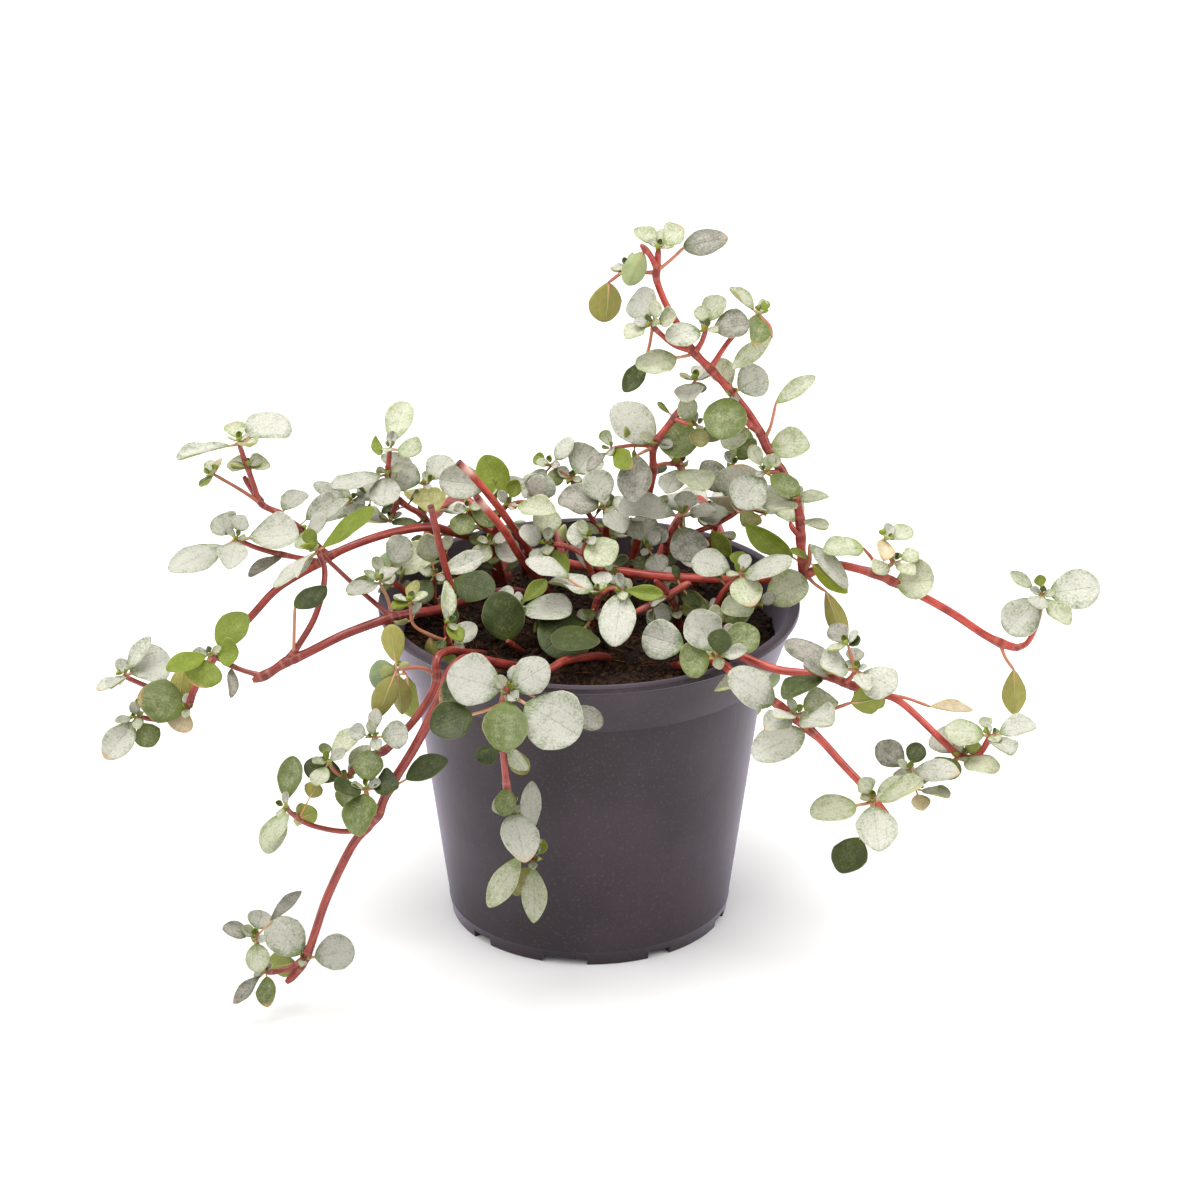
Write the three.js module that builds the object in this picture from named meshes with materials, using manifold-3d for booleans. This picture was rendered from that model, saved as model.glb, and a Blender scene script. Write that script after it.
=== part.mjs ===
// A small trailing pilea in a round nursery pot: red stems, silvery round leaves, peat.
// Millimetres, +Z up. The plant's places are written as they are seen from the front, 24 degrees
// above the rim: how far right of the rim's middle, how far up, and how far behind the pot's axis.
import * as THREE from 'three';
import { mergeVertices } from 'three/addons/utils/BufferGeometryUtils.js';
import Module from 'manifold-3d';

const wasm = await Module();
wasm.setup();

// The view in which the places are written
const viewTilt = 24;
const viewDistance = 719;

// The pot
const potHeight = 48;
const rimRadius = 30;
const collarHeight = 8;
const collarFootRadius = 27;
const bodyTopRadius = 25.4;
const footRadius = 20;
const potWall = 1.1;
const lipHeight = 0.9;
const lipStep = 0.35;
const floorHeight = 2.6;
const floorThickness = 1.2;
const potSegments = 40;
const notchHeight = 1.1;
const notchSpacing = 40;
const notchFirst = -100;
const wideNotchEvery = 3;
const notchWidths = [6.4, 3.6];
const notchDepth = 6.6;
const drainCount = 5;
const drainRadius = 1.6;
const drainCircle = 10;
const drainSides = 12;

// The soil
const soilLevel = 43.2;
const soilDrop = 0.9;
const soilGap = 0.35;
const soilWaves = { alongX: 0.31, startX: 1.3, alongY: 0.27, startY: -0.6, slantX: 0.83, slantY: -0.71 };
const soilRings = 4;
const soilSpokes = 24;
const holeGap = 0.4;
const holeReach = 9;
const rootDepth = 4.5;
const rootTaper = 0.9;

// Stems, stalks and leaves
const stemSides = 5;
const branchSides = 4;
const twigSides = 3;
const twigThickness = 0.95;
const stemStep = 8;
const firstAcross = [0.3, 1, 0.2];
const stalkWidth = 0.66;
const bladeThickness = 0.8;
const heartRoom = 1.5;
const tierOpenings = [80, 66, 54];
const longestLeaf = 9.2;
const largeLeaf = 7;
const smallLeaf = 3.3;
const tinyLeaf = 3;
const shortStalk = 1.8;
const footDepth = 0.3;
const footKeel = 0.4;
const stalkKeel = 1.2;
const leastStalk = 1.2;
const smoothing = 0.1;
const leastShown = 0.45;
const leastShownAcross = 0.8;
const leastNear = 0.25;
const leastBreadth = 0.4;

// Room that a blade keeps to what doesn't carry it, and the ways it may swing to find that room
const bladeRoom = 1.35;
const ownRoom = 0.9;
const heartReach = 2.6;
const rodRoom = 0.75;
const ownRodRoom = 0.45;
const sproutReach = 1.8;
const firstSample = 1.5;
const rodSearch = 2;
const wallRoom = 1;
const groundRoom = 0.7;
const tableRoom = 0.9;
const swings = [0, 12, -12, 24, -24, 38, -38];
const tilts = [0, -14, 14, -28, 28, -42];
const shrinks = [1, 0.8, 0.62];

const degrees = Math.PI / 180;
const rightward = new THREE.Vector3(1, 0, 0);
const upward = new THREE.Vector3(0, Math.sin(viewTilt * degrees), Math.cos(viewTilt * degrees));
const toward = new THREE.Vector3(0, -Math.cos(viewTilt * degrees), Math.sin(viewTilt * degrees));

// Ways that a sprig faces, as seen: right, up, toward the eye
const skyward = [0, 0.9, 0.45];
const halfway = [0, 0.7, 0.72];
const facing = [0, 0.35, 0.94];
const facingLeft = [-0.5, 0.4, 0.77];
const facingRight = [0.5, 0.4, 0.77];
const leaningLeft = [-0.5, 0.72, 0.48];
const leaningRight = [0.5, 0.72, 0.48];
const drooping = [0, -0.45, 0.89];
const turnedAway = [0, 0.35, -0.94];

const materials = {
  pot: new THREE.MeshStandardMaterial({ color: 0x544c54, roughness: 0.6, metalness: 0 }),
  soil: new THREE.MeshStandardMaterial({ color: 0x2d1e1c, roughness: 0.95, metalness: 0 }),
  leaf: new THREE.MeshStandardMaterial({ color: 0xb9c8b4, roughness: 0.6, metalness: 0 }),
  stem: new THREE.MeshStandardMaterial({ color: 0xb4524e, roughness: 0.5, metalness: 0 }),
};

// A seeded draw between 0 and 1
let seed = 2029;
function draw() {
  seed = (Math.imul(seed, 1664525) + 1013904223) >>> 0;
  return seed / 4294967296;
}

function between(low, high) {
  return low + (high - low) * draw();
}

// A place written as seen becomes a place in the model
function seen([across, rise, behind]) {
  const sine = Math.sin(viewTilt * degrees);
  const cosine = Math.cos(viewTilt * degrees);
  let scale = 1;
  let nearness = 0;
  for (let pass = 0; pass < 3; pass += 1) {
    nearness = (scale * rise * sine - behind) / cosine;
    scale = (viewDistance - nearness) / viewDistance;
  }
  return new THREE.Vector3(scale * across, behind, potHeight + scale * rise * cosine + nearness * sine);
}

function seenWay([across, rise, near]) {
  const way = new THREE.Vector3();
  way.addScaledVector(rightward, across);
  way.addScaledVector(upward, rise);
  way.addScaledVector(toward, near);
  return way.normalize();
}

// The plant as it's written: each node is one rooted stem with its branches, sprigs and lone leaves
const plant = [];

function leafyStem(name, shoots, sprigs) {
  plant.push({ name, shoots, sprigs });
}

function shoot(thick, thin, places) {
  return { thick, thin, points: places.map(seen) };
}

// A sprig's leaves are listed in pairs from the lowest, each with its turn as seen,
// where its blade starts and ends from the sprig's middle, and its breadth
function sprig(place, faces, blades) {
  return { middle: seen(place), axis: seenWay(faces), blades };
}

leafyStem('stem_right_long', [
  shoot(1.5, 1.3, [
    [-9, 4.2, 21.5], [-9.2, 6.4, 18.5], [-8, 6.7, 14.5], [-4, 5.5, 9.5], [-1, 4.8, 6.5], [5, 4, 3.5],
    [10, 3.4, 1.5], [16, 3.1, 0], [23.8, 2.9, -1], [29, 3.1, -1.2], [31.5, 3.9, -1.3], [34.6, 5.1, -1.6],
    [40.5, 3.8, -2.6], [43, 2.7, -3], [48, 0.2, -4], [52, -2.1, -5], [56, -4.8, -6], [58.5, -6.1, -6.6],
    [61, -6.9, -7],
  ]),
  shoot(1.5, 1, [
    [30.6, 3.8, -1.2], [30.2, 7, -0.6], [30.1, 10, 0], [29.8, 13, 0.5], [28.3, 16.8, 1.2],
    [25.6, 21.2, 2], [24.6, 23.3, 2.4], [22.4, 27, 3.1], [17.9, 32.2, 4.1], [14.6, 35.6, 4.9],
    [13, 38.6, 5.6], [11, 42, 6.4], [9.6, 45.6, 7.3], [9.7, 47, 7.6], [9.9, 49.9, 8],
  ]),
  shoot(0.6, 0.5, [[9.8, 46.8, 7.6], [11.6, 48.3, 7.3], [13.6, 50.2, 7.2]]),
  shoot(1, 0.9, [[9.6, 47.2, 7.6], [8.6, 49.2, 7], [7.4, 50.5, 6.6]]),
  shoot(0.7, 0.55, [[9.4, 46.6, 7.5], [7.6, 46.6, 8.6], [5.7, 47.1, 9], [2.7, 45.1, 9.2]]),
  shoot(0.9, 0.8, [[14.8, 35.4, 4.9], [12.2, 36.2, 4.4], [10, 38, 3.8], [8.9, 39.2, 3.4]]),
  shoot(0.6, 0.5, [[9, 39, 3.6], [8.6, 36.2, 5.4], [7.9, 33.8, 5.8]]),
  shoot(0.9, 0.8, [[15, 35.1, 4.8], [16, 36.6, 4.4], [16.7, 38.5, 4]]),
  shoot(0.9, 0.7, [[17.3, 32.9, 4.2], [19.9, 36.8, 5.4], [22.5, 39.3, 6], [24.2, 40.6, 6.4]]),
  shoot(0.6, 0.5, [[24.2, 40.4, 6.4], [25.7, 39, 7], [26, 37.3, 7]]),
  shoot(0.9, 0.9, [[24.3, 23.6, 2.4], [22.9, 24.9, 1.4], [21.7, 26.1, 0.8]]),
  shoot(0.6, 0.5, [[24.9, 22.8, 2.3], [25.8, 24.6, 1.8], [26.6, 28, 1.5]]),
  shoot(0.8, 0.7, [[27.4, 18.3, 1.5], [26.2, 18.2, 0.6], [25, 18.2, -0.2]]),
  shoot(0.9, 0.9, [[30, 9, -0.3], [29.1, 10, -1], [28.6, 11, -1.6]]),
  shoot(0.7, 0.6, [[31, 4.2, -1.5], [31.3, 5.4, -2.4], [31.4, 7.9, -3]]),
  shoot(0.6, 0.5, [[30.8, 3.5, -1.6], [32.2, 2.2, -2.8], [33.7, 1.2, -3.2]]),
  shoot(0.7, 0.5, [[40.6, 3.9, -2.8], [40.4, 5.6, -3.2], [39, 7.4, -3.4]]),
  shoot(0.8, 0.7, [[41.2, 3.5, -2.8], [42.4, 4.6, -3.4], [43.4, 5.4, -3.6]]),
  shoot(0.7, 0.6, [[43.3, 5.3, -3.6], [42.4, 7, -3], [42, 8.7, -2.8]]),
  shoot(0.6, 0.5, [[58.3, -6.2, -6.7], [59.2, -8.2, -7.4], [60.4, -9.9, -7.7]]),
  shoot(1, 0.8, [
    [60.7, -6.9, -7], [62.2, -6.2, -7.2], [63.3, -4.4, -7.4], [64.1, -1.8, -7.6], [64.4, 0.8, -7.8],
  ]),
], [
  sprig([13.6, 50.2, 7.2], facing, [[9, 0, 6.2, 4]]),
  sprig([9.9, 49.9, 8], halfway, [[135, 0.3, 3.8, 3], [20, 0.4, 3.7, 3.4], [75, 0.3, 2.9, 2.4]]),
  sprig([7.9, 50, 6.8], turnedAway, [[-91, 0.6, 5.2, 3.3]]),
  sprig([5.7, 47.1, 9], leaningLeft, [[75, 0.2, 2.5, 1.6], [-110, 0.2, 2, 2]]),
  sprig([2.7, 45.1, 9.2], [-0.5, 0.2, -0.8], [[-92, 0.1, 5.3, 4.4]]),
  sprig([8.9, 39.2, 3.4], facingLeft, [
    [108, 0.5, 4.9, 5], [15, 0.4, 3, 2.8], [-142, 0.4, 3.4, 2.8], [50, 0.5, 2.6, 2],
  ]),
  sprig([14.7, 34.9, 4.8], halfway, [[176, 2.8, 8.2, 5]]),
  sprig([7.9, 33.8, 5.8], facing, [[-122, 0.1, 4.8, 2.8]]),
  sprig([16.7, 38.5, 4], halfway, [
    [198, 0.5, 5, 3.8], [2, 0.6, 5.4, 4.2], [62, 1.4, 5.4, 3.4], [120, 0.4, 2.6, 2.4],
  ]),
  sprig([24.2, 40.6, 6.4], leaningRight, [[142, 0.5, 4.9, 3.4], [-104, 0.6, 4.8, 3.6], [60, 0.2, 1.8, 1.4]]),
  sprig([26, 37.3, 7], [0.3, 0.4, 0.85], [[-142, 0.1, 6.8, 2.8]]),
  sprig([20.4, 29.4, 3.5], facing, [[-104, 0.8, 6.2, 6], [28, 0.5, 5, 4.9], [112, 0.5, 5, 3.6]]),
  sprig([26.6, 28, 1.5], facing, [[33, 0.1, 6.8, 2.5]]),
  sprig([25.4, 21.6, 2], facing, [[5, 0.6, 5.9, 4.8]]),
  sprig([23.1, 24.7, 1.6], [-0.4, 0.3, 0.85], [[215, 0.9, 5, 3.6]]),
  sprig([25, 18.2, -0.2], facing, [
    [-127, 0.4, 5.4, 5.4], [-35, 0.4, 4.7, 3.4], [122, 0.4, 3.5, 2.2], [40, 0.2, 2, 2],
  ]),
  sprig([29.6, 14.3, 0.6], skyward, [[3, 0.6, 4.8, 4.4], [200, 0.5, 4.6, 4.8]]),
  sprig([30.1, 11.4, 0.2], skyward, [[-20, 0.6, 3.8, 2.6]]),
  sprig([30.3, 4.9, -1.2], drooping, [[143, 2, 9.8, 3.4]]),
  sprig([31.3, 5.4, -2.4], turnedAway, [[-44, 0.8, 7, 3]]),
  sprig([31.4, 7.9, -3], [0.5, 0.5, 0.7], [[-53, 0.2, 8, 2.8]]),
  sprig([31.2, 6, -2.6], leaningRight, [[150, 0.3, 2.8, 1.8]]),
  sprig([33.7, 1.2, -3.2], turnedAway, [[-57, 0.1, 7.6, 2.9]]),
  sprig([39, 7.4, -3.4], halfway, [[187, 0.1, 5.6, 4]]),
  sprig([43.2, 2.8, -3], facing, [[-6, 0.6, 5.7, 5.5]]),
  sprig([43.4, 5.4, -3.6], halfway, [[-152, 0.3, 2.6, 2.6], [14, 0.3, 2.9, 2.2], [-52, 0.3, 2.6, 2.4]]),
  sprig([42, 8.7, -2.8], leaningRight, [[12, 0.2, 5.2, 2.6], [-100, 0.2, 2.8, 2.8]]),
  sprig([60.4, -9.9, -7.7], turnedAway, [[-87, 0.1, 6.2, 3.5]]),
  sprig([64.4, 0.8, -7.8], facing, [
    [6, 1.2, 8.2, 5.6], [228, 1.2, 7.4, 5.4], [-44, 1, 5.4, 3.2], [152, 1.8, 5.4, 1.8], [250, 0.3, 2.4, 3],
    [100, 0.2, 1.8, 1.8],
  ]),
]);

leafyStem('stem_left_long', [
  shoot(1.5, 1.2, [
    [-13, 2.7, 18], [-14, 6.2, 17], [-16, 8.6, 14], [-20, 9.8, 10], [-22.8, 10.4, 8], [-28, 9.6, 5],
    [-33, 8, 2], [-37, 6.2, 0], [-38.8, 5, -0.7], [-44.2, 1.7, -3], [-48, -2.3, -5], [-51.5, -6, -6],
    [-54.2, -9.6, -7], [-56, -12.5, -7.5], [-57, -15.4, -8],
  ]),
  shoot(1.1, 0.8, [
    [-37, 6.2, 0], [-39.3, 8.4, 0.6], [-41.5, 10.4, 1.2], [-44, 12.3, 1.8], [-46.6, 13.7, 2.2],
    [-47.7, 16.5, 2.5], [-48.6, 19, 2.8], [-49.8, 22.3, 3],
  ]),
  shoot(1.1, 1.1, [[-46.8, 13.9, 2.2], [-47.8, 15.6, 3.6], [-49.1, 17.6, 4.2]]),
  shoot(0.7, 0.55, [[-46.6, 13.7, 2.2], [-49.6, 15.7, 1.8], [-53.4, 17.9, 1.4]]),
  shoot(0.9, 0.8, [
    [-38.2, 5.4, -0.4], [-42.3, 6.2, -1], [-45.5, 6.9, -1.6], [-48, 7.7, -2], [-50.1, 8.7, -2.2],
  ]),
  shoot(0.9, 0.8, [[-57, -15.2, -8], [-60, -13.4, -5.4], [-63.5, -12, -4], [-66.2, -10.8, -3.6]]),
  shoot(0.9, 0.8, [[-57, -15.2, -8], [-60.4, -17, -7.6], [-64.2, -16.6, -8.4]]),
], [
  sprig([-49.8, 22.3, 3], skyward, [
    [24, 1.8, 7.6, 5.8], [200, 1.6, 8.2, 3.6], [120, 0.3, 2.8, 3], [-30, 0.3, 2.2, 3],
  ]),
  sprig([-48.5, 18.8, 2.8], skyward, [[176, 0.4, 3, 3.6], [12, 0.4, 3.1, 3.8]]),
  sprig([-53.4, 17.9, 1.4], leaningLeft, [[66, 0.2, 2.6, 1.6], [228, 0.2, 2.5, 1.6]]),
  sprig([-44, 12.3, 1.8], skyward, [[38, 0.8, 4.8, 3.4]]),
  sprig([-41.4, 10.3, 1.2], [0.4, 0.3, 0.85], [[57, 1.8, 6.9, 2.8]]),
  sprig([-40.4, 9.4, 1], facingLeft, [[48, 1, 7.8, 2.2], [5, 0.4, 3.4, 3]]),
  sprig([-50.1, 8.7, -2.2], halfway, [
    [25, 2, 8.8, 5.4], [213, 2.4, 10.2, 4.8], [150, 0.4, 3.6, 4.4], [-93, 0.4, 4.2, 4.4], [60, 0.3, 2.6, 3],
  ]),
  sprig([-43.4, 6.4, -1.2], leaningLeft, [[218, 0.4, 5.8, 2.4]]),
  sprig([-57, -15.4, -8], facing, [[172, 0.5, 7, 6.2], [-125, 0.6, 3.6, 4.2]]),
  sprig([-58.4, -14.3, -6.8], turnedAway, [[78, 0.5, 4.6, 3.2]]),
  sprig([-66.2, -10.8, -3.6], halfway, [
    [6, 0.5, 6.4, 5.8], [212, 0.5, 3.4, 2], [-105, 0.3, 3.4, 2.6], [38, 1, 6.6, 2.2],
  ]),
  sprig([-64.2, -16.6, -8.4], facing, [
    [-124, 1, 6.9, 4.2], [-58, 0.4, 4, 3.8], [205, 0.2, 2.3, 1.4], [80, 0.2, 1.9, 1.4],
  ]),
]);

leafyStem('stem_left_low', [
  shoot(1.7, 1.4, [
    [-8, 0.3, 12], [-11, 1.2, 9], [-16, 0.4, 3], [-21.5, -1.4, -3], [-25, -1.9, -6.5], [-28.3, -2.6, -9.2],
    [-30, -3.1, -10.2], [-35, -5, -12], [-40, -7.5, -14], [-43, -8.8, -15], [-45.5, -10.4, -15.5],
    [-47.8, -11.5, -16],
  ]),
  shoot(0.9, 0.7, [[-46.4, -10.8, -15.8], [-50, -9.7, -15.2], [-53.8, -7.7, -14.6]]),
  shoot(1.1, 0.9, [
    [-43, -8.7, -15], [-41, -6, -14], [-39, -2.5, -12], [-37.8, 1.5, -10], [-37.6, 4.6, -8],
    [-38.6, 7, -7],
  ]),
  shoot(0.6, 0.5, [[-42, -8.3, -14.6], [-41.9, -4.6, -14.8], [-41.8, -1, -14.6]]),
  shoot(0.9, 0.7, [[-27.8, -2.2, -9], [-30, -0.8, -8], [-33, 1.8, -6], [-36.2, 4.8, -5.4], [-38.6, 7, -7]]),
  shoot(0.6, 0.5, [[-27.6, -2.1, -9], [-28.6, 0.2, -7.6], [-29.8, 2.5, -6.6]]),
], [
  sprig([-53.8, -7.7, -14.6], facing, [
    [48, 1.8, 7.6, 4.4], [250, 0.5, 4, 5.6], [-4, 0.5, 3.4, 3.8], [212, 0.5, 5.2, 3],
  ]),
  sprig([-50.8, -9.3, -15], facingRight, [[-104, 0.6, 4.4, 1.8]]),
  sprig([-41.8, -1, -14.6], drooping, [[34, 0.1, 5.2, 3.2]]),
  sprig([-38.6, 7, -7], leaningLeft, [
    [40, 0.8, 9.6, 3.6], [229, 1.2, 7.6, 4], [160, 0.8, 3.2, 3.2], [252, 1, 7.2, 2.6], [90, 0.4, 2.6, 2.2],
    [-80, 0.3, 2.2, 2.2],
  ]),
  sprig([-29.8, 2.5, -6.6], skyward, [[205, 0.2, 4.2, 2.8], [40, 0.4, 3.4, 2.4]]),
]);

leafyStem('stem_front_left_long', [
  shoot(1.6, 1.3, [
    [-10, -9.5, -12], [-13, -9, -17], [-16, -8.4, -21.4], [-18.2, -8.6, -24.8], [-20, -10.6, -27],
    [-21, -13.5, -28], [-24.5, -20.5, -29], [-28.5, -27, -30], [-30, -30.5, -30.5], [-31.6, -32.3, -30.8],
    [-33.5, -34.7, -31], [-35.5, -38.5, -31.5], [-37.5, -43, -32], [-39, -47.5, -32.5], [-40, -50.3, -32.8],
    [-41.5, -52.8, -33.2], [-43, -54.4, -33.6],
  ]),
  shoot(0.9, 0.8, [
    [-31.4, -32.1, -30.8], [-33.4, -32.8, -31.4], [-36, -32.8, -32], [-39.5, -32, -32.6],
    [-41.4, -31, -32.8],
  ]),
  shoot(0.8, 0.7, [[-41.2, -31.1, -32.8], [-42.4, -30.2, -33.2], [-43.1, -29.4, -33.4]]),
  shoot(0.8, 0.7, [[-30.2, -30.6, -30.6], [-31.2, -29, -32.4], [-31.7, -26.9, -33.4]]),
  shoot(0.9, 0.8, [
    [-40.6, -51, -33], [-43, -52.5, -34], [-45.9, -52.7, -35], [-46.9, -50, -35.6], [-47.4, -47.9, -36],
  ]),
], [
  sprig([-28.3, -26.8, -30], facing, [[26, 2.8, 9, 3.5]]),
  sprig([-31.7, -26.9, -33.4], halfway, [
    [82, 0.4, 4.6, 4.4], [-98, 0.6, 5.2, 4.8], [205, 0.5, 3.4, 3.4], [-8, 0.4, 3.8, 4.2],
  ]),
  sprig([-43.1, -29.4, -33.4], facingLeft, [[77, 0.5, 6.4, 3.2], [-108, 0.6, 6, 3.6], [-72, 1, 6.2, 4]]),
  sprig([-41.3, -31.1, -32.8], turnedAway, [[25, 0.3, 2.8, 3], [60, 3.4, 5.6, 2.6]]),
  sprig([-40.6, -50.9, -33], facing, [[134, 1, 7.4, 5.4], [8, 1.6, 7, 4.8]]),
  sprig([-41.2, -51.5, -33.2], turnedAway, [[168, 0.6, 4.4, 3.6]]),
  sprig([-45.9, -52.7, -35], facingLeft, [[-80, 0.4, 4, 2.8], [-108, 1, 6.2, 2], [150, 0.3, 2, 1.8]]),
  sprig([-47.4, -47.9, -36], facing, [
    [74, 0.3, 2.9, 3.6], [-82, 0.4, 4, 3.4], [168, 0.4, 3.8, 2.4], [41, 3.2, 9, 2],
  ]),
]);

leafyStem('stem_front_left_short', [
  shoot(1.4, 1.1, [
    [-15, -7.7, -7.7], [-17.5, -7.5, -13], [-19.8, -7.2, -19.2], [-21.6, -8.4, -23.4], [-21.8, -12, -24.5],
    [-24, -16, -26], [-27, -19.5, -27], [-29.2, -21.5, -28], [-31.4, -22.2, -28.5], [-33, -23.6, -29],
    [-34.2, -25.2, -29.4],
  ]),
  shoot(0.7, 0.6, [[-21.8, -10.6, -24], [-24, -9.6, -26], [-27.3, -9.9, -27.4]]),
  shoot(0.8, 0.7, [[-29.4, -21.6, -28], [-30.4, -20.6, -29], [-30.6, -19.5, -29.6]]),
  shoot(0.7, 0.6, [[-34.2, -25.2, -29.4], [-35.8, -24.6, -30], [-37, -23.1, -30.4]]),
], [
  sprig([-27.3, -9.9, -27.4], turnedAway, [[97, 0.4, 5.6, 3.2], [-113, 0.5, 6.6, 3.4], [-86, 0.8, 7, 3]]),
  sprig([-30.6, -19.5, -29.6], facing, [[-8, 0.4, 4, 3.8], [165, 0.4, 2.6, 2.4], [85, 0.4, 3.2, 2]]),
  sprig([-34.2, -25.2, -29.4], facing, [[62, 0.8, 5, 2.8], [192, 0.8, 5.9, 3.4], [-78, 0.6, 3.6, 3.4]]),
  sprig([-37, -23.1, -30.4], halfway, [[32, 0.8, 6.2, 3], [-104, 0.4, 2.8, 2.6], [110, 0.3, 2, 1.8]]),
]);

leafyStem('stem_front', [
  shoot(1.5, 0.9, [
    [2.6, -8.2, -9], [0.6, -8, -12], [-3.2, -8.6, -18], [-5.4, -9.8, -23.5], [-7.6, -10.8, -28.6],
    [-9.6, -11.6, -31.4], [-11.5, -12.8, -33], [-12.2, -15.5, -33.8], [-12.2, -20, -33.8],
    [-11.8, -24.8, -33.4], [-11.3, -28.5, -33], [-10.3, -31.5, -32.8], [-8.6, -34.5, -32.6],
    [-7.9, -37.1, -32.6],
  ]),
], [
  sprig([-11.7, -13, -33], facing, [
    [165, 0.5, 7.8, 7.4], [-34, 3.2, 11.2, 8.2], [16, 0.8, 6.4, 5.4], [-92, 1.4, 7.4, 6.2],
  ]),
  sprig([-12, -14.6, -33.6], facing, [[202, 4.8, 10.4, 5.2]]),
  sprig([-10.6, -12.4, -32.2], facing, [[183, 5.6, 10.6, 5], [-22, 8.6, 13.2, 3.2]]),
  sprig([-12.2, -20.2, -33.8], drooping, [[215, 0.5, 3.6, 2.8], [-62, 0.6, 5, 2.6], [-38, 0.6, 4.4, 2.4]]),
  sprig([-11.6, -26.4, -33.2], facing, [[-96, 0.4, 3.8, 3]]),
  sprig([-11.1, -29.4, -33], halfway, [[190, 0.4, 2.6, 2.6], [-74, 1, 8.3, 5.2]]),
  sprig([-8.6, -34.5, -32.6], facing, [[86, 1.2, 8.6, 2.9], [-120, 2.4, 9.9, 3.5]]),
  sprig([-7.9, -37.1, -32.6], facing, [[-88, 0.4, 7.2, 3.6], [-126, 0.5, 4.8, 3], [60, 0.3, 2.4, 2]]),
]);

leafyStem('stem_right_upper', [
  shoot(1.5, 1, [
    [14, -8.2, -9], [17, -7.4, -14], [19.3, -7.2, -18.4], [21.2, -7.7, -22], [23.8, -8.9, -23.8],
    [27.3, -10, -25], [31, -10.4, -25.5], [34, -10.8, -26], [37.5, -12.2, -26.3], [42, -13.4, -26.5],
    [45, -15, -26.8], [50.3, -20, -27], [53, -22.3, -27.2], [55.4, -22, -27.6], [57.2, -19.3, -28],
  ]),
  shoot(0.8, 0.7, [[36.4, -11.8, -26.2], [37.3, -11, -27.4], [38, -10, -28.2]]),
  shoot(0.6, 0.5, [[38, -10, -28.2], [37.4, -8.2, -27.6], [36.9, -6.5, -27.4]]),
  shoot(0.6, 0.5, [[41.6, -13.3, -26.5], [45, -13.9, -25.4], [48.4, -15.1, -25.2]]),
  shoot(0.7, 0.6, [[53, -22.3, -27.2], [49.6, -23.8, -28.2], [45.6, -24.2, -28.8]]),
  shoot(0.7, 0.6, [[47.6, -24.2, -28.6], [47.1, -25.6, -29.2], [46.5, -26.8, -29.4]]),
], [
  sprig([16.6, -7.5, -13.4], facing, [[179, 3.4, 9.2, 5.4]]),
  sprig([33.2, -10.6, -25.9], skyward, [[152, 1, 6.8, 5.4], [190, 0.6, 5.8, 4]]),
  sprig([34.4, -10.9, -26], halfway, [[205, 0.6, 4, 2.6]]),
  sprig([38, -10, -28.2], halfway, [
    [183, 0.5, 4.3, 4.6], [-30, 0.5, 5, 4.8], [115, 0.3, 2.4, 2.6], [-70, 0.3, 2.4, 2.6],
  ]),
  sprig([36.9, -6.5, -27.4], leaningLeft, [[148, 0.2, 4.2, 3], [30, 0.2, 2, 2]]),
  sprig([37.4, -12.2, -26.3], turnedAway, [[-40, 0.8, 5.2, 4]]),
  sprig([48.4, -15.1, -25.2], leaningRight, [[-10, 0.3, 6.6, 2.2]]),
  sprig([57.2, -19.3, -28], halfway, [
    [166, 0.6, 5.9, 4], [11, 1.4, 6.5, 3.4], [-58, 0.4, 3, 3.6], [120, 0.3, 2, 2],
  ]),
  sprig([53, -22.4, -27.4], halfway, [
    [138, 0.6, 4.6, 4.6], [-152, 0.6, 4, 3.8], [-24, 0.6, 4.4, 4], [30, 0.4, 2.6, 2.4],
  ]),
  sprig([45.6, -24.2, -28.8], facing, [[142, 0.6, 5.2, 4], [30, 0.5, 3.4, 2.8], [-22, 0.8, 5.6, 3.6]]),
  sprig([46.5, -26.8, -29.4], skyward, [[-18, 0.4, 3.9, 2.6], [-62, 0.4, 2.4, 2.6], [150, 0.3, 2.8, 3]]),
]);

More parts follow.
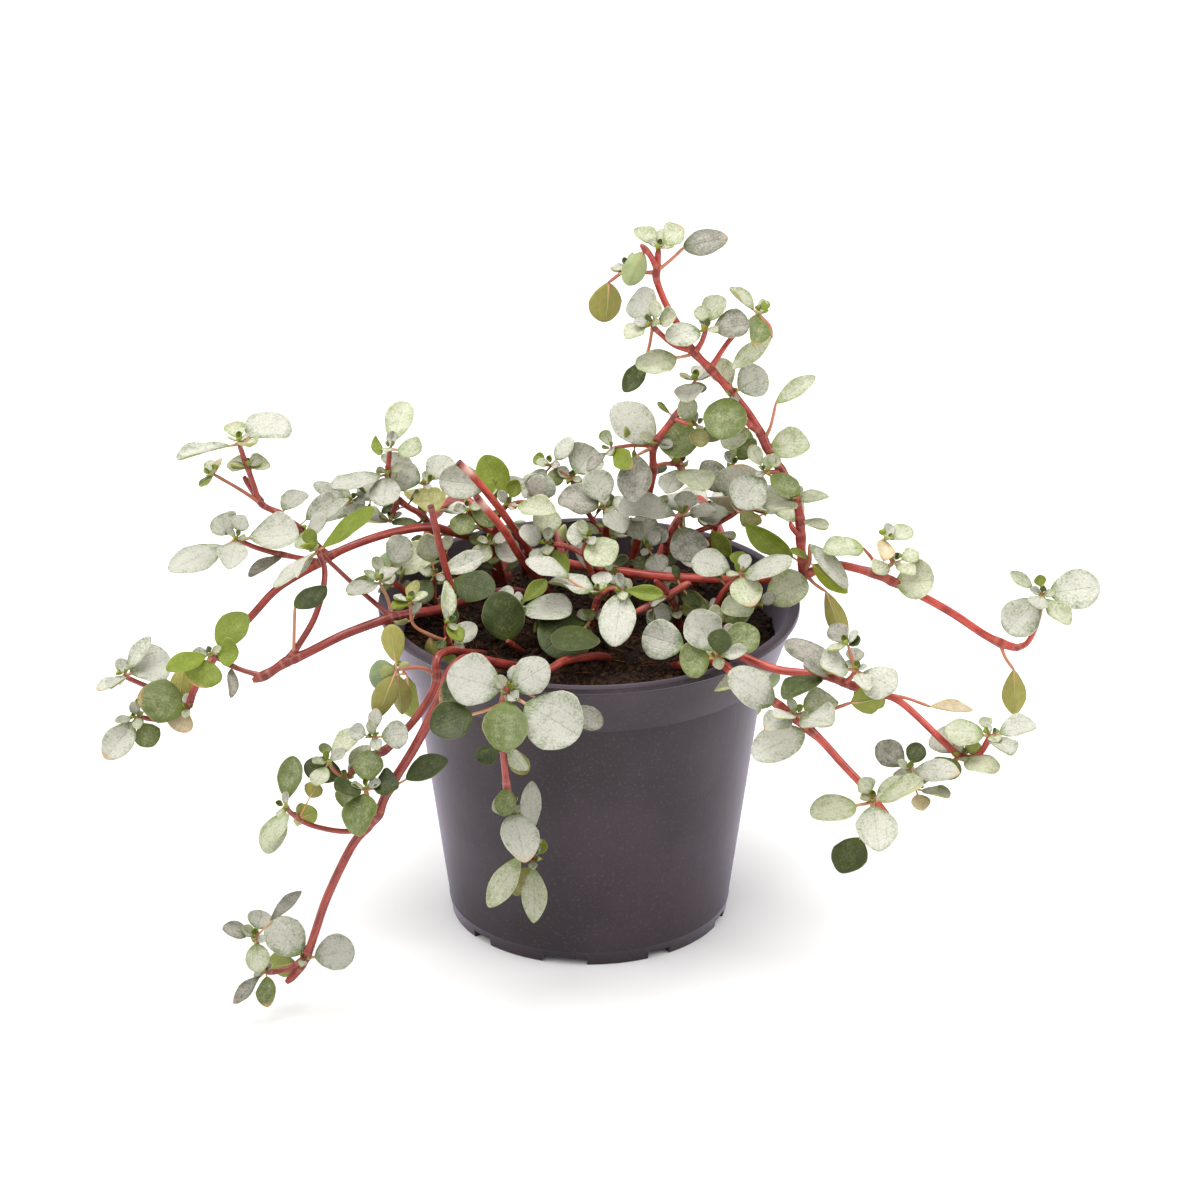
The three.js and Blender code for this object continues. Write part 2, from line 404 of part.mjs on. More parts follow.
leafyStem('stem_right_lower', [
  shoot(1.5, 1.2, [
    [12, -9.4, -12], [15.5, -8.9, -18.5], [18.2, -8.6, -23.8], [20.5, -10.3, -27.4], [23.5, -12.2, -29],
    [27.3, -15.2, -30.5], [32.5, -19.4, -31.5], [36, -23.2, -32], [39.7, -27.2, -32.3], [43, -31.4, -32.5],
  ]),
  shoot(0.8, 0.7, [[28.2, -15.9, -30.6], [29, -16.3, -31.8], [29.6, -16.3, -32.6]]),
  shoot(0.7, 0.55, [[29.3, -16.9, -30.8], [33.5, -15.9, -29.9], [37.3, -14.6, -29.5]]),
  shoot(0.8, 0.7, [[39.9, -27.4, -32.3], [40.3, -28, -33.6], [40.4, -28.6, -34.2]]),
  shoot(0.6, 0.5, [[40.4, -28.6, -34.2], [39.9, -31.4, -31.8], [38.7, -33.8, -31.4]]),
], [
  sprig([22.6, -11.6, -28.6], skyward, [[150, 0.6, 4.4, 3.4], [30, 0.5, 3, 3]]),
  sprig([27.4, -15.2, -30.5], facing, [[158, 1.4, 8.4, 5.2]]),
  sprig([29.6, -16.3, -32.6], halfway, [
    [40, 1.4, 6, 3.8], [184, 0.6, 4.2, 3.6], [-32, 0.5, 4.4, 4.6], [-140, 0.3, 2.8, 2.6],
  ]),
  sprig([31.3, -18.4, -31.2], facing, [[195, 0.9, 8.4, 5]]),
  sprig([37.3, -14.6, -29.5], turnedAway, [[8, 0.1, 4.2, 4]]),
  sprig([40.4, -28.6, -34.2], halfway, [
    [196, 2.6, 8.6, 4.6], [-98, 0.6, 5.8, 5.8], [-6, 0.6, 6.6, 4.2], [28, 0.6, 5.2, 2.6],
    [140, 0.4, 2.8, 2.6],
  ]),
  sprig([38.7, -33.8, -31.4], facing, [[-122, 0.2, 5.4, 5]]),
]);

leafyStem('shoot_front_right', [
  shoot(1.2, 0.9, [
    [19, -6.6, -5], [18.2, -4.6, -11], [17.6, -4.4, -18], [17.8, -6, -23], [18.2, -8.1, -26.4],
  ]),
], [
  sprig([18.2, -8.1, -26.4], facing, [
    [190, 0.5, 4.4, 4.8], [33, 1.6, 6.8, 4.6], [124, 0.9, 6.8, 5.4], [-12, 0.5, 3.6, 2.2],
    [66, 0.4, 3.4, 3.4],
  ]),
]);

leafyStem('shoot_front_middle', [
  shoot(1.3, 1.1, [[12.8, -3.6, 2.4], [12.2, -1, 1.2], [10.8, 1.3, 0.2], [9.4, 2.8, -0.6]]),
  shoot(1.2, 1.2, [[11.3, 0.6, 0.6], [12.8, 1.6, -0.6], [14.3, 2.5, -1.4]]),
  shoot(1.2, 1.2, [[10.9, 0.8, 0.6], [9, -0.6, -0.8], [6.4, -1.9, -1.6]]),
], [
  sprig([12.3, -1.4, 1.4], facing, [[198, 0.4, 4.2, 3.2], [2, 0.8, 5, 3.2]]),
]);

leafyStem('shoot_right', [
  shoot(1.3, 0.9, [[18, -5.4, -2], [17.9, -2, -3.4], [19, 1, -4.8], [21.4, 3.8, -5.2]]),
  shoot(0.9, 0.8, [[18, -3.6, -2.8], [21, -2.3, -4], [24.2, -0.6, -4.6]]),
], [
  sprig([21.4, 3.8, -5.2], halfway, [
    [168, 1.6, 7, 4], [-74, 0.5, 4.2, 4.4], [18, 1, 6.8, 4.8], [95, 0.3, 2.4, 2.4],
  ]),
  sprig([24.2, -0.6, -4.6], facing, [[176, 0.8, 5.4, 4], [0, 1.4, 7.6, 5.2], [204, 0.8, 5.2, 3.6]]),
  sprig([18, -2, -3.4], facingLeft, [[148, 0.4, 6, 2.4], [208, 0.6, 4.4, 3]]),
]);

leafyStem('shoot_tall_middle', [
  shoot(1.4, 1, [
    [5.5, 1.1, 14], [6, 5, 13], [7, 9, 11.5], [7.6, 12.5, 10.6], [8.2, 14, 10.2], [9.1, 18, 9.4],
    [9.3, 22, 8.8], [12.2, 26, 8.4], [13.9, 28.5, 8.2], [15.1, 31, 8],
  ]),
  shoot(0.6, 0.5, [[9.2, 21.7, 8.8], [8, 21.2, 8], [6.9, 20.6, 7.6]]),
  shoot(0.8, 0.7, [[12.1, 25.9, 8.4], [13.6, 25.2, 7], [15.3, 24.9, 6.2]]),
  shoot(0.7, 0.6, [[9.2, 21.9, 8.8], [6.4, 22, 9.6], [3.2, 21.6, 10.2]]),
  shoot(0.7, 0.6, [[9.1, 18.8, 9.2], [10.8, 19.4, 9.6], [12.7, 19.2, 9.8]]),
  shoot(1.1, 1.1, [[12.2, 21, 10], [12.7, 19.6, 9.8], [13.9, 16.5, 9.2]]),
], [
  sprig([15.1, 31, 8], skyward, [[60, 0.4, 3.2, 2.6], [-110, 0.5, 4, 4.2]]),
  sprig([9.4, 22.4, 8.7], facing, [[5, 0.4, 6, 5.8], [141, 0.8, 8.2, 6]]),
  sprig([15.3, 24.9, 6.2], facing, [[128, 0.4, 3.4, 3.2], [-30, 0.4, 3.2, 3], [-82, 0.4, 2.6, 2.8]]),
  sprig([6.9, 20.6, 7.6], facing, [[-96, 0.2, 6.4, 5]]),
  sprig([3.2, 21.6, 10.2], facingLeft, [[-20, 0.4, 3.8, 3], [225, 0.4, 4, 1.8], [110, 0.3, 2, 1.8]]),
  sprig([13, 19.2, 9.8], skyward, [[-55, 1.2, 5.4, 4.8], [-120, 0.8, 4.4, 3.6]]),
]);

leafyStem('shoot_middle_right', [
  shoot(1.2, 0.9, [[10.5, 0.8, 12], [10.8, 5, 9.5], [11.4, 9, 7], [13.2, 12, 5]]),
  shoot(1, 0.8, [[10.7, 4, 10], [8.8, 6, 7], [8.4, 7.4, 5.6]]),
  shoot(0.9, 0.8, [[11.2, 8, 7.6], [15, 9.6, 7], [18.5, 11, 7], [21.2, 12.6, 7]]),
], [
  sprig([13.2, 12, 5], skyward, [[178, 1, 9, 5.4], [2, 0.4, 4.3, 5], [108, 1, 5.4, 6], [55, 0.4, 3, 3.4]]),
  sprig([12.6, 10.9, 5.7], facing, [[-66, 0.8, 5.8, 5.2]]),
  sprig([8.4, 7.4, 5.6], facing, [[108, 0.4, 4.2, 4.6], [-60, 0.4, 3.2, 3.4], [30, 0.4, 3, 2.6]]),
  sprig([21.2, 12.6, 7], skyward, [
    [178, 0.4, 4.8, 5.4], [-104, 0.8, 5, 7], [62, 1.4, 6.8, 7.4], [10, 1.4, 5.2, 4.4],
  ]),
  sprig([17.2, 10.4, 7], drooping, [[-55, 1, 5.2, 2.6]]),
]);

leafyStem('shoot_back_right', [
  shoot(1.2, 0.9, [[15, 2.1, 16.5], [16.6, 6, 15], [18, 10.4, 14], [19.6, 15, 13], [20.4, 19.2, 12.4]]),
  shoot(0.8, 0.7, [[18.8, 12.8, 13.5], [22, 13.2, 13], [25, 12.4, 12.4]]),
], [
  sprig([20.4, 19.2, 12.4], facing, [
    [208, 0.8, 4.8, 5], [74, 1.4, 5.8, 4.2], [38, 1.2, 4.8, 2.4], [-104, 1, 5, 3.4],
  ]),
  sprig([25, 12.4, 12.4], halfway, [[8, 0.8, 5.4, 5.6], [200, 0.4, 3, 3], [70, 0.4, 3.4, 4]]),
]);

leafyStem('shoot_middle_back', [
  shoot(1.2, 0.9, [[2.5, 2.9, 18.5], [2.4, 7, 15.5], [2.4, 10.5, 13], [2.3, 13, 11.5]]),
  shoot(0.9, 0.7, [[2.4, 9, 14], [-0.6, 13, 15.5], [-2.6, 17.2, 16.5]]),
  shoot(0.7, 0.6, [[-2.5, 17, 16.5], [-4.2, 18.4, 17], [-5.4, 19.2, 17.4]]),
], [
  sprig([2.3, 13, 11.5], halfway, [
    [170, 0.8, 6.6, 4.6], [-64, 0.5, 3.6, 3.6], [118, 0.6, 5.4, 4.6], [10, 0.4, 3, 3.4],
  ]),
  sprig([-2.6, 17.2, 16.5], facing, [[52, 0.5, 5, 5.6], [-24, 0.5, 4.6, 4], [172, 0.3, 2.6, 2.4]]),
  sprig([-5.4, 19.2, 17.4], facingLeft, [[-98, 0.4, 5.4, 3.4], [35, 0.4, 4.2, 2.8], [160, 0.3, 2, 2]]),
]);

leafyStem('shoot_middle', [
  shoot(1.2, 0.9, [[2.6, -1.8, 7], [3, 1.4, 4.6], [3.3, 3.7, 2.6]]),
  shoot(0.9, 0.8, [[2.8, 0.6, 5], [0.6, 3.4, 3], [-0.6, 6.6, 2.6], [-0.2, 9, 2.4]]),
  shoot(0.9, 0.8, [[-0.6, 6.4, 2.6], [-3, 7.6, 4], [-6, 8, 5.6]]),
], [
  sprig([-0.2, 9, 2.4], facing, [[-52, 0.8, 5, 5], [172, 0.4, 3, 3.6]]),
  sprig([0.2, 8.8, 2.2], turnedAway, [[2, 0.6, 6.4, 3.2]]),
  sprig([3.3, 3.7, 2.6], facing, [[112, 0.6, 3.8, 3.6], [-40, 0.4, 2.8, 2.8], [-110, 0.3, 2, 2.4]]),
  sprig([4.4, 2.6, 3.4], [0.4, -0.4, 0.8], [[40, 0.8, 6.2, 3]]),
  sprig([0.4, 3.4, 3], facingRight, [[112, 0.5, 5.6, 2.2]]),
  sprig([-6, 8, 5.6], facing, [
    [-20, 0.5, 4.6, 2.6], [88, 0.4, 4.4, 4], [165, 0.5, 3.6, 3.2], [-120, 0.4, 3, 2.4],
  ]),
]);

leafyStem('shoot_middle_front', [
  shoot(1.3, 1, [[-0.6, -5.4, -2], [0.2, -3.2, -3.4], [1, -0.6, -4.6], [1.5, 1, -5]]),
  shoot(0.8, 0.7, [[-0.2, -4.2, -3], [-4, -3.6, -3], [-7.6, -2.2, -2.6], [-10, -1, -2.4]]),
  shoot(0.8, 0.7, [[1.2, 0.2, -4.8], [3, 1.6, -5.8], [4.7, 1.4, -6.6]]),
], [
  sprig([4.7, 1.4, -6.6], facing, [[-98, 0.6, 7.8, 5.2], [-9, 0.8, 5.8, 2.2]]),
  sprig([1.5, 1, -5], skyward, [[172, 0.8, 7, 5], [150, 5, 11.4, 3.4], [60, 0.4, 2.8, 3]]),
  sprig([0.4, -2.4, -3.8], facing, [[222, 1.2, 8, 7.6], [-100, 2.6, 8.8, 6.8]]),
  sprig([-10, -1, -2.4], halfway, [
    [-20, 0.8, 6.8, 4.8], [40, 0.8, 5.4, 2.2], [-122, 0.6, 3.4, 3.4], [160, 0.5, 3, 3.6],
  ]),
]);

leafyStem('shoot_left_back', [
  shoot(1.2, 0.8, [
    [-17, 1.5, 15], [-20.8, 6.5, 13.6], [-23.4, 11.6, 13], [-26, 13.4, 12.4], [-28.3, 15.6, 12],
    [-28.6, 18.4, 12], [-28.3, 21.5, 12],
  ]),
  shoot(0.8, 0.7, [[-28.3, 15.8, 12], [-31.2, 14.6, 11], [-33.8, 14, 10.4]]),
  shoot(0.7, 0.6, [[-23.4, 11.8, 13], [-23.2, 14.2, 14], [-23.1, 16.4, 14.6]]),
  shoot(0.9, 0.8, [[-27.2, 14.4, 12.2], [-27.8, 12.6, 11.2], [-28.3, 11.2, 10.6]]),
], [
  sprig([-28.3, 21.5, 12], halfway, [[72, 1.4, 7.4, 4], [4, 0.4, 3.8, 3.8], [190, 0.3, 1.8, 2.8]]),
  sprig([-28.6, 18, 12], halfway, [[60, 0.3, 2.8, 4.6], [212, 1.2, 9.4, 3.8], [-96, 0.6, 4.4, 4.4]]),
  sprig([-23.1, 16.4, 14.6], halfway, [[190, 0.6, 5.4, 4.4], [48, 0.6, 5, 4.2], [-80, 0.6, 4, 4.6]]),
  sprig([-33.8, 14, 10.4], halfway, [
    [20, 0.8, 4.4, 3.6], [-140, 0.6, 4.6, 3.8], [205, 0.4, 5, 2.4], [-70, 0.5, 3.6, 4],
  ]),
  sprig([-28.3, 11.2, 10.6], skyward, [[176, 0.4, 5, 4], [2, 0.4, 3.8, 3.4]]),
]);

leafyStem('shoot_left_middle', [
  shoot(1.2, 0.9, [[-12, 1.9, 16], [-13, 5.5, 14.4], [-13.4, 9, 13.4], [-13, 12, 12.8], [-11.6, 13.6, 12.4]]),
  shoot(0.8, 0.7, [[-13.4, 9, 13.4], [-16.6, 11.8, 11.4], [-17.2, 13, 10.6]]),
  shoot(0.8, 0.7, [[-12.8, 12.3, 12.8], [-13.4, 14.4, 13.8], [-14, 16.2, 14.2]]),
  shoot(0.7, 0.6, [[-11.8, 13.4, 12.4], [-9.6, 14, 12.6], [-8, 13.6, 12.8]]),
  shoot(0.7, 0.6, [[-13.4, 7.6, 13.8], [-14.2, 8.2, 10.4], [-14, 8.2, 7.6]]),
], [
  sprig([-11.6, 13.6, 12.4], facing, [[121, 0.8, 7.4, 4.6], [-33, 1.6, 8.8, 3.6], [60, 0.4, 3, 2.4]]),
  sprig([-14, 16.2, 14.2], facing, [[188, 0.8, 7.4, 4.8], [3, 0.8, 5, 1.8]]),
  sprig([-17.2, 13, 10.6], facing, [[252, 0.8, 3.8, 3.6], [-42, 0.8, 4.6, 2.4]]),
  sprig([-8, 13.6, 12.8], facing, [[98, 0.6, 4, 4.6], [-30, 0.8, 4.4, 3.4], [38, 0.5, 3.6, 3.2]]),
  sprig([-14, 8.2, 7.6], facing, [[2, 0.8, 5.6, 4.2], [236, 0.5, 3.4, 3]]),
]);

leafyStem('shoot_left', [
  shoot(1.2, 0.9, [[-20, -2.4, 5], [-23.6, -0.6, 3.4], [-26.8, 1.8, 2.4], [-29, 3.8, 2]]),
  shoot(0.8, 0.7, [[-21.4, -1.8, 4.4], [-22, 0.6, 2.6], [-21.9, 3.5, 1]]),
], [
  sprig([-29, 3.8, 2], facing, [[11, 0.6, 7.6, 4.6], [204, 0.6, 5, 2], [62, 1.8, 6, 4.2]]),
  sprig([-21.9, 3.5, 1], facing, [
    [20, 0.8, 7.2, 3.2], [-102, 0.8, 4.6, 3.6], [108, 2, 5.8, 3.8], [-36, 3, 8.8, 5],
  ]),
]);

leafyStem('shoot_front_left', [
  shoot(1.1, 0.8, [[-18.6, -8.2, -9], [-19.6, -6.8, -11], [-20.2, -5, -12.6], [-20.2, -3.2, -13.4]]),
  shoot(0.6, 0.5, [[-19.8, -6, -11.8], [-22.6, -5, -12.2], [-25, -3.4, -12], [-25.4, -0.4, -11.6]]),
], [
  sprig([-20.2, -3.2, -13.4], facingRight, [[92, 0.4, 6, 2.4], [-80, 0.4, 3.4, 2.4]]),
  sprig([-19.6, -6.8, -11], facing, [[-56, 0.8, 4.4, 3.2], [22, 1, 4.8, 3.2]]),
  sprig([-22.6, -5, -12.2], turnedAway, [[-82, 0.4, 4.6, 2.6]]),
  sprig([-25.4, -0.4, -11.6], skyward, [[80, 0.3, 3.6, 2], [200, 0.3, 2.4, 2]]),
]);

leafyStem('shoot_front_low', [
  shoot(1.1, 0.9, [[-9.5, -7.4, -7], [-10.6, -6.6, -9], [-11.6, -5.8, -10.4]]),
], [
  sprig([-11.8, -8.6, -12], facing, [[104, 0.4, 7, 6]]),
]);

// Behind the pot, where no stem is seen from the front, a few more hang over the rim
leafyStem('stem_back_left', [
  shoot(1.5, 1.1, [
    [-11.5, 3.4, 19.6], [-13, 8, 22.4], [-16, 13, 25.6], [-18.8, 14.6, 28.2], [-21.4, 12.6, 31.2],
    [-23, 9.8, 34], [-24.6, 3.6, 36.4], [-25.6, -3.4, 38], [-26, -10.4, 38.6],
  ]),
], [
  sprig([-21.4, 12.6, 31.2], skyward, [[150, 0.6, 6, 5], [20, 0.6, 5.2, 4.6]]),
  sprig([-24.6, 3.6, 36.4], turnedAway, [[170, 0.6, 5.8, 5.2], [-10, 0.6, 6.2, 5.4], [-80, 0.6, 4.6, 4.4]]),
  sprig([-26, -10.4, 38.6], turnedAway, [
    [10, 0.5, 5.4, 5], [190, 0.5, 5, 4.6], [-85, 0.5, 5.6, 5], [95, 0.5, 4.2, 3.6],
  ]),
]);

leafyStem('stem_back_middle', [
  shoot(1.5, 1, [
    [-3.5, 3.6, 20], [-4.4, 9.2, 24.4], [-5.4, 13, 29], [-5.8, 12.6, 32.6], [-6, 8, 36], [-5.6, 0.4, 38.6],
    [-4.6, -7.6, 40], [-3.4, -15.4, 40.6], [-3, -21.4, 40.4],
  ]),
], [
  sprig([-6, 8, 36], turnedAway, [[175, 0.6, 6.2, 5.4], [5, 0.6, 5.8, 5], [95, 0.5, 4.4, 4]]),
  sprig([-4.6, -7.6, 40], turnedAway, [[160, 0.6, 6, 5.2], [-20, 0.6, 6.4, 5.6], [-95, 0.5, 4.6, 4.4]]),
  sprig([-3, -21.4, 40.4], turnedAway, [
    [20, 0.5, 5, 4.6], [200, 0.5, 5.4, 5], [-70, 0.5, 5, 4.6], [110, 0.5, 3.8, 3.4],
  ]),
]);

leafyStem('stem_back_right', [
  shoot(1.5, 1.1, [
    [9, 3.5, 20], [11, 8.5, 22.6], [13.4, 12.6, 25.6], [15.4, 14.4, 28.6], [17, 12.8, 31.4],
    [18.8, 9.4, 34.6], [20.4, 2.8, 37], [21.4, -4.6, 38.4], [21.6, -12.2, 39],
  ]),
], [
  sprig([17, 12.8, 31.4], skyward, [[160, 0.6, 5.4, 4.8], [15, 0.6, 5.8, 5.2]]),
  sprig([20.4, 2.8, 37], turnedAway, [[175, 0.6, 6.2, 5.4], [-5, 0.6, 5.8, 5.2], [90, 0.6, 4.4, 4.2]]),
  sprig([21.6, -12.2, 39], turnedAway, [
    [15, 0.5, 5.4, 5], [195, 0.5, 5.2, 4.8], [-80, 0.5, 5.6, 5], [100, 0.5, 4, 3.6],
  ]),
]);

// Stems that were cut stand bare among the leaves
const bareStems = [
  shoot(1.2, 1.1, [
    [-18.5, -6.4, -4.3], [-18.8, -4, -4.6], [-19.3, -1, -5], [-19.8, 2.5, -5.4], [-20.8, 6, -5.8],
    [-21.7, 10, -6.2], [-22.5, 13.4, -6.4],
  ]),
  shoot(1.4, 1.2, [
    [-5, -0.1, 11], [-7.5, 3.3, 8.4], [-10, 6.5, 5], [-12, 9.8, 2], [-14.8, 13.2, -1], [-16, 14.7, -2],
  ]),
  shoot(1.3, 1.2, [[-6.3, 0.7, 13], [-8, 6, 11.6], [-12, 12, 9], [-15.8, 16.8, 7.6], [-18.6, 19.6, 7.2]]),
];

// Half the width of a blade along its length, as a share of its widest
const outline = [[0, 0.12], [0.25, 0.8], [0.55, 1], [0.85, 0.7]];
const shortOutline = [[0.38, 0.96], [0.8, 0.8]];
const smallOutline = [[0.55, 1]];

// A closed skin through rings of equal count. A first or last ring of one point is a tip.
function skin(rings) {
  const count = rings[1].length;
  const triangles = [];
  let here = 0;
  for (let index = 1; index < rings.length; index += 1) {
    const next = here + rings[index - 1].length;
    for (let corner = 0; corner < count; corner += 1) {
      const after = (corner + 1) % count;
      if (rings[index - 1].length === 1) {
        triangles.push(here, next + after, next + corner);
      } else if (rings[index].length === 1) {
        triangles.push(here + corner, here + after, next);
      } else {
        triangles.push(here + corner, next + after, next + corner, here + corner, here + after, next + after);
      }
    }
    here = next;
  }
  for (let corner = 1; corner < count - 1; corner += 1) {
    if (rings[0].length > 1) triangles.push(0, corner + 1, corner);
    if (rings.at(-1).length > 1) triangles.push(here, here + corner, here + corner + 1);
  }
  const geometry = new THREE.BufferGeometry().setFromPoints(rings.flat());
  geometry.setIndex(triangles);
  return geometry;
}

function solid(geometry) {
  geometry.deleteAttribute('normal');
  geometry.deleteAttribute('uv');
  const joined = mergeVertices(geometry, 1e-4);
  const index = joined.index.array;
  const kept = [];
  for (let start = 0; start < index.length; start += 3) {
    const [a, b, c] = index.slice(start, start + 3);
    if (a !== b && b !== c && c !== a) kept.push(a, b, c);
  }
  return new wasm.Manifold(new wasm.Mesh({
    numProp: 3,
    vertProperties: new Float32Array(joined.attributes.position.array),
    triVerts: new Uint32Array(kept),
  }));
}

// What a cut leaves loose or walled in is dropped: the piece is its largest body
function oneBody(shape) {
  return shape.decompose().reduce((best, body) => (body.volume() > best.volume() ? body : best));
}

function meshOf(name, shape, slot) {
  const { vertProperties, triVerts, numProp } = shape.getMesh();
  const positions = new Float32Array((vertProperties.length / numProp) * 3);
  for (let vertex = 0; vertex < positions.length / 3; vertex += 1) {
    for (let axis = 0; axis < 3; axis += 1) {
      positions[vertex * 3 + axis] = vertProperties[vertex * numProp + axis];
    }
  }
  const geometry = new THREE.BufferGeometry();
  geometry.setAttribute('position', new THREE.BufferAttribute(positions, 3));
  geometry.setIndex(Array.from(triVerts));
  geometry.computeVertexNormals();
  const mesh = new THREE.Mesh(geometry, materials[slot].clone());
  mesh.name = name;
  return mesh;
}

// The pot is turned: outside up to the lip, then the inside down to the floor
function potSolid() {
  const lipRadius = rimRadius - lipStep;
  const bodyTop = potHeight - collarHeight;
  const floorRadius = footRadius + (bodyTopRadius - footRadius) * (floorHeight / bodyTop) - potWall;
  const profile = [
    [0, floorHeight - floorThickness],
    [footRadius - potWall, floorHeight - floorThickness],
    [footRadius - potWall, 0],
    [footRadius, 0],
    [bodyTopRadius, bodyTop],
    [collarFootRadius, bodyTop],
    [lipRadius, potHeight - lipHeight],
    [rimRadius, potHeight - lipHeight],
    [rimRadius, potHeight],
    [lipRadius - potWall, potHeight],
    [collarFootRadius - potWall, bodyTop],
    [bodyTopRadius - potWall, bodyTop - potWall],
    [floorRadius, floorHeight],
    [0, floorHeight],
  ];
  const turned = new THREE.LatheGeometry(profile.map(([r, z]) => new THREE.Vector2(r, z)), potSegments);
  turned.rotateX(Math.PI / 2);
  const cuts = [];
  for (let index = 0; index < 360 / notchSpacing; index += 1) {
    const width = index % wideNotchEvery === 0 ? notchWidths[0] : notchWidths[1];
    const notch = new THREE.BoxGeometry(notchDepth, width, notchHeight * 2);
    notch.translate(footRadius, 0, 0);
    notch.rotateZ((notchFirst + notchSpacing * index) * degrees);
    cuts.push(solid(notch));
  }
  for (let index = 0; index < drainCount; index += 1) {
    const hole = new THREE.CylinderGeometry(drainRadius, drainRadius, floorThickness * 3, drainSides);
    hole.rotateX(Math.PI / 2);
    hole.translate(drainCircle, 0, floorHeight - floorThickness / 2);
    hole.rotateZ((index * 2 * Math.PI) / drainCount);
    cuts.push(solid(hole));
  }
  return oneBody(solid(turned).subtract(wasm.Manifold.union(cuts)));
}

// The pot's wall at a height: its inner and outer radius
function wallAt(height) {
  const bodyTop = potHeight - collarHeight;
  if (height > bodyTop) {
    const share = (height - bodyTop) / collarHeight;
    const outer = collarFootRadius + (rimRadius - collarFootRadius) * share;
    return [outer - potWall - lipStep * share, outer];
  }
  const outer = footRadius + (bodyTopRadius - footRadius) * (height / bodyTop);
  return [outer - potWall, outer];
}

// Peat fills the pot up to an uneven top
function soilTop(x, y) {
  const { alongX, startX, alongY, startY, slantX, slantY } = soilWaves;
  const swell = Math.sin(x * alongX + startX) * Math.cos(y * alongY + startY);
  const ripple = 0.5 * Math.sin(x * slantX + y * slantY);
  return soilLevel + (swell + ripple - 1) * soilDrop * 0.5;
}

function soilSolid(holes) {
  const rings = [];
  const bodyTop = potHeight - collarHeight;
  const bottom = floorHeight + soilGap;
  const ring = (radius, height) => {
    const points = [];
    for (let spoke = 0; spoke < soilSpokes; spoke += 1) {
      const angle = (spoke * 2 * Math.PI) / soilSpokes;
      const x = radius * Math.cos(angle);
      const y = radius * Math.sin(angle);
      points.push(new THREE.Vector3(x, y, height ?? soilTop(x, y)));
    }
    return points;
  };
  rings.push(ring(wallAt(bottom)[0] - soilGap, bottom));
  rings.push(ring(bodyTopRadius - potWall - soilGap, bodyTop - potWall));
  rings.push(ring(collarFootRadius - potWall - soilGap, bodyTop));
  const edge = wallAt(soilLevel - soilDrop)[0] - soilGap;
  for (let index = soilRings; index > 0; index -= 1) {
    rings.push(ring((edge * index) / soilRings, undefined));
  }
  rings.push([new THREE.Vector3(0, 0, soilTop(0, 0))]);
  return oneBody(solid(skin(rings)).subtract(wasm.Manifold.union(holes)));
}

// A stem's course: a smooth line through its points, with rings of a size that tapers
function course(branch) {
  const curve = new THREE.CatmullRomCurve3(branch.points, false, 'catmullrom', 0.5);
  const spans = branch.points.length - 1;
  const places = [];
  for (let span = 0; span < spans; span += 1) {
    const length = branch.points[span].distanceTo(branch.points[span + 1]);
    const steps = Math.max(1, Math.ceil(length / stemStep));
    for (let step = 0; step < steps; step += 1) {
      places.push((span + step / steps) / spans);
    }
  }
  places.push(1);
  return places.map((share) => ({
    point: curve.getPoint(share),
    ahead: curve.getTangent(share),
    radius: (branch.thick + (branch.thin - branch.thick) * share) / 2,
  }));
}

function sidesFor(line) {
  return line.at(-1).radius * 2 < twigThickness ? twigSides : branchSides;
}

function tube(line, sides, grow) {
  let across = new THREE.Vector3(...firstAcross);
  const rings = line.map(({ point, ahead, radius }) => {
    across = across.clone().addScaledVector(ahead, -across.dot(ahead)).normalize();
    const third = new THREE.Vector3().crossVectors(ahead, across);
    const ring = [];
    for (let side = 0; side < sides; side += 1) {
      const angle = (side * 2 * Math.PI) / sides;
      const corner = point.clone();
      corner.addScaledVector(across, Math.cos(angle) * (radius + grow));
      corner.addScaledVector(third, Math.sin(angle) * (radius + grow));
      ring.push(corner);
    }
    return ring;
  });
  return solid(skin(rings));
}

function rootOf(line) {
  const { point, radius } = line[0];
  const up = new THREE.Vector3(0, 0, 1);
  const tip = point.clone().addScaledVector(up, -rootDepth);
  return [{ point: tip, ahead: up, radius: radius * rootTaper }, ...line];
}

function nearestOn(lines, place) {
  let best = place;
  let least = Infinity;
  for (const line of lines) {
    for (let index = 1; index < line.length; index += 1) {
      const rod = new THREE.Line3(line[index - 1].point, line[index].point);
      const spot = rod.closestPointToPoint(place, true, new THREE.Vector3());
      if (spot.distanceTo(place) < least) {
        least = spot.distanceTo(place);
        best = spot;
      }
    }
  }
  return best;
}

// Every stem's course is known before the first leaf is placed
for (const node of plant) {
  node.lines = [];
  node.shoots.forEach((branch, index) => {
    if (index > 0) branch.points[0] = nearestOn(node.lines, branch.points[0]);
    const line = course(branch);
    node.lines.push(index === 0 ? rootOf(line) : line);
  });
}
const bareLines = bareStems.map((branch) => rootOf(course(branch)));

// What a blade keeps clear of: rods of all stems, hearts of all sprigs and blades that are already placed
const rods = [];
const hearts = [];
const placedBlades = [];

function addRods(line, node) {
  for (let index = 1; index < line.length; index += 1) {
    rods.push({
      line: new THREE.Line3(line[index - 1].point, line[index].point),
      radius: line[index - 1].radius,
      node,
    });
  }
}

for (const node of plant) {
  for (const line of node.lines) addRods(line, node);
  for (const bunch of node.sprigs) {
    bunch.middle = nearestOn(node.lines, bunch.middle);
    if (bunch.blades.length > 2) {
      hearts.push({ bunch, place: bunch.middle.clone().addScaledVector(bunch.axis, heartRoom) });
    }
  }
}
for (const line of bareLines) addRods(line, null);

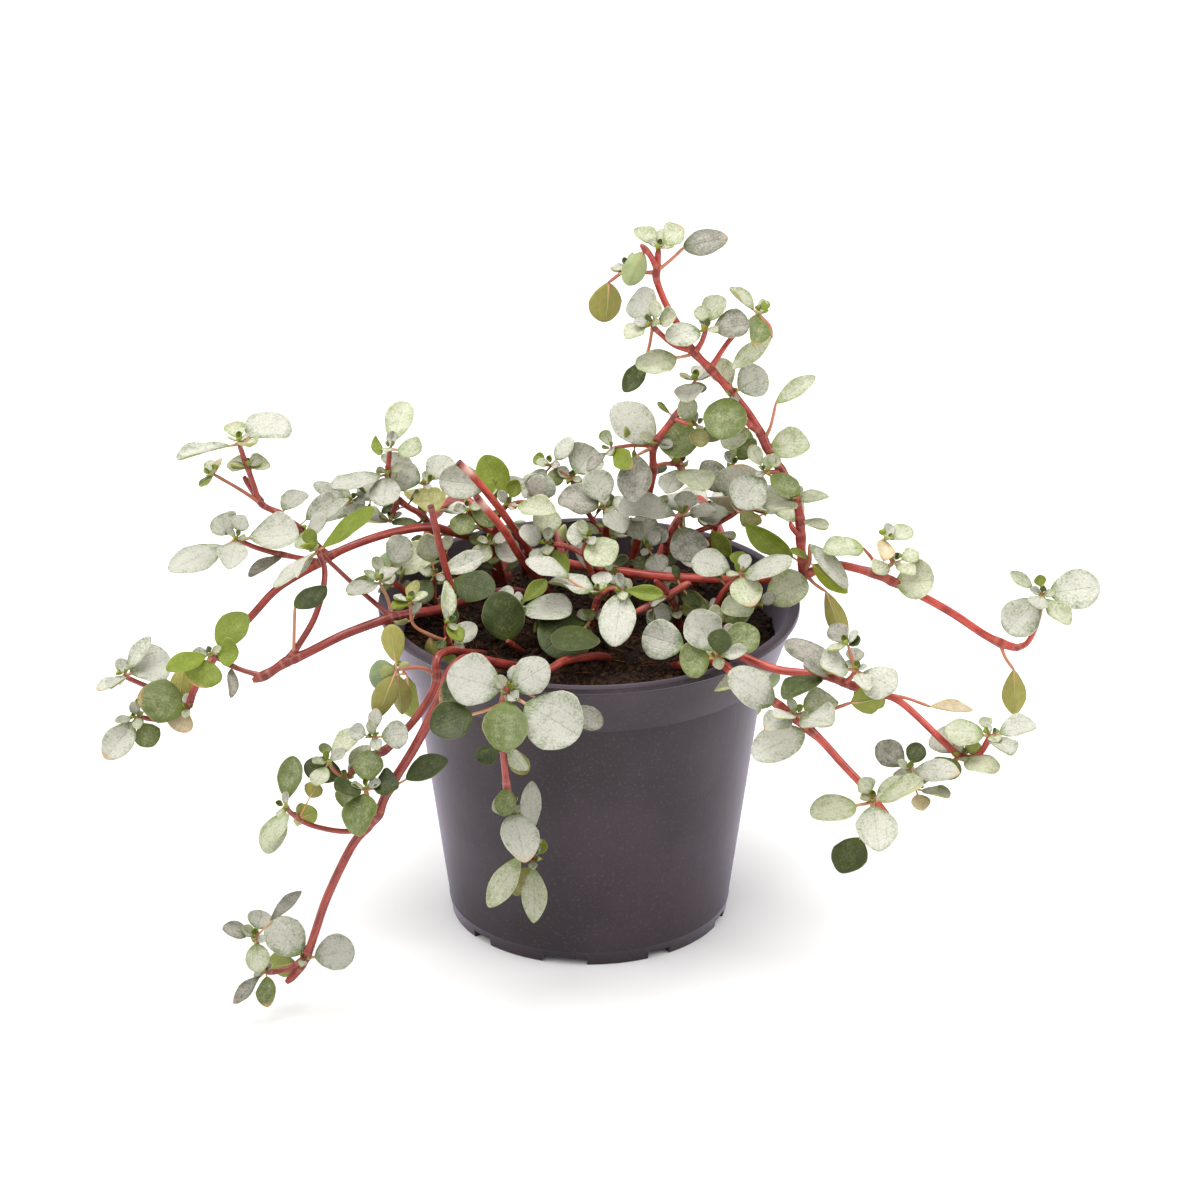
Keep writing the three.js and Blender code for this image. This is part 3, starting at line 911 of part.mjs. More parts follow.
// The way a leaf points, from its turn as seen and how far it opens from its sprig's axis
function bladeOf(bunch, row, index, swing, tilt, shrink) {
  const [turn, from, to, breadth] = row;
  const tier = Math.floor(index / 2);
  const opening = (tierOpenings[Math.min(tier, 2)] + tilt) * degrees;
  const angle = (turn + swing) * degrees;
  const flat = rightward.clone().multiplyScalar(Math.cos(angle)).addScaledVector(upward, Math.sin(angle));
  let near = toward.dot(bunch.axis);
  if (Math.abs(near) < leastNear) near = near < 0 ? -leastNear : leastNear;
  const out = flat.clone().addScaledVector(toward, -flat.dot(bunch.axis) / near);
  out.addScaledVector(bunch.axis, -out.dot(bunch.axis)).normalize();
  const way = bunch.axis.clone().multiplyScalar(Math.cos(opening)).addScaledVector(out, Math.sin(opening));
  const face = bunch.axis.clone().multiplyScalar(Math.sin(opening)).addScaledVector(out, -Math.cos(opening));
  const side = new THREE.Vector3().crossVectors(face, way);
  const shown = Math.max(leastShown, Math.hypot(way.dot(rightward), way.dot(upward)));
  const shownAcross = Math.max(leastShownAcross, Math.hypot(side.dot(rightward), side.dot(upward)));
  return {
    way,
    face,
    side,
    foot: bunch.middle.clone(),
    stalk: Math.max(bunch.blades.length > 2 ? leastStalk : 0, from / shown),
    length: shrink * Math.min(longestLeaf, (to - from) / shown),
    breadth: (breadth * (leastBreadth + (1 - leastBreadth) * shrink)) / shownAcross,
  };
}

// A place on a blade: share of its length, of its half width, and lift off its middle surface
function bladePoint(leaf, along, across, lift) {
  const { habit } = leaf;
  const shown = Math.max(along, 0);
  const turn = habit.twist * shown;
  const rise = leaf.length * (0.5 * habit.droop * shown - habit.droop * shown * shown)
    + leaf.breadth * habit.cup * across * across * shown;
  const offset = across * leaf.breadth * 0.5 * (along < 0 ? 0 : 1);
  const point = leaf.foot.clone().addScaledVector(leaf.way, leaf.stalk + along * leaf.length);
  point.addScaledVector(leaf.side, offset * Math.cos(turn) - (rise + lift) * Math.sin(turn));
  point.addScaledVector(leaf.face, offset * Math.sin(turn) + (rise + lift) * Math.cos(turn));
  return point;
}

function widthAt(along) {
  for (let index = 1; index < outline.length; index += 1) {
    const [low, narrow] = outline[index - 1];
    const [high, wide] = outline[index];
    if (along <= high) return narrow + ((wide - narrow) * (along - low)) / (high - low);
  }
  const [low, narrow] = outline.at(-1);
  return (narrow * (1 - along)) / (1 - low);
}

function samplesOf(leaf) {
  const points = [];
  for (let reach = firstSample; reach < leaf.stalk; reach += 1) {
    points.push(leaf.foot.clone().addScaledVector(leaf.way, reach));
  }
  const rows = Math.ceil(leaf.length);
  for (let row = 0; row <= rows; row += 1) {
    const along = row / rows;
    const half = widthAt(along);
    const columns = Math.max(1, Math.ceil(leaf.breadth * half));
    for (let column = 0; column <= columns; column += 1) {
      points.push(bladePoint(leaf, along, half * ((2 * column) / columns - 1), 0));
    }
  }
  return points;
}

function ballOf(points) {
  const middle = new THREE.Vector3();
  for (const point of points) middle.add(point);
  middle.divideScalar(points.length);
  const reach = Math.max(...points.map((point) => point.distanceTo(middle)));
  return { middle, reach };
}

const touch = new THREE.Vector3();

function isClear(node, bunch, points, ball) {
  for (const point of points) {
    if (point.distanceTo(bunch.middle) < sproutReach) continue;
    const radius = Math.hypot(point.x, point.y);
    const [inner, outer] = wallAt(Math.max(point.z, 0));
    if (point.z < tableRoom) return false;
    const inWall = radius > inner - wallRoom && radius < outer + wallRoom;
    if (point.z < potHeight + wallRoom && inWall) return false;
    if (radius < inner && point.z < soilTop(point.x, point.y) + groundRoom) return false;
  }
  for (const rod of rods) {
    const room = rod.radius + (rod.node === node ? ownRodRoom : rodRoom);
    rod.line.getCenter(touch);
    if (touch.distanceTo(ball.middle) > ball.reach + rod.line.distance() / 2 + rodSearch) continue;
    for (const point of points) {
      if (rod.node === node && point.distanceTo(bunch.middle) < heartReach) continue;
      rod.line.closestPointToPoint(point, true, touch);
      if (touch.distanceTo(point) < room) return false;
    }
  }
  for (const heart of hearts) {
    if (heart.bunch === bunch || heart.place.distanceTo(ball.middle) > ball.reach + heartRoom) continue;
    if (points.some((point) => heart.place.distanceTo(point) < heartRoom)) return false;
  }
  for (const other of placedBlades) {
    if (other.ball.middle.distanceTo(ball.middle) > ball.reach + other.ball.reach + bladeRoom) continue;
    const room = other.node === node ? ownRoom : bladeRoom;
    for (const point of points) {
      if (other.bunch === bunch && point.distanceTo(bunch.middle) < heartReach) continue;
      if (point.distanceTo(other.ball.middle) > other.ball.reach + room) continue;
      if (other.points.some((spot) => spot.distanceTo(point) < room)) return false;
    }
  }
  return true;
}

const moves = [];
for (const tilt of tilts) {
  for (const swing of swings) moves.push([swing, tilt]);
}
const effort = ([swing, tilt]) => Math.abs(swing) + Math.abs(tilt);
moves.sort((one, other) => effort(one) - effort(other));

// A leaf takes the first of its moves that keeps clear, and is smaller or left off where none does
function placeLeaf(node, bunch, row, index) {
  const habit = { droop: between(0.05, 0.3), cup: between(-0.1, 0.28), twist: between(-0.35, 0.35) };
  for (const shrink of shrinks) {
    for (const [swing, tilt] of moves) {
      const leaf = { ...bladeOf(bunch, row, index, swing, tilt, shrink), habit };
      const points = samplesOf(leaf);
      const ball = ballOf(points);
      if (isClear(node, bunch, points, ball)) {
        placedBlades.push({ bunch, node, points, ball });
        return leaf;
      }
    }
  }
  return null;
}

for (const node of plant) {
  node.leaves = [];
  for (const bunch of node.sprigs) {
    bunch.blades.forEach((row, index) => {
      const leaf = placeLeaf(node, bunch, row, index);
      if (leaf && leaf.length > tinyLeaf) node.leaves.push(leaf);
    });
  }
}

// A leaf is keeled: each ring has its two edges and the rib below. Its foot is a point inside the stem.
function leafSolid(leaf) {
  const half = stalkWidth / 2;
  const onStalk = (reach, across, lift) => leaf.foot.clone()
    .addScaledVector(leaf.way, reach)
    .addScaledVector(leaf.side, across * half)
    .addScaledVector(leaf.face, lift * half);
  const bladeRing = ([along, share]) => [
    bladePoint(leaf, along, share, 0),
    bladePoint(leaf, along, -share, 0),
    bladePoint(leaf, along, 0, -bladeThickness),
  ];
  const rings = [[onStalk(-footDepth, 0, -footKeel)]];
  if (leaf.stalk > shortStalk) {
    rings.push([onStalk(leaf.stalk, 1, 1), onStalk(leaf.stalk, -1, 1), onStalk(leaf.stalk, 0, -stalkKeel)]);
  }
  if (leaf.length > largeLeaf) rings.push(...outline.slice(1).map(bladeRing));
  else if (leaf.length > smallLeaf) rings.push(...shortOutline.map(bladeRing));
  else rings.push(...smallOutline.map(bladeRing));
  rings.push([bladePoint(leaf, 1, 0, 0)]);
  return solid(skin(rings));
}

const group = new THREE.Group();
const holes = [];
const holeGrowth = holeGap / Math.cos(Math.PI / stemSides);
for (const line of [...plant.map((node) => node.lines[0]), ...bareLines]) {
  const [root, ...covered] = line.filter(({ point }) => point.distanceTo(line[1].point) < holeReach);
  const bottom = root.point.clone().setZ(root.point.z - holeGap);
  holes.push(tube([{ ...root, point: bottom }, ...covered], stemSides, holeGrowth));
}

group.add(meshOf('pot', potSolid(), 'pot'));
group.add(meshOf('soil', soilSolid(holes), 'soil'));
for (const node of plant) {
  const pieces = node.lines.map((line, index) => tube(line, index > 0 ? sidesFor(line) : stemSides, 0));
  pieces.push(...node.leaves.map(leafSolid));
  group.add(meshOf(node.name, oneBody(wasm.Manifold.union(pieces).simplify(smoothing)), 'leaf'));
}
bareLines.forEach((line, index) => {
  group.add(meshOf(`bare_stem_${index + 1}`, tube(line, stemSides, 0), 'stem'));
});

// The middle of the whole part's footprint is the origin
const box = new THREE.Box3().setFromObject(group);
const middle = box.getCenter(new THREE.Vector3());
for (const mesh of group.children) mesh.geometry.translate(-middle.x, -middle.y, -box.min.z);

export default group;
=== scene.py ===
# %% [markdown]
# # A small silver-leaved pilea in a nursery pot
#
# The plant trails: fleshy coral-red stems spread over the rim of a thin plastic pot and carry tufts of
# small round leaves, silver above and olive below. The solids that came from the part's source are
# the frame: they say where everything is. Here each leafy stem is built again on the same courses, with finer
# leaves, stalks, knots and buds, and the pot and the peat get their moulded and crumbly surfaces.

# %% Load the frame
import math

import bmesh
import bpy
import numpy as np
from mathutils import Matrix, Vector, noise


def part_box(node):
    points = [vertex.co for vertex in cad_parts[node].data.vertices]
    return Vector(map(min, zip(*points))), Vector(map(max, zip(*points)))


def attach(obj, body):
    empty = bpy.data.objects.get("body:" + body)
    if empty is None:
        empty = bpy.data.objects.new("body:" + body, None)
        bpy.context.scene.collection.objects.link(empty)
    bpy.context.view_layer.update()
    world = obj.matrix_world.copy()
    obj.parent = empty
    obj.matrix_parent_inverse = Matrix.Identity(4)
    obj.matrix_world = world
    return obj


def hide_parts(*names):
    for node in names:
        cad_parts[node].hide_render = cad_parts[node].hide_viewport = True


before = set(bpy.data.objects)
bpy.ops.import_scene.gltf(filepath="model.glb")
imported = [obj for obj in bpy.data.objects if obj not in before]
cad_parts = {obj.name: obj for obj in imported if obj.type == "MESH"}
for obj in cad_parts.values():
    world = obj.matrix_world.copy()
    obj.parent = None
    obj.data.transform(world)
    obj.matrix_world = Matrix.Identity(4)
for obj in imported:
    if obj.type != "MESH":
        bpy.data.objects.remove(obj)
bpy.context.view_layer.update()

MM = 0.001
print("nodes in the frame:", len(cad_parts))

# %% [markdown]
# ## Where things are
#
# The stems are written as they are seen from the front, 24 degrees above the rim: how far right of the
# middle of the rim, how far up, and how far behind the axis of the pot, in millimetres. One function turns
# such a place into a place in the model. A straight table of X, Y and Z would do too, but a place as seen
# can be set against the plant.

# %% The view in which the places are written
VIEW_TILT = math.radians(24)
VIEW_DISTANCE = 719
POT_HEIGHT = 48
pot_low, pot_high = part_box("pot")
POT_AXIS = np.array([(pot_low.x + pot_high.x) / 2, (pot_low.y + pot_high.y) / 2, 0]) / MM
rightward = np.array([1.0, 0.0, 0.0])
upward = np.array([0.0, math.sin(VIEW_TILT), math.cos(VIEW_TILT)])
toward = np.array([0.0, -math.cos(VIEW_TILT), math.sin(VIEW_TILT)])


def unit(vector):
    return vector / math.sqrt(vector @ vector)


def seen(place):
    """A place as seen becomes millimetres from the foot of the pot's axis."""
    across, rise, behind = place
    scale, nearness = 1.0, 0.0
    for _ in range(3):
        nearness = (scale * rise * math.sin(VIEW_TILT) - behind) / math.cos(VIEW_TILT)
        scale = (VIEW_DISTANCE - nearness) / VIEW_DISTANCE
    height = POT_HEIGHT + scale * rise * math.cos(VIEW_TILT) + nearness * math.sin(VIEW_TILT)
    return np.array([scale * across, behind, height])


def seen_way(way):
    across, rise, near = way
    return unit(rightward * across + upward * rise + toward * near)


print("axis of the pot, mm:", POT_AXIS.round(2))

# %% [markdown]
# ## The plant, stem by stem
#
# A leafy stem is one grown thing: its main shoot, the branches that leave it, and sprigs of leaves. A shoot
# has its thickness at the root and at the tip and the places it passes. A sprig has its place, the way it
# faces, and one row for each leaf, in pairs from the lowest: its turn as seen, where its blade starts and
# ends from the middle of the sprig, and its breadth. The last words are the leaves' tones. Such a table
# could be drawn at random, but this plant is one certain plant, so each sprig stands where the real one does.

# %% The ways that a sprig faces, and the words of the table
skyward = [0, 0.9, 0.45]
halfway = [0, 0.7, 0.72]
facing = [0, 0.35, 0.94]
facing_left = [-0.5, 0.4, 0.77]
facing_right = [0.5, 0.4, 0.77]
leaning_left = [-0.5, 0.72, 0.48]
leaning_right = [0.5, 0.72, 0.48]
drooping = [0, -0.45, 0.89]
turned_away = [0, 0.35, -0.94]
plant = []


def leafy_stem(name, shoots, sprigs):
    plant.append({"name": name, "shoots": shoots, "sprigs": sprigs, "lines": [], "leaves": []})


def shoot(thick, thin, *places):
    return {"thick": thick, "thin": thin, "points": [seen(place) for place in places]}


def sprig(place, faces, blades, tones="silver"):
    """A sprig of leaves. The last of its tones goes for all the leaves that are left."""
    tones = tones.split()
    tones += tones[-1:] * (len(blades) - len(tones))
    return {"middle": seen(place), "axis": seen_way(faces), "blades": blades, "tones": tones}


print("a sprig that faces halfway up:", seen_way(halfway).round(2))

# %% The leafy stems
leafy_stem("stem_right_long", [
  shoot(1.5, 1.3, [-9, 4.2, 21.5], [-9.2, 6.4, 18.5], [-8, 6.7, 14.5], [-4, 5.5, 9.5], [-1, 4.8, 6.5],
    [5, 4, 3.5], [10, 3.4, 1.5], [16, 3.1, 0], [23.8, 2.9, -1], [29, 3.1, -1.2], [31.5, 3.9, -1.3],
    [34.6, 5.1, -1.6], [40.5, 3.8, -2.6], [43, 2.7, -3], [48, 0.2, -4], [52, -2.1, -5], [56, -4.8, -6],
    [58.5, -6.1, -6.6], [61, -6.9, -7]),
  shoot(1.5, 1, [30.6, 3.8, -1.2], [30.2, 7, -0.6], [30.1, 10, 0], [29.8, 13, 0.5], [28.3, 16.8, 1.2],
    [25.6, 21.2, 2], [24.6, 23.3, 2.4], [22.4, 27, 3.1], [17.9, 32.2, 4.1], [14.6, 35.6, 4.9],
    [13, 38.6, 5.6], [11, 42, 6.4], [9.6, 45.6, 7.3], [9.7, 47, 7.6], [9.9, 49.9, 8]),
  shoot(0.6, 0.5, [9.8, 46.8, 7.6], [11.6, 48.3, 7.3], [13.6, 50.2, 7.2]),
  shoot(1, 0.9, [9.6, 47.2, 7.6], [8.6, 49.2, 7], [7.4, 50.5, 6.6]),
  shoot(0.7, 0.55, [9.4, 46.6, 7.5], [7.6, 46.6, 8.6], [5.7, 47.1, 9], [2.7, 45.1, 9.2]),
  shoot(0.9, 0.8, [14.8, 35.4, 4.9], [12.2, 36.2, 4.4], [10, 38, 3.8], [8.9, 39.2, 3.4]),
  shoot(0.6, 0.5, [9, 39, 3.6], [8.6, 36.2, 5.4], [7.9, 33.8, 5.8]),
  shoot(0.9, 0.8, [15, 35.1, 4.8], [16, 36.6, 4.4], [16.7, 38.5, 4]),
  shoot(0.9, 0.7, [17.3, 32.9, 4.2], [19.9, 36.8, 5.4], [22.5, 39.3, 6], [24.2, 40.6, 6.4]),
  shoot(0.6, 0.5, [24.2, 40.4, 6.4], [25.7, 39, 7], [26, 37.3, 7]),
  shoot(0.9, 0.9, [24.3, 23.6, 2.4], [22.9, 24.9, 1.4], [21.7, 26.1, 0.8]),
  shoot(0.6, 0.5, [24.9, 22.8, 2.3], [25.8, 24.6, 1.8], [26.6, 28, 1.5]),
  shoot(0.8, 0.7, [27.4, 18.3, 1.5], [26.2, 18.2, 0.6], [25, 18.2, -0.2]),
  shoot(0.9, 0.9, [30, 9, -0.3], [29.1, 10, -1], [28.6, 11, -1.6]),
  shoot(0.7, 0.6, [31, 4.2, -1.5], [31.3, 5.4, -2.4], [31.4, 7.9, -3]),
  shoot(0.6, 0.5, [30.8, 3.5, -1.6], [32.2, 2.2, -2.8], [33.7, 1.2, -3.2]),
  shoot(0.7, 0.5, [40.6, 3.9, -2.8], [40.4, 5.6, -3.2], [39, 7.4, -3.4]),
  shoot(0.8, 0.7, [41.2, 3.5, -2.8], [42.4, 4.6, -3.4], [43.4, 5.4, -3.6]),
  shoot(0.7, 0.6, [43.3, 5.3, -3.6], [42.4, 7, -3], [42, 8.7, -2.8]),
  shoot(0.6, 0.5, [58.3, -6.2, -6.7], [59.2, -8.2, -7.4], [60.4, -9.9, -7.7]),
  shoot(1, 0.8, [60.7, -6.9, -7], [62.2, -6.2, -7.2], [63.3, -4.4, -7.4], [64.1, -1.8, -7.6],
    [64.4, 0.8, -7.8]),
], [
  sprig([13.6, 50.2, 7.2], facing, [[9, 0, 6.2, 4]], "mauve"),
  sprig([9.9, 49.9, 8], halfway, [[135, 0.3, 3.8, 3], [20, 0.4, 3.7, 3.4], [75, 0.3, 2.9, 2.4]], "pale"),
  sprig([7.9, 50, 6.8], turned_away, [[-91, 0.6, 5.2, 3.3]], "pale"),
  sprig([5.7, 47.1, 9], leaning_left, [[75, 0.2, 2.5, 1.6], [-110, 0.2, 2, 2]], "pale tan"),
  sprig([2.7, 45.1, 9.2], [-0.5, 0.2, -0.8], [[-92, 0.1, 5.3, 4.4]], "olive"),
  sprig([8.9, 39.2, 3.4], facing_left, [[108, 0.5, 4.9, 5], [15, 0.4, 3, 2.8], [-142, 0.4, 3.4, 2.8],
    [50, 0.5, 2.6, 2]], "silver pale"),
  sprig([14.7, 34.9, 4.8], halfway, [[176, 2.8, 8.2, 5]], "pale"),
  sprig([7.9, 33.8, 5.8], facing, [[-122, 0.1, 4.8, 2.8]], "dark"),
  sprig([16.7, 38.5, 4], halfway, [[198, 0.5, 5, 3.8], [2, 0.6, 5.4, 4.2], [62, 1.4, 5.4, 3.4],
    [120, 0.4, 2.6, 2.4]], "silver mauve pale"),
  sprig([24.2, 40.6, 6.4], leaning_right, [[142, 0.5, 4.9, 3.4], [-104, 0.6, 4.8, 3.6],
    [60, 0.2, 1.8, 1.4]], "pale green lime"),
  sprig([26, 37.3, 7], [0.3, 0.4, 0.85], [[-142, 0.1, 6.8, 2.8]], "pale"),
  sprig([20.4, 29.4, 3.5], facing, [[-104, 0.8, 6.2, 6], [28, 0.5, 5, 4.9],
    [112, 0.5, 5, 3.6]], "green silver pale"),
  sprig([26.6, 28, 1.5], facing, [[33, 0.1, 6.8, 2.5]], "pale"),
  sprig([25.4, 21.6, 2], facing, [[5, 0.6, 5.9, 4.8]], "pale"),
  sprig([23.1, 24.7, 1.6], [-0.4, 0.3, 0.85], [[215, 0.9, 5, 3.6]], "pale"),
  sprig([25, 18.2, -0.2], facing, [[-127, 0.4, 5.4, 5.4], [-35, 0.4, 4.7, 3.4], [122, 0.4, 3.5, 2.2],
    [40, 0.2, 2, 2]], "silver green pale"),
  sprig([29.6, 14.3, 0.6], skyward, [[3, 0.6, 4.8, 4.4], [200, 0.5, 4.6, 4.8]], "pale"),
  sprig([30.1, 11.4, 0.2], skyward, [[-20, 0.6, 3.8, 2.6]], "pale"),
  sprig([30.3, 4.9, -1.2], drooping, [[143, 2, 9.8, 3.4]], "lime"),
  sprig([31.3, 5.4, -2.4], turned_away, [[-44, 0.8, 7, 3]], "lime"),
  sprig([31.4, 7.9, -3], [0.5, 0.5, 0.7], [[-53, 0.2, 8, 2.8]]),
  sprig([31.2, 6, -2.6], leaning_right, [[150, 0.3, 2.8, 1.8]], "lime"),
  sprig([33.7, 1.2, -3.2], turned_away, [[-57, 0.1, 7.6, 2.9]], "olive"),
  sprig([39, 7.4, -3.4], halfway, [[187, 0.1, 5.6, 4]], "pale"),
  sprig([43.2, 2.8, -3], facing, [[-6, 0.6, 5.7, 5.5]], "pale"),
  sprig([43.4, 5.4, -3.6], halfway, [[-152, 0.3, 2.6, 2.6], [14, 0.3, 2.9, 2.2],
    [-52, 0.3, 2.6, 2.4]], "pale"),
  sprig([42, 8.7, -2.8], leaning_right, [[12, 0.2, 5.2, 2.6], [-100, 0.2, 2.8, 2.8]], "pale tan"),
  sprig([60.4, -9.9, -7.7], turned_away, [[-87, 0.1, 6.2, 3.5]], "olive"),
  sprig([64.4, 0.8, -7.8], facing, [[6, 1.2, 8.2, 5.6], [228, 1.2, 7.4, 5.4], [-44, 1, 5.4, 3.2],
    [152, 1.8, 5.4, 1.8], [250, 0.3, 2.4, 3], [100, 0.2, 1.8, 1.8]], "silver silver pale pale silver lime"),
])

leafy_stem("stem_left_long", [
  shoot(1.5, 1.2, [-13, 2.7, 18], [-14, 6.2, 17], [-16, 8.6, 14], [-20, 9.8, 10], [-22.8, 10.4, 8],
    [-28, 9.6, 5], [-33, 8, 2], [-37, 6.2, 0], [-38.8, 5, -0.7], [-44.2, 1.7, -3], [-48, -2.3, -5],
    [-51.5, -6, -6], [-54.2, -9.6, -7], [-56, -12.5, -7.5], [-57, -15.4, -8]),
  shoot(1.1, 0.8, [-37, 6.2, 0], [-39.3, 8.4, 0.6], [-41.5, 10.4, 1.2], [-44, 12.3, 1.8],
    [-46.6, 13.7, 2.2], [-47.7, 16.5, 2.5], [-48.6, 19, 2.8], [-49.8, 22.3, 3]),
  shoot(1.1, 1.1, [-46.8, 13.9, 2.2], [-47.8, 15.6, 3.6], [-49.1, 17.6, 4.2]),
  shoot(0.7, 0.55, [-46.6, 13.7, 2.2], [-49.6, 15.7, 1.8], [-53.4, 17.9, 1.4]),
  shoot(0.9, 0.8, [-38.2, 5.4, -0.4], [-42.3, 6.2, -1], [-45.5, 6.9, -1.6], [-48, 7.7, -2],
    [-50.1, 8.7, -2.2]),
  shoot(0.9, 0.8, [-57, -15.2, -8], [-60, -13.4, -5.4], [-63.5, -12, -4], [-66.2, -10.8, -3.6]),
  shoot(0.9, 0.8, [-57, -15.2, -8], [-60.4, -17, -7.6], [-64.2, -16.6, -8.4]),
], [
  sprig([-49.8, 22.3, 3], skyward, [[24, 1.8, 7.6, 5.8], [200, 1.6, 8.2, 3.6], [120, 0.3, 2.8, 3],
    [-30, 0.3, 2.2, 3]], "silver silver pale pale"),
  sprig([-48.5, 18.8, 2.8], skyward, [[176, 0.4, 3, 3.6], [12, 0.4, 3.1, 3.8]], "pale"),
  sprig([-53.4, 17.9, 1.4], leaning_left, [[66, 0.2, 2.6, 1.6], [228, 0.2, 2.5, 1.6]], "tan green"),
  sprig([-44, 12.3, 1.8], skyward, [[38, 0.8, 4.8, 3.4]]),
  sprig([-41.4, 10.3, 1.2], [0.4, 0.3, 0.85], [[57, 1.8, 6.9, 2.8]]),
  sprig([-40.4, 9.4, 1], facing_left, [[48, 1, 7.8, 2.2], [5, 0.4, 3.4, 3]]),
  sprig([-50.1, 8.7, -2.2], halfway, [[25, 2, 8.8, 5.4], [213, 2.4, 10.2, 4.8], [150, 0.4, 3.6, 4.4],
    [-93, 0.4, 4.2, 4.4], [60, 0.3, 2.6, 3]]),
  sprig([-43.4, 6.4, -1.2], leaning_left, [[218, 0.4, 5.8, 2.4]], "mauve"),
  sprig([-57, -15.4, -8], facing, [[172, 0.5, 7, 6.2], [-125, 0.6, 3.6, 4.2]], "green tan"),
  sprig([-58.4, -14.3, -6.8], turned_away, [[78, 0.5, 4.6, 3.2]], "olive"),
  sprig([-66.2, -10.8, -3.6], halfway, [[6, 0.5, 6.4, 5.8], [212, 0.5, 3.4, 2], [-105, 0.3, 3.4, 2.6],
    [38, 1, 6.6, 2.2]]),
  sprig([-64.2, -16.6, -8.4], facing, [[-124, 1, 6.9, 4.2], [-58, 0.4, 4, 3.8], [205, 0.2, 2.3, 1.4],
    [80, 0.2, 1.9, 1.4]], "silver green silver lime"),
])

leafy_stem("stem_left_low", [
  shoot(1.7, 1.4, [-8, 0.3, 12], [-11, 1.2, 9], [-16, 0.4, 3], [-21.5, -1.4, -3], [-25, -1.9, -6.5],
    [-28.3, -2.6, -9.2], [-30, -3.1, -10.2], [-35, -5, -12], [-40, -7.5, -14], [-43, -8.8, -15],
    [-45.5, -10.4, -15.5], [-47.8, -11.5, -16]),
  shoot(0.9, 0.7, [-46.4, -10.8, -15.8], [-50, -9.7, -15.2], [-53.8, -7.7, -14.6]),
  shoot(1.1, 0.9, [-43, -8.7, -15], [-41, -6, -14], [-39, -2.5, -12], [-37.8, 1.5, -10], [-37.6, 4.6, -8],
    [-38.6, 7, -7]),
  shoot(0.6, 0.5, [-42, -8.3, -14.6], [-41.9, -4.6, -14.8], [-41.8, -1, -14.6]),
  shoot(0.9, 0.7, [-27.8, -2.2, -9], [-30, -0.8, -8], [-33, 1.8, -6], [-36.2, 4.8, -5.4], [-38.6, 7, -7]),
  shoot(0.6, 0.5, [-27.6, -2.1, -9], [-28.6, 0.2, -7.6], [-29.8, 2.5, -6.6]),
], [
  sprig([-53.8, -7.7, -14.6], facing, [[48, 1.8, 7.6, 4.4], [250, 0.5, 4, 5.6], [-4, 0.5, 3.4, 3.8],
    [212, 0.5, 5.2, 3]], "lime"),
  sprig([-50.8, -9.3, -15], facing_right, [[-104, 0.6, 4.4, 1.8]], "mauve"),
  sprig([-41.8, -1, -14.6], drooping, [[34, 0.1, 5.2, 3.2]], "dark"),
  sprig([-38.6, 7, -7], leaning_left, [[40, 0.8, 9.6, 3.6], [229, 1.2, 7.6, 4], [160, 0.8, 3.2, 3.2],
    [252, 1, 7.2, 2.6], [90, 0.4, 2.6, 2.2], [-80, 0.3, 2.2, 2.2]], "lime silver pale silver lime"),
  sprig([-29.8, 2.5, -6.6], skyward, [[205, 0.2, 4.2, 2.8], [40, 0.4, 3.4, 2.4]]),
])

leafy_stem("stem_front_left_long", [
  shoot(1.6, 1.3, [-10, -9.5, -12], [-13, -9, -17], [-16, -8.4, -21.4], [-18.2, -8.6, -24.8],
    [-20, -10.6, -27], [-21, -13.5, -28], [-24.5, -20.5, -29], [-28.5, -27, -30], [-30, -30.5, -30.5],
    [-31.6, -32.3, -30.8], [-33.5, -34.7, -31], [-35.5, -38.5, -31.5], [-37.5, -43, -32],
    [-39, -47.5, -32.5], [-40, -50.3, -32.8], [-41.5, -52.8, -33.2], [-43, -54.4, -33.6]),
  shoot(0.9, 0.8, [-31.4, -32.1, -30.8], [-33.4, -32.8, -31.4], [-36, -32.8, -32], [-39.5, -32, -32.6],
    [-41.4, -31, -32.8]),
  shoot(0.8, 0.7, [-41.2, -31.1, -32.8], [-42.4, -30.2, -33.2], [-43.1, -29.4, -33.4]),
  shoot(0.8, 0.7, [-30.2, -30.6, -30.6], [-31.2, -29, -32.4], [-31.7, -26.9, -33.4]),
  shoot(0.9, 0.8, [-40.6, -51, -33], [-43, -52.5, -34], [-45.9, -52.7, -35], [-46.9, -50, -35.6],
    [-47.4, -47.9, -36]),
], [
  sprig([-28.3, -26.8, -30], facing, [[26, 2.8, 9, 3.5]], "dark"),
  sprig([-31.7, -26.9, -33.4], halfway, [[82, 0.4, 4.6, 4.4], [-98, 0.6, 5.2, 4.8], [205, 0.5, 3.4, 3.4],
    [-8, 0.4, 3.8, 4.2]], "green green dark"),
  sprig([-43.1, -29.4, -33.4], facing_left, [[77, 0.5, 6.4, 3.2], [-108, 0.6, 6, 3.6],
    [-72, 1, 6.2, 4]], "green pale"),
  sprig([-41.3, -31.1, -32.8], turned_away, [[25, 0.3, 2.8, 3], [60, 3.4, 5.6, 2.6]], "green olive"),
  sprig([-40.6, -50.9, -33], facing, [[134, 1, 7.4, 5.4], [8, 1.6, 7, 4.8]]),
  sprig([-41.2, -51.5, -33.2], turned_away, [[168, 0.6, 4.4, 3.6]], "green"),
  sprig([-45.9, -52.7, -35], facing_left, [[-80, 0.4, 4, 2.8], [-108, 1, 6.2, 2],
    [150, 0.3, 2, 1.8]], "green mauve olive"),
  sprig([-47.4, -47.9, -36], facing, [[74, 0.3, 2.9, 3.6], [-82, 0.4, 4, 3.4], [168, 0.4, 3.8, 2.4],
    [41, 3.2, 9, 2]], "silver pale mauve"),
])

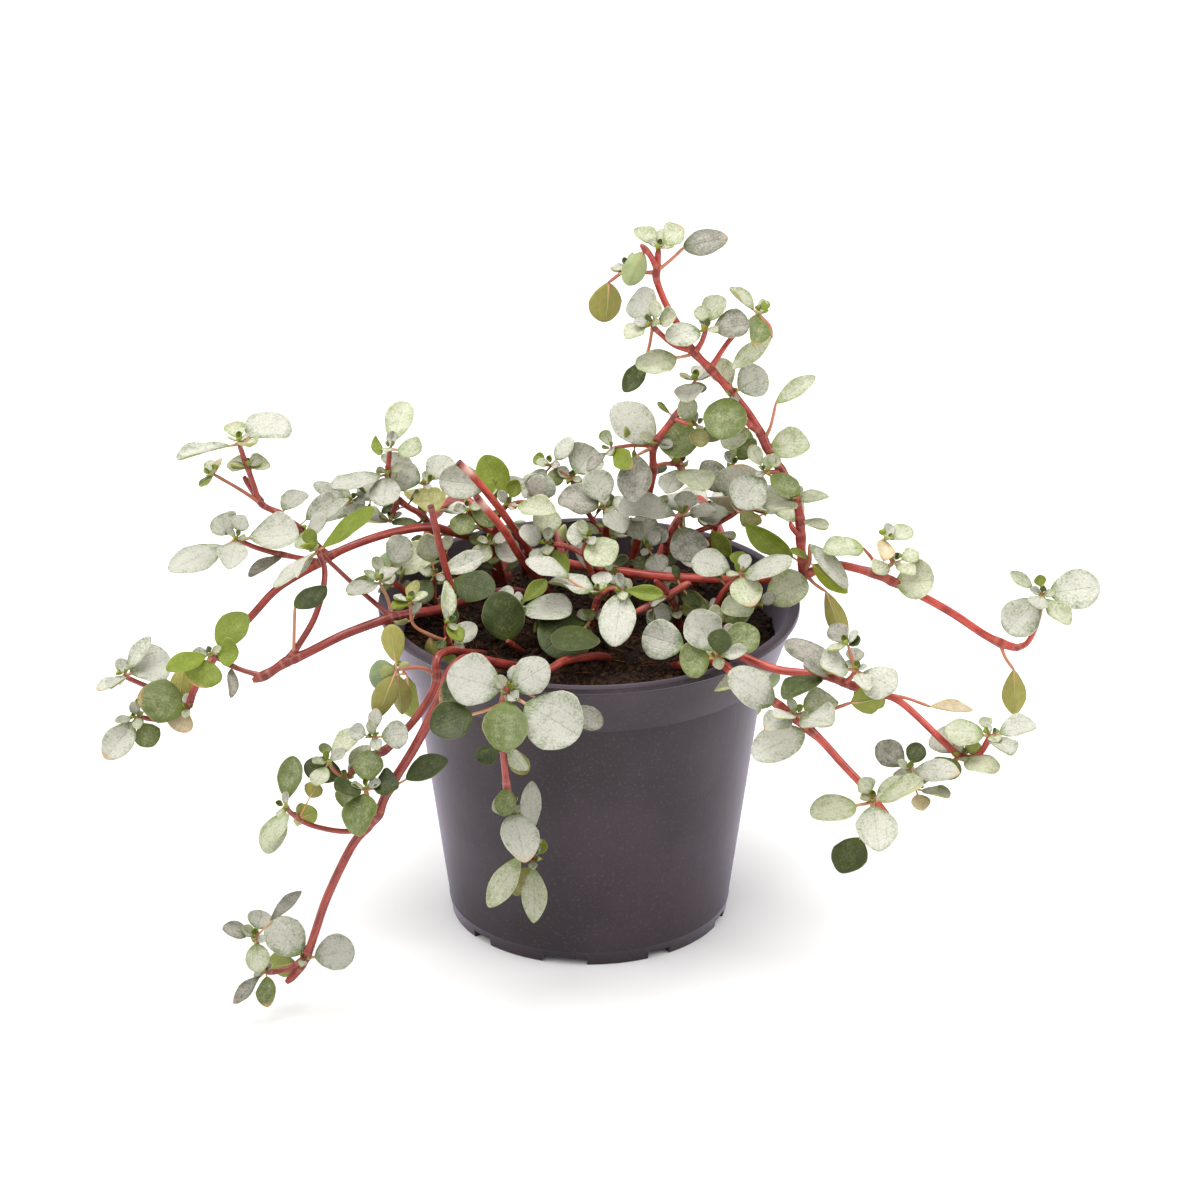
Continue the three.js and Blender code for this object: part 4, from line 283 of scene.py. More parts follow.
leafy_stem("stem_front_left_short", [
  shoot(1.4, 1.1, [-15, -7.7, -7.7], [-17.5, -7.5, -13], [-19.8, -7.2, -19.2], [-21.6, -8.4, -23.4],
    [-21.8, -12, -24.5], [-24, -16, -26], [-27, -19.5, -27], [-29.2, -21.5, -28], [-31.4, -22.2, -28.5],
    [-33, -23.6, -29], [-34.2, -25.2, -29.4]),
  shoot(0.7, 0.6, [-21.8, -10.6, -24], [-24, -9.6, -26], [-27.3, -9.9, -27.4]),
  shoot(0.8, 0.7, [-29.4, -21.6, -28], [-30.4, -20.6, -29], [-30.6, -19.5, -29.6]),
  shoot(0.7, 0.6, [-34.2, -25.2, -29.4], [-35.8, -24.6, -30], [-37, -23.1, -30.4]),
], [
  sprig([-27.3, -9.9, -27.4], turned_away, [[97, 0.4, 5.6, 3.2], [-113, 0.5, 6.6, 3.4],
    [-86, 0.8, 7, 3]], "olive"),
  sprig([-30.6, -19.5, -29.6], facing, [[-8, 0.4, 4, 3.8], [165, 0.4, 2.6, 2.4], [85, 0.4, 3.2, 2]]),
  sprig([-34.2, -25.2, -29.4], facing, [[62, 0.8, 5, 2.8], [192, 0.8, 5.9, 3.4],
    [-78, 0.6, 3.6, 3.4]], "pale dark green"),
  sprig([-37, -23.1, -30.4], halfway, [[32, 0.8, 6.2, 3], [-104, 0.4, 2.8, 2.6],
    [110, 0.3, 2, 1.8]], "pale pale green"),
])

leafy_stem("stem_front", [
  shoot(1.5, 0.9, [2.6, -8.2, -9], [0.6, -8, -12], [-3.2, -8.6, -18], [-5.4, -9.8, -23.5],
    [-7.6, -10.8, -28.6], [-9.6, -11.6, -31.4], [-11.5, -12.8, -33], [-12.2, -15.5, -33.8],
    [-12.2, -20, -33.8], [-11.8, -24.8, -33.4], [-11.3, -28.5, -33], [-10.3, -31.5, -32.8],
    [-8.6, -34.5, -32.6], [-7.9, -37.1, -32.6]),
], [
  sprig([-11.7, -13, -33], facing, [[165, 0.5, 7.8, 7.4], [-34, 3.2, 11.2, 8.2], [16, 0.8, 6.4, 5.4],
    [-92, 1.4, 7.4, 6.2]], "silver silver silver green"),
  sprig([-12, -14.6, -33.6], facing, [[202, 4.8, 10.4, 5.2]], "dark"),
  sprig([-10.6, -12.4, -32.2], facing, [[183, 5.6, 10.6, 5], [-22, 8.6, 13.2, 3.2]], "dark mauve"),
  sprig([-12.2, -20.2, -33.8], drooping, [[215, 0.5, 3.6, 2.8], [-62, 0.6, 5, 2.6],
    [-38, 0.6, 4.4, 2.4]], "dark olive pale"),
  sprig([-11.6, -26.4, -33.2], facing, [[-96, 0.4, 3.8, 3]], "green"),
  sprig([-11.1, -29.4, -33], halfway, [[190, 0.4, 2.6, 2.6], [-74, 1, 8.3, 5.2]]),
  sprig([-8.6, -34.5, -32.6], facing, [[86, 1.2, 8.6, 2.9], [-120, 2.4, 9.9, 3.5]], "silver pale"),
  sprig([-7.9, -37.1, -32.6], facing, [[-88, 0.4, 7.2, 3.6], [-126, 0.5, 4.8, 3],
    [60, 0.3, 2.4, 2]], "pale olive lime"),
])

leafy_stem("stem_right_upper", [
  shoot(1.5, 1, [14, -8.2, -9], [17, -7.4, -14], [19.3, -7.2, -18.4], [21.2, -7.7, -22],
    [23.8, -8.9, -23.8], [27.3, -10, -25], [31, -10.4, -25.5], [34, -10.8, -26], [37.5, -12.2, -26.3],
    [42, -13.4, -26.5], [45, -15, -26.8], [50.3, -20, -27], [53, -22.3, -27.2], [55.4, -22, -27.6],
    [57.2, -19.3, -28]),
  shoot(0.8, 0.7, [36.4, -11.8, -26.2], [37.3, -11, -27.4], [38, -10, -28.2]),
  shoot(0.6, 0.5, [38, -10, -28.2], [37.4, -8.2, -27.6], [36.9, -6.5, -27.4]),
  shoot(0.6, 0.5, [41.6, -13.3, -26.5], [45, -13.9, -25.4], [48.4, -15.1, -25.2]),
  shoot(0.7, 0.6, [53, -22.3, -27.2], [49.6, -23.8, -28.2], [45.6, -24.2, -28.8]),
  shoot(0.7, 0.6, [47.6, -24.2, -28.6], [47.1, -25.6, -29.2], [46.5, -26.8, -29.4]),
], [
  sprig([16.6, -7.5, -13.4], facing, [[179, 3.4, 9.2, 5.4]]),
  sprig([33.2, -10.6, -25.9], skyward, [[152, 1, 6.8, 5.4], [190, 0.6, 5.8, 4]], "mauve dark"),
  sprig([34.4, -10.9, -26], halfway, [[205, 0.6, 4, 2.6]], "mauve"),
  sprig([38, -10, -28.2], halfway, [[183, 0.5, 4.3, 4.6], [-30, 0.5, 5, 4.8], [115, 0.3, 2.4, 2.6],
    [-70, 0.3, 2.4, 2.6]]),
  sprig([36.9, -6.5, -27.4], leaning_left, [[148, 0.2, 4.2, 3], [30, 0.2, 2, 2]], "mauve dark"),
  sprig([37.4, -12.2, -26.3], turned_away, [[-40, 0.8, 5.2, 4]], "green"),
  sprig([48.4, -15.1, -25.2], leaning_right, [[-10, 0.3, 6.6, 2.2]], "tan"),
  sprig([57.2, -19.3, -28], halfway, [[166, 0.6, 5.9, 4], [11, 1.4, 6.5, 3.4], [-58, 0.4, 3, 3.6],
    [120, 0.3, 2, 2]], "pale silver silver pale"),
  sprig([53, -22.4, -27.4], halfway, [[138, 0.6, 4.6, 4.6], [-152, 0.6, 4, 3.8], [-24, 0.6, 4.4, 4],
    [30, 0.4, 2.6, 2.4]], "silver green pale lime"),
  sprig([45.6, -24.2, -28.8], facing, [[142, 0.6, 5.2, 4], [30, 0.5, 3.4, 2.8],
    [-22, 0.8, 5.6, 3.6]], "mauve dark silver"),
  sprig([46.5, -26.8, -29.4], skyward, [[-18, 0.4, 3.9, 2.6], [-62, 0.4, 2.4, 2.6],
    [150, 0.3, 2.8, 3]], "silver tan silver"),
])

leafy_stem("stem_right_lower", [
  shoot(1.5, 1.2, [12, -9.4, -12], [15.5, -8.9, -18.5], [18.2, -8.6, -23.8], [20.5, -10.3, -27.4],
    [23.5, -12.2, -29], [27.3, -15.2, -30.5], [32.5, -19.4, -31.5], [36, -23.2, -32], [39.7, -27.2, -32.3],
    [43, -31.4, -32.5]),
  shoot(0.8, 0.7, [28.2, -15.9, -30.6], [29, -16.3, -31.8], [29.6, -16.3, -32.6]),
  shoot(0.7, 0.55, [29.3, -16.9, -30.8], [33.5, -15.9, -29.9], [37.3, -14.6, -29.5]),
  shoot(0.8, 0.7, [39.9, -27.4, -32.3], [40.3, -28, -33.6], [40.4, -28.6, -34.2]),
  shoot(0.6, 0.5, [40.4, -28.6, -34.2], [39.9, -31.4, -31.8], [38.7, -33.8, -31.4]),
], [
  sprig([22.6, -11.6, -28.6], skyward, [[150, 0.6, 4.4, 3.4], [30, 0.5, 3, 3]], "pale"),
  sprig([27.4, -15.2, -30.5], facing, [[158, 1.4, 8.4, 5.2]]),
  sprig([29.6, -16.3, -32.6], halfway, [[40, 1.4, 6, 3.8], [184, 0.6, 4.2, 3.6], [-32, 0.5, 4.4, 4.6],
    [-140, 0.3, 2.8, 2.6]], "pale silver"),
  sprig([31.3, -18.4, -31.2], facing, [[195, 0.9, 8.4, 5]]),
  sprig([37.3, -14.6, -29.5], turned_away, [[8, 0.1, 4.2, 4]], "green"),
  sprig([40.4, -28.6, -34.2], halfway, [[196, 2.6, 8.6, 4.6], [-98, 0.6, 5.8, 5.8], [-6, 0.6, 6.6, 4.2],
    [28, 0.6, 5.2, 2.6], [140, 0.4, 2.8, 2.6]], "pale silver pale"),
  sprig([38.7, -33.8, -31.4], facing, [[-122, 0.2, 5.4, 5]], "dark"),
])

leafy_stem("shoot_front_right", [
  shoot(1.2, 0.9, [19, -6.6, -5], [18.2, -4.6, -11], [17.6, -4.4, -18], [17.8, -6, -23],
    [18.2, -8.1, -26.4]),
], [
  sprig([18.2, -8.1, -26.4], facing, [[190, 0.5, 4.4, 4.8], [33, 1.6, 6.8, 4.6], [124, 0.9, 6.8, 5.4],
    [-12, 0.5, 3.6, 2.2], [66, 0.4, 3.4, 3.4]], "green green silver silver dark"),
])

leafy_stem("shoot_front_middle", [
  shoot(1.3, 1.1, [12.8, -3.6, 2.4], [12.2, -1, 1.2], [10.8, 1.3, 0.2], [9.4, 2.8, -0.6]),
  shoot(1.2, 1.2, [11.3, 0.6, 0.6], [12.8, 1.6, -0.6], [14.3, 2.5, -1.4]),
  shoot(1.2, 1.2, [10.9, 0.8, 0.6], [9, -0.6, -0.8], [6.4, -1.9, -1.6]),
], [
  sprig([12.3, -1.4, 1.4], facing, [[198, 0.4, 4.2, 3.2], [2, 0.8, 5, 3.2]], "silver olive"),
])

leafy_stem("shoot_right", [
  shoot(1.3, 0.9, [18, -5.4, -2], [17.9, -2, -3.4], [19, 1, -4.8], [21.4, 3.8, -5.2]),
  shoot(0.9, 0.8, [18, -3.6, -2.8], [21, -2.3, -4], [24.2, -0.6, -4.6]),
], [
  sprig([21.4, 3.8, -5.2], halfway, [[168, 1.6, 7, 4], [-74, 0.5, 4.2, 4.4], [18, 1, 6.8, 4.8],
    [95, 0.3, 2.4, 2.4]], "silver pale silver lime"),
  sprig([24.2, -0.6, -4.6], facing, [[176, 0.8, 5.4, 4], [0, 1.4, 7.6, 5.2],
    [204, 0.8, 5.2, 3.6]], "green pale"),
  sprig([18, -2, -3.4], facing_left, [[148, 0.4, 6, 2.4], [208, 0.6, 4.4, 3]], "green"),
])

leafy_stem("shoot_tall_middle", [
  shoot(1.4, 1, [5.5, 1.1, 14], [6, 5, 13], [7, 9, 11.5], [7.6, 12.5, 10.6], [8.2, 14, 10.2],
    [9.1, 18, 9.4], [9.3, 22, 8.8], [12.2, 26, 8.4], [13.9, 28.5, 8.2], [15.1, 31, 8]),
  shoot(0.6, 0.5, [9.2, 21.7, 8.8], [8, 21.2, 8], [6.9, 20.6, 7.6]),
  shoot(0.8, 0.7, [12.1, 25.9, 8.4], [13.6, 25.2, 7], [15.3, 24.9, 6.2]),
  shoot(0.7, 0.6, [9.2, 21.9, 8.8], [6.4, 22, 9.6], [3.2, 21.6, 10.2]),
  shoot(0.7, 0.6, [9.1, 18.8, 9.2], [10.8, 19.4, 9.6], [12.7, 19.2, 9.8]),
  shoot(1.1, 1.1, [12.2, 21, 10], [12.7, 19.6, 9.8], [13.9, 16.5, 9.2]),
], [
  sprig([15.1, 31, 8], skyward, [[60, 0.4, 3.2, 2.6], [-110, 0.5, 4, 4.2]]),
  sprig([9.4, 22.4, 8.7], facing, [[5, 0.4, 6, 5.8], [141, 0.8, 8.2, 6]], "green silver"),
  sprig([15.3, 24.9, 6.2], facing, [[128, 0.4, 3.4, 3.2], [-30, 0.4, 3.2, 3],
    [-82, 0.4, 2.6, 2.8]], "pale green olive"),
  sprig([6.9, 20.6, 7.6], facing, [[-96, 0.2, 6.4, 5]], "mauve"),
  sprig([3.2, 21.6, 10.2], facing_left, [[-20, 0.4, 3.8, 3], [225, 0.4, 4, 1.8],
    [110, 0.3, 2, 1.8]], "lime mauve lime"),
  sprig([13, 19.2, 9.8], skyward, [[-55, 1.2, 5.4, 4.8], [-120, 0.8, 4.4, 3.6]], "pale silver"),
])

leafy_stem("shoot_middle_right", [
  shoot(1.2, 0.9, [10.5, 0.8, 12], [10.8, 5, 9.5], [11.4, 9, 7], [13.2, 12, 5]),
  shoot(1, 0.8, [10.7, 4, 10], [8.8, 6, 7], [8.4, 7.4, 5.6]),
  shoot(0.9, 0.8, [11.2, 8, 7.6], [15, 9.6, 7], [18.5, 11, 7], [21.2, 12.6, 7]),
], [
  sprig([13.2, 12, 5], skyward, [[178, 1, 9, 5.4], [2, 0.4, 4.3, 5], [108, 1, 5.4, 6], [55, 0.4, 3, 3.4]]),
  sprig([12.6, 10.9, 5.7], facing, [[-66, 0.8, 5.8, 5.2]], "mauve"),
  sprig([8.4, 7.4, 5.6], facing, [[108, 0.4, 4.2, 4.6], [-60, 0.4, 3.2, 3.4], [30, 0.4, 3, 2.6]]),
  sprig([21.2, 12.6, 7], skyward, [[178, 0.4, 4.8, 5.4], [-104, 0.8, 5, 7], [62, 1.4, 6.8, 7.4],
    [10, 1.4, 5.2, 4.4]], "silver mauve silver silver"),
  sprig([17.2, 10.4, 7], drooping, [[-55, 1, 5.2, 2.6]], "lime"),
])

leafy_stem("shoot_back_right", [
  shoot(1.2, 0.9, [15, 2.1, 16.5], [16.6, 6, 15], [18, 10.4, 14], [19.6, 15, 13], [20.4, 19.2, 12.4]),
  shoot(0.8, 0.7, [18.8, 12.8, 13.5], [22, 13.2, 13], [25, 12.4, 12.4]),
], [
  sprig([20.4, 19.2, 12.4], facing, [[208, 0.8, 4.8, 5], [74, 1.4, 5.8, 4.2], [38, 1.2, 4.8, 2.4],
    [-104, 1, 5, 3.4]], "mauve green green silver"),
  sprig([25, 12.4, 12.4], halfway, [[8, 0.8, 5.4, 5.6], [200, 0.4, 3, 3],
    [70, 0.4, 3.4, 4]], "pale olive silver"),
])

leafy_stem("shoot_middle_back", [
  shoot(1.2, 0.9, [2.5, 2.9, 18.5], [2.4, 7, 15.5], [2.4, 10.5, 13], [2.3, 13, 11.5]),
  shoot(0.9, 0.7, [2.4, 9, 14], [-0.6, 13, 15.5], [-2.6, 17.2, 16.5]),
  shoot(0.7, 0.6, [-2.5, 17, 16.5], [-4.2, 18.4, 17], [-5.4, 19.2, 17.4]),
], [
  sprig([2.3, 13, 11.5], halfway, [[170, 0.8, 6.6, 4.6], [-64, 0.5, 3.6, 3.6], [118, 0.6, 5.4, 4.6],
    [10, 0.4, 3, 3.4]], "mauve silver"),
  sprig([-2.6, 17.2, 16.5], facing, [[52, 0.5, 5, 5.6], [-24, 0.5, 4.6, 4],
    [172, 0.3, 2.6, 2.4]], "silver silver green"),
  sprig([-5.4, 19.2, 17.4], facing_left, [[-98, 0.4, 5.4, 3.4], [35, 0.4, 4.2, 2.8],
    [160, 0.3, 2, 2]], "silver silver lime"),
])

leafy_stem("shoot_middle", [
  shoot(1.2, 0.9, [2.6, -1.8, 7], [3, 1.4, 4.6], [3.3, 3.7, 2.6]),
  shoot(0.9, 0.8, [2.8, 0.6, 5], [0.6, 3.4, 3], [-0.6, 6.6, 2.6], [-0.2, 9, 2.4]),
  shoot(0.9, 0.8, [-0.6, 6.4, 2.6], [-3, 7.6, 4], [-6, 8, 5.6]),
], [
  sprig([-0.2, 9, 2.4], facing, [[-52, 0.8, 5, 5], [172, 0.4, 3, 3.6]], "pale silver"),
  sprig([0.2, 8.8, 2.2], turned_away, [[2, 0.6, 6.4, 3.2]], "lime"),
  sprig([3.3, 3.7, 2.6], facing, [[112, 0.6, 3.8, 3.6], [-40, 0.4, 2.8, 2.8],
    [-110, 0.3, 2, 2.4]], "lime pale lime"),
  sprig([4.4, 2.6, 3.4], [0.4, -0.4, 0.8], [[40, 0.8, 6.2, 3]], "lime"),
  sprig([0.4, 3.4, 3], facing_right, [[112, 0.5, 5.6, 2.2]], "mauve"),
  sprig([-6, 8, 5.6], facing, [[-20, 0.5, 4.6, 2.6], [88, 0.4, 4.4, 4], [165, 0.5, 3.6, 3.2],
    [-120, 0.4, 3, 2.4]], "lime pale silver silver"),
])

leafy_stem("shoot_middle_front", [
  shoot(1.3, 1, [-0.6, -5.4, -2], [0.2, -3.2, -3.4], [1, -0.6, -4.6], [1.5, 1, -5]),
  shoot(0.8, 0.7, [-0.2, -4.2, -3], [-4, -3.6, -3], [-7.6, -2.2, -2.6], [-10, -1, -2.4]),
  shoot(0.8, 0.7, [1.2, 0.2, -4.8], [3, 1.6, -5.8], [4.7, 1.4, -6.6]),
], [
  sprig([4.7, 1.4, -6.6], facing, [[-98, 0.6, 7.8, 5.2], [-9, 0.8, 5.8, 2.2]], "silver lime"),
  sprig([1.5, 1, -5], skyward, [[172, 0.8, 7, 5], [150, 5, 11.4, 3.4], [60, 0.4, 2.8, 3]]),
  sprig([0.4, -2.4, -3.8], facing, [[222, 1.2, 8, 7.6], [-100, 2.6, 8.8, 6.8]], "dark"),
  sprig([-10, -1, -2.4], halfway, [[-20, 0.8, 6.8, 4.8], [40, 0.8, 5.4, 2.2], [-122, 0.6, 3.4, 3.4],
    [160, 0.5, 3, 3.6]], "silver lime silver silver"),
])

leafy_stem("shoot_left_back", [
  shoot(1.2, 0.8, [-17, 1.5, 15], [-20.8, 6.5, 13.6], [-23.4, 11.6, 13], [-26, 13.4, 12.4],
    [-28.3, 15.6, 12], [-28.6, 18.4, 12], [-28.3, 21.5, 12]),
  shoot(0.8, 0.7, [-28.3, 15.8, 12], [-31.2, 14.6, 11], [-33.8, 14, 10.4]),
  shoot(0.7, 0.6, [-23.4, 11.8, 13], [-23.2, 14.2, 14], [-23.1, 16.4, 14.6]),
  shoot(0.9, 0.8, [-27.2, 14.4, 12.2], [-27.8, 12.6, 11.2], [-28.3, 11.2, 10.6]),
], [
  sprig([-28.3, 21.5, 12], halfway, [[72, 1.4, 7.4, 4], [4, 0.4, 3.8, 3.8],
    [190, 0.3, 1.8, 2.8]], "pale pale lime"),
  sprig([-28.6, 18, 12], halfway, [[60, 0.3, 2.8, 4.6], [212, 1.2, 9.4, 3.8], [-96, 0.6, 4.4, 4.4]]),
  sprig([-23.1, 16.4, 14.6], halfway, [[190, 0.6, 5.4, 4.4], [48, 0.6, 5, 4.2],
    [-80, 0.6, 4, 4.6]], "silver silver olive"),
  sprig([-33.8, 14, 10.4], halfway, [[20, 0.8, 4.4, 3.6], [-140, 0.6, 4.6, 3.8], [205, 0.4, 5, 2.4],
    [-70, 0.5, 3.6, 4]]),
  sprig([-28.3, 11.2, 10.6], skyward, [[176, 0.4, 5, 4], [2, 0.4, 3.8, 3.4]], "silver green"),
])

leafy_stem("shoot_left_middle", [
  shoot(1.2, 0.9, [-12, 1.9, 16], [-13, 5.5, 14.4], [-13.4, 9, 13.4], [-13, 12, 12.8], [-11.6, 13.6, 12.4]),
  shoot(0.8, 0.7, [-13.4, 9, 13.4], [-16.6, 11.8, 11.4], [-17.2, 13, 10.6]),
  shoot(0.8, 0.7, [-12.8, 12.3, 12.8], [-13.4, 14.4, 13.8], [-14, 16.2, 14.2]),
  shoot(0.7, 0.6, [-11.8, 13.4, 12.4], [-9.6, 14, 12.6], [-8, 13.6, 12.8]),
  shoot(0.7, 0.6, [-13.4, 7.6, 13.8], [-14.2, 8.2, 10.4], [-14, 8.2, 7.6]),
], [
  sprig([-11.6, 13.6, 12.4], facing, [[121, 0.8, 7.4, 4.6], [-33, 1.6, 8.8, 3.6],
    [60, 0.4, 3, 2.4]], "lime pale lime"),
  sprig([-14, 16.2, 14.2], facing, [[188, 0.8, 7.4, 4.8], [3, 0.8, 5, 1.8]]),
  sprig([-17.2, 13, 10.6], facing, [[252, 0.8, 3.8, 3.6], [-42, 0.8, 4.6, 2.4]], "green"),
  sprig([-8, 13.6, 12.8], facing, [[98, 0.6, 4, 4.6], [-30, 0.8, 4.4, 3.4],
    [38, 0.5, 3.6, 3.2]], "silver lime silver"),
  sprig([-14, 8.2, 7.6], facing, [[2, 0.8, 5.6, 4.2], [236, 0.5, 3.4, 3]], "silver pale"),
])

leafy_stem("shoot_left", [
  shoot(1.2, 0.9, [-20, -2.4, 5], [-23.6, -0.6, 3.4], [-26.8, 1.8, 2.4], [-29, 3.8, 2]),
  shoot(0.8, 0.7, [-21.4, -1.8, 4.4], [-22, 0.6, 2.6], [-21.9, 3.5, 1]),
], [
  sprig([-29, 3.8, 2], facing, [[11, 0.6, 7.6, 4.6], [204, 0.6, 5, 2],
    [62, 1.8, 6, 4.2]], "pale green silver"),
  sprig([-21.9, 3.5, 1], facing, [[20, 0.8, 7.2, 3.2], [-102, 0.8, 4.6, 3.6], [108, 2, 5.8, 3.8],
    [-36, 3, 8.8, 5]], "silver dark pale dark"),
])

leafy_stem("shoot_front_left", [
  shoot(1.1, 0.8, [-18.6, -8.2, -9], [-19.6, -6.8, -11], [-20.2, -5, -12.6], [-20.2, -3.2, -13.4]),
  shoot(0.6, 0.5, [-19.8, -6, -11.8], [-22.6, -5, -12.2], [-25, -3.4, -12], [-25.4, -0.4, -11.6]),
], [
  sprig([-20.2, -3.2, -13.4], facing_right, [[92, 0.4, 6, 2.4], [-80, 0.4, 3.4, 2.4]], "pale lime"),
  sprig([-19.6, -6.8, -11], facing, [[-56, 0.8, 4.4, 3.2], [22, 1, 4.8, 3.2]], "lime silver"),
  sprig([-22.6, -5, -12.2], turned_away, [[-82, 0.4, 4.6, 2.6]], "olive"),
  sprig([-25.4, -0.4, -11.6], skyward, [[80, 0.3, 3.6, 2], [200, 0.3, 2.4, 2]], "olive lime"),
])

leafy_stem("shoot_front_low", [
  shoot(1.1, 0.9, [-9.5, -7.4, -7], [-10.6, -6.6, -9], [-11.6, -5.8, -10.4]),
], [
  sprig([-11.8, -8.6, -12], facing, [[104, 0.4, 7, 6]], "dark"),
])

# Behind the pot, where no stem is seen from the front, a few more hang over the rim
leafy_stem("stem_back_left", [
  shoot(1.5, 1.1, [-11.5, 3.4, 19.6], [-13, 8, 22.4], [-16, 13, 25.6], [-18.8, 14.6, 28.2],
    [-21.4, 12.6, 31.2], [-23, 9.8, 34], [-24.6, 3.6, 36.4], [-25.6, -3.4, 38], [-26, -10.4, 38.6]),
], [
  sprig([-21.4, 12.6, 31.2], skyward, [[150, 0.6, 6, 5], [20, 0.6, 5.2, 4.6]], "olive silver"),
  sprig([-24.6, 3.6, 36.4], turned_away, [[170, 0.6, 5.8, 5.2], [-10, 0.6, 6.2, 5.4],
    [-80, 0.6, 4.6, 4.4]], "silver silver dark"),
  sprig([-26, -10.4, 38.6], turned_away, [[10, 0.5, 5.4, 5], [190, 0.5, 5, 4.6], [-85, 0.5, 5.6, 5],
    [95, 0.5, 4.2, 3.6]], "silver silver green lime"),
])

leafy_stem("stem_back_middle", [
  shoot(1.5, 1, [-3.5, 3.6, 20], [-4.4, 9.2, 24.4], [-5.4, 13, 29], [-5.8, 12.6, 32.6], [-6, 8, 36],
    [-5.6, 0.4, 38.6], [-4.6, -7.6, 40], [-3.4, -15.4, 40.6], [-3, -21.4, 40.4]),
], [
  sprig([-6, 8, 36], turned_away, [[175, 0.6, 6.2, 5.4], [5, 0.6, 5.8, 5],
    [95, 0.5, 4.4, 4]], "silver silver lime"),
  sprig([-4.6, -7.6, 40], turned_away, [[160, 0.6, 6, 5.2], [-20, 0.6, 6.4, 5.6],
    [-95, 0.5, 4.6, 4.4]], "silver mauve silver"),
  sprig([-3, -21.4, 40.4], turned_away, [[20, 0.5, 5, 4.6], [200, 0.5, 5.4, 5], [-70, 0.5, 5, 4.6],
    [110, 0.5, 3.8, 3.4]], "silver silver green lime"),
])

leafy_stem("stem_back_right", [
  shoot(1.5, 1.1, [9, 3.5, 20], [11, 8.5, 22.6], [13.4, 12.6, 25.6], [15.4, 14.4, 28.6], [17, 12.8, 31.4],
    [18.8, 9.4, 34.6], [20.4, 2.8, 37], [21.4, -4.6, 38.4], [21.6, -12.2, 39]),
], [
  sprig([17, 12.8, 31.4], skyward, [[160, 0.6, 5.4, 4.8], [15, 0.6, 5.8, 5.2]]),
  sprig([20.4, 2.8, 37], turned_away, [[175, 0.6, 6.2, 5.4], [-5, 0.6, 5.8, 5.2],
    [90, 0.6, 4.4, 4.2]], "silver pale silver"),
  sprig([21.6, -12.2, 39], turned_away, [[15, 0.5, 5.4, 5], [195, 0.5, 5.2, 4.8], [-80, 0.5, 5.6, 5],
    [100, 0.5, 4, 3.6]], "silver silver green lime"),
])

# Stems that were cut stand bare among the leaves
bare_stems = [
  shoot(1.2, 1.1, [-18.5, -6.4, -4.3], [-18.8, -4, -4.6], [-19.3, -1, -5], [-19.8, 2.5, -5.4],
    [-20.8, 6, -5.8], [-21.7, 10, -6.2], [-22.5, 13.4, -6.4]),
  shoot(1.4, 1.2, [-5, -0.1, 11], [-7.5, 3.3, 8.4], [-10, 6.5, 5], [-12, 9.8, 2], [-14.8, 13.2, -1],
    [-16, 14.7, -2]),
  shoot(1.3, 1.2, [-6.3, 0.7, 13], [-8, 6, 11.6], [-12, 12, 9], [-15.8, 16.8, 7.6], [-18.6, 19.6, 7.2]),
]
print("leafy stems:", len(plant), " leaves:", sum(len(s["blades"]) for n in plant for s in n["sprigs"]))

# %% [markdown]
# ## The courses of the stems
#
# A stem passes smoothly through its places. A spline that goes through all its points does that, and a
# branch starts at the nearest point of the shoot that carries it. The line is worked out twice: in coarse
# steps, as the solids of the frame have it, to keep the leaves clear of it, and in fine ones to look at.

# %% Smooth lines through places
STEM_STEP, FINE_STEP = 8, 0.7
ROOT_DEPTH, ROOT_TAPER = 4.5, 0.9


def lengths(vectors):
    return np.linalg.norm(vectors, axis=-1)


def on_curve(points, share):
    """The point of a Catmull-Rom curve at a share of its parameter."""
    last = len(points) - 1
    place = last * share
    span = min(int(math.floor(place)), last - 1)
    t = place - span
    p1, p2 = points[span], points[span + 1]
    p0 = points[span - 1] if span > 0 else 2 * points[0] - points[1]
    p3 = points[span + 2] if span + 2 <= last else 2 * points[last] - points[last - 1]
    t0, t1 = 0.5 * (p2 - p0), 0.5 * (p3 - p1)
    c2 = -3 * p1 + 3 * p2 - 2 * t0 - t1
    c3 = 2 * p1 - 2 * p2 + t0 + t1
    return p1 + t0 * t + c2 * t * t + c3 * t * t * t


def course(branch, step):
    """Points and radii along a shoot, in steps of at most this length."""
    points = branch["points"]
    spans = len(points) - 1
    shares = []
    for span in range(spans):
        length = np.linalg.norm(points[span + 1] - points[span])
        steps = max(1, math.ceil(length / step))
        shares += [(span + k / steps) / spans for k in range(steps)]
    shares.append(1.0)
    places = np.array([on_curve(points, share) for share in shares])
    radii = np.array([(branch["thick"] + (branch["thin"] - branch["thick"]) * share) / 2 for share in shares])
    return places, radii


def rooted(line):
    """The stem goes on straight down into the peat."""
    places, radii = line
    tip = places[0] - [0, 0, ROOT_DEPTH]
    return np.vstack([tip, places]), np.concatenate([[radii[0] * ROOT_TAPER], radii])


def nearest_on(lines, place):
    best, least = place, math.inf
    for places, _ in lines:
        for start, end in zip(places, places[1:]):
            delta = end - start
            share = min(1.0, max(0.0, (place - start) @ delta / (delta @ delta)))
            spot = start + delta * share
            gap = np.linalg.norm(spot - place)
            if gap < least:
                best, least = spot, gap
    return best


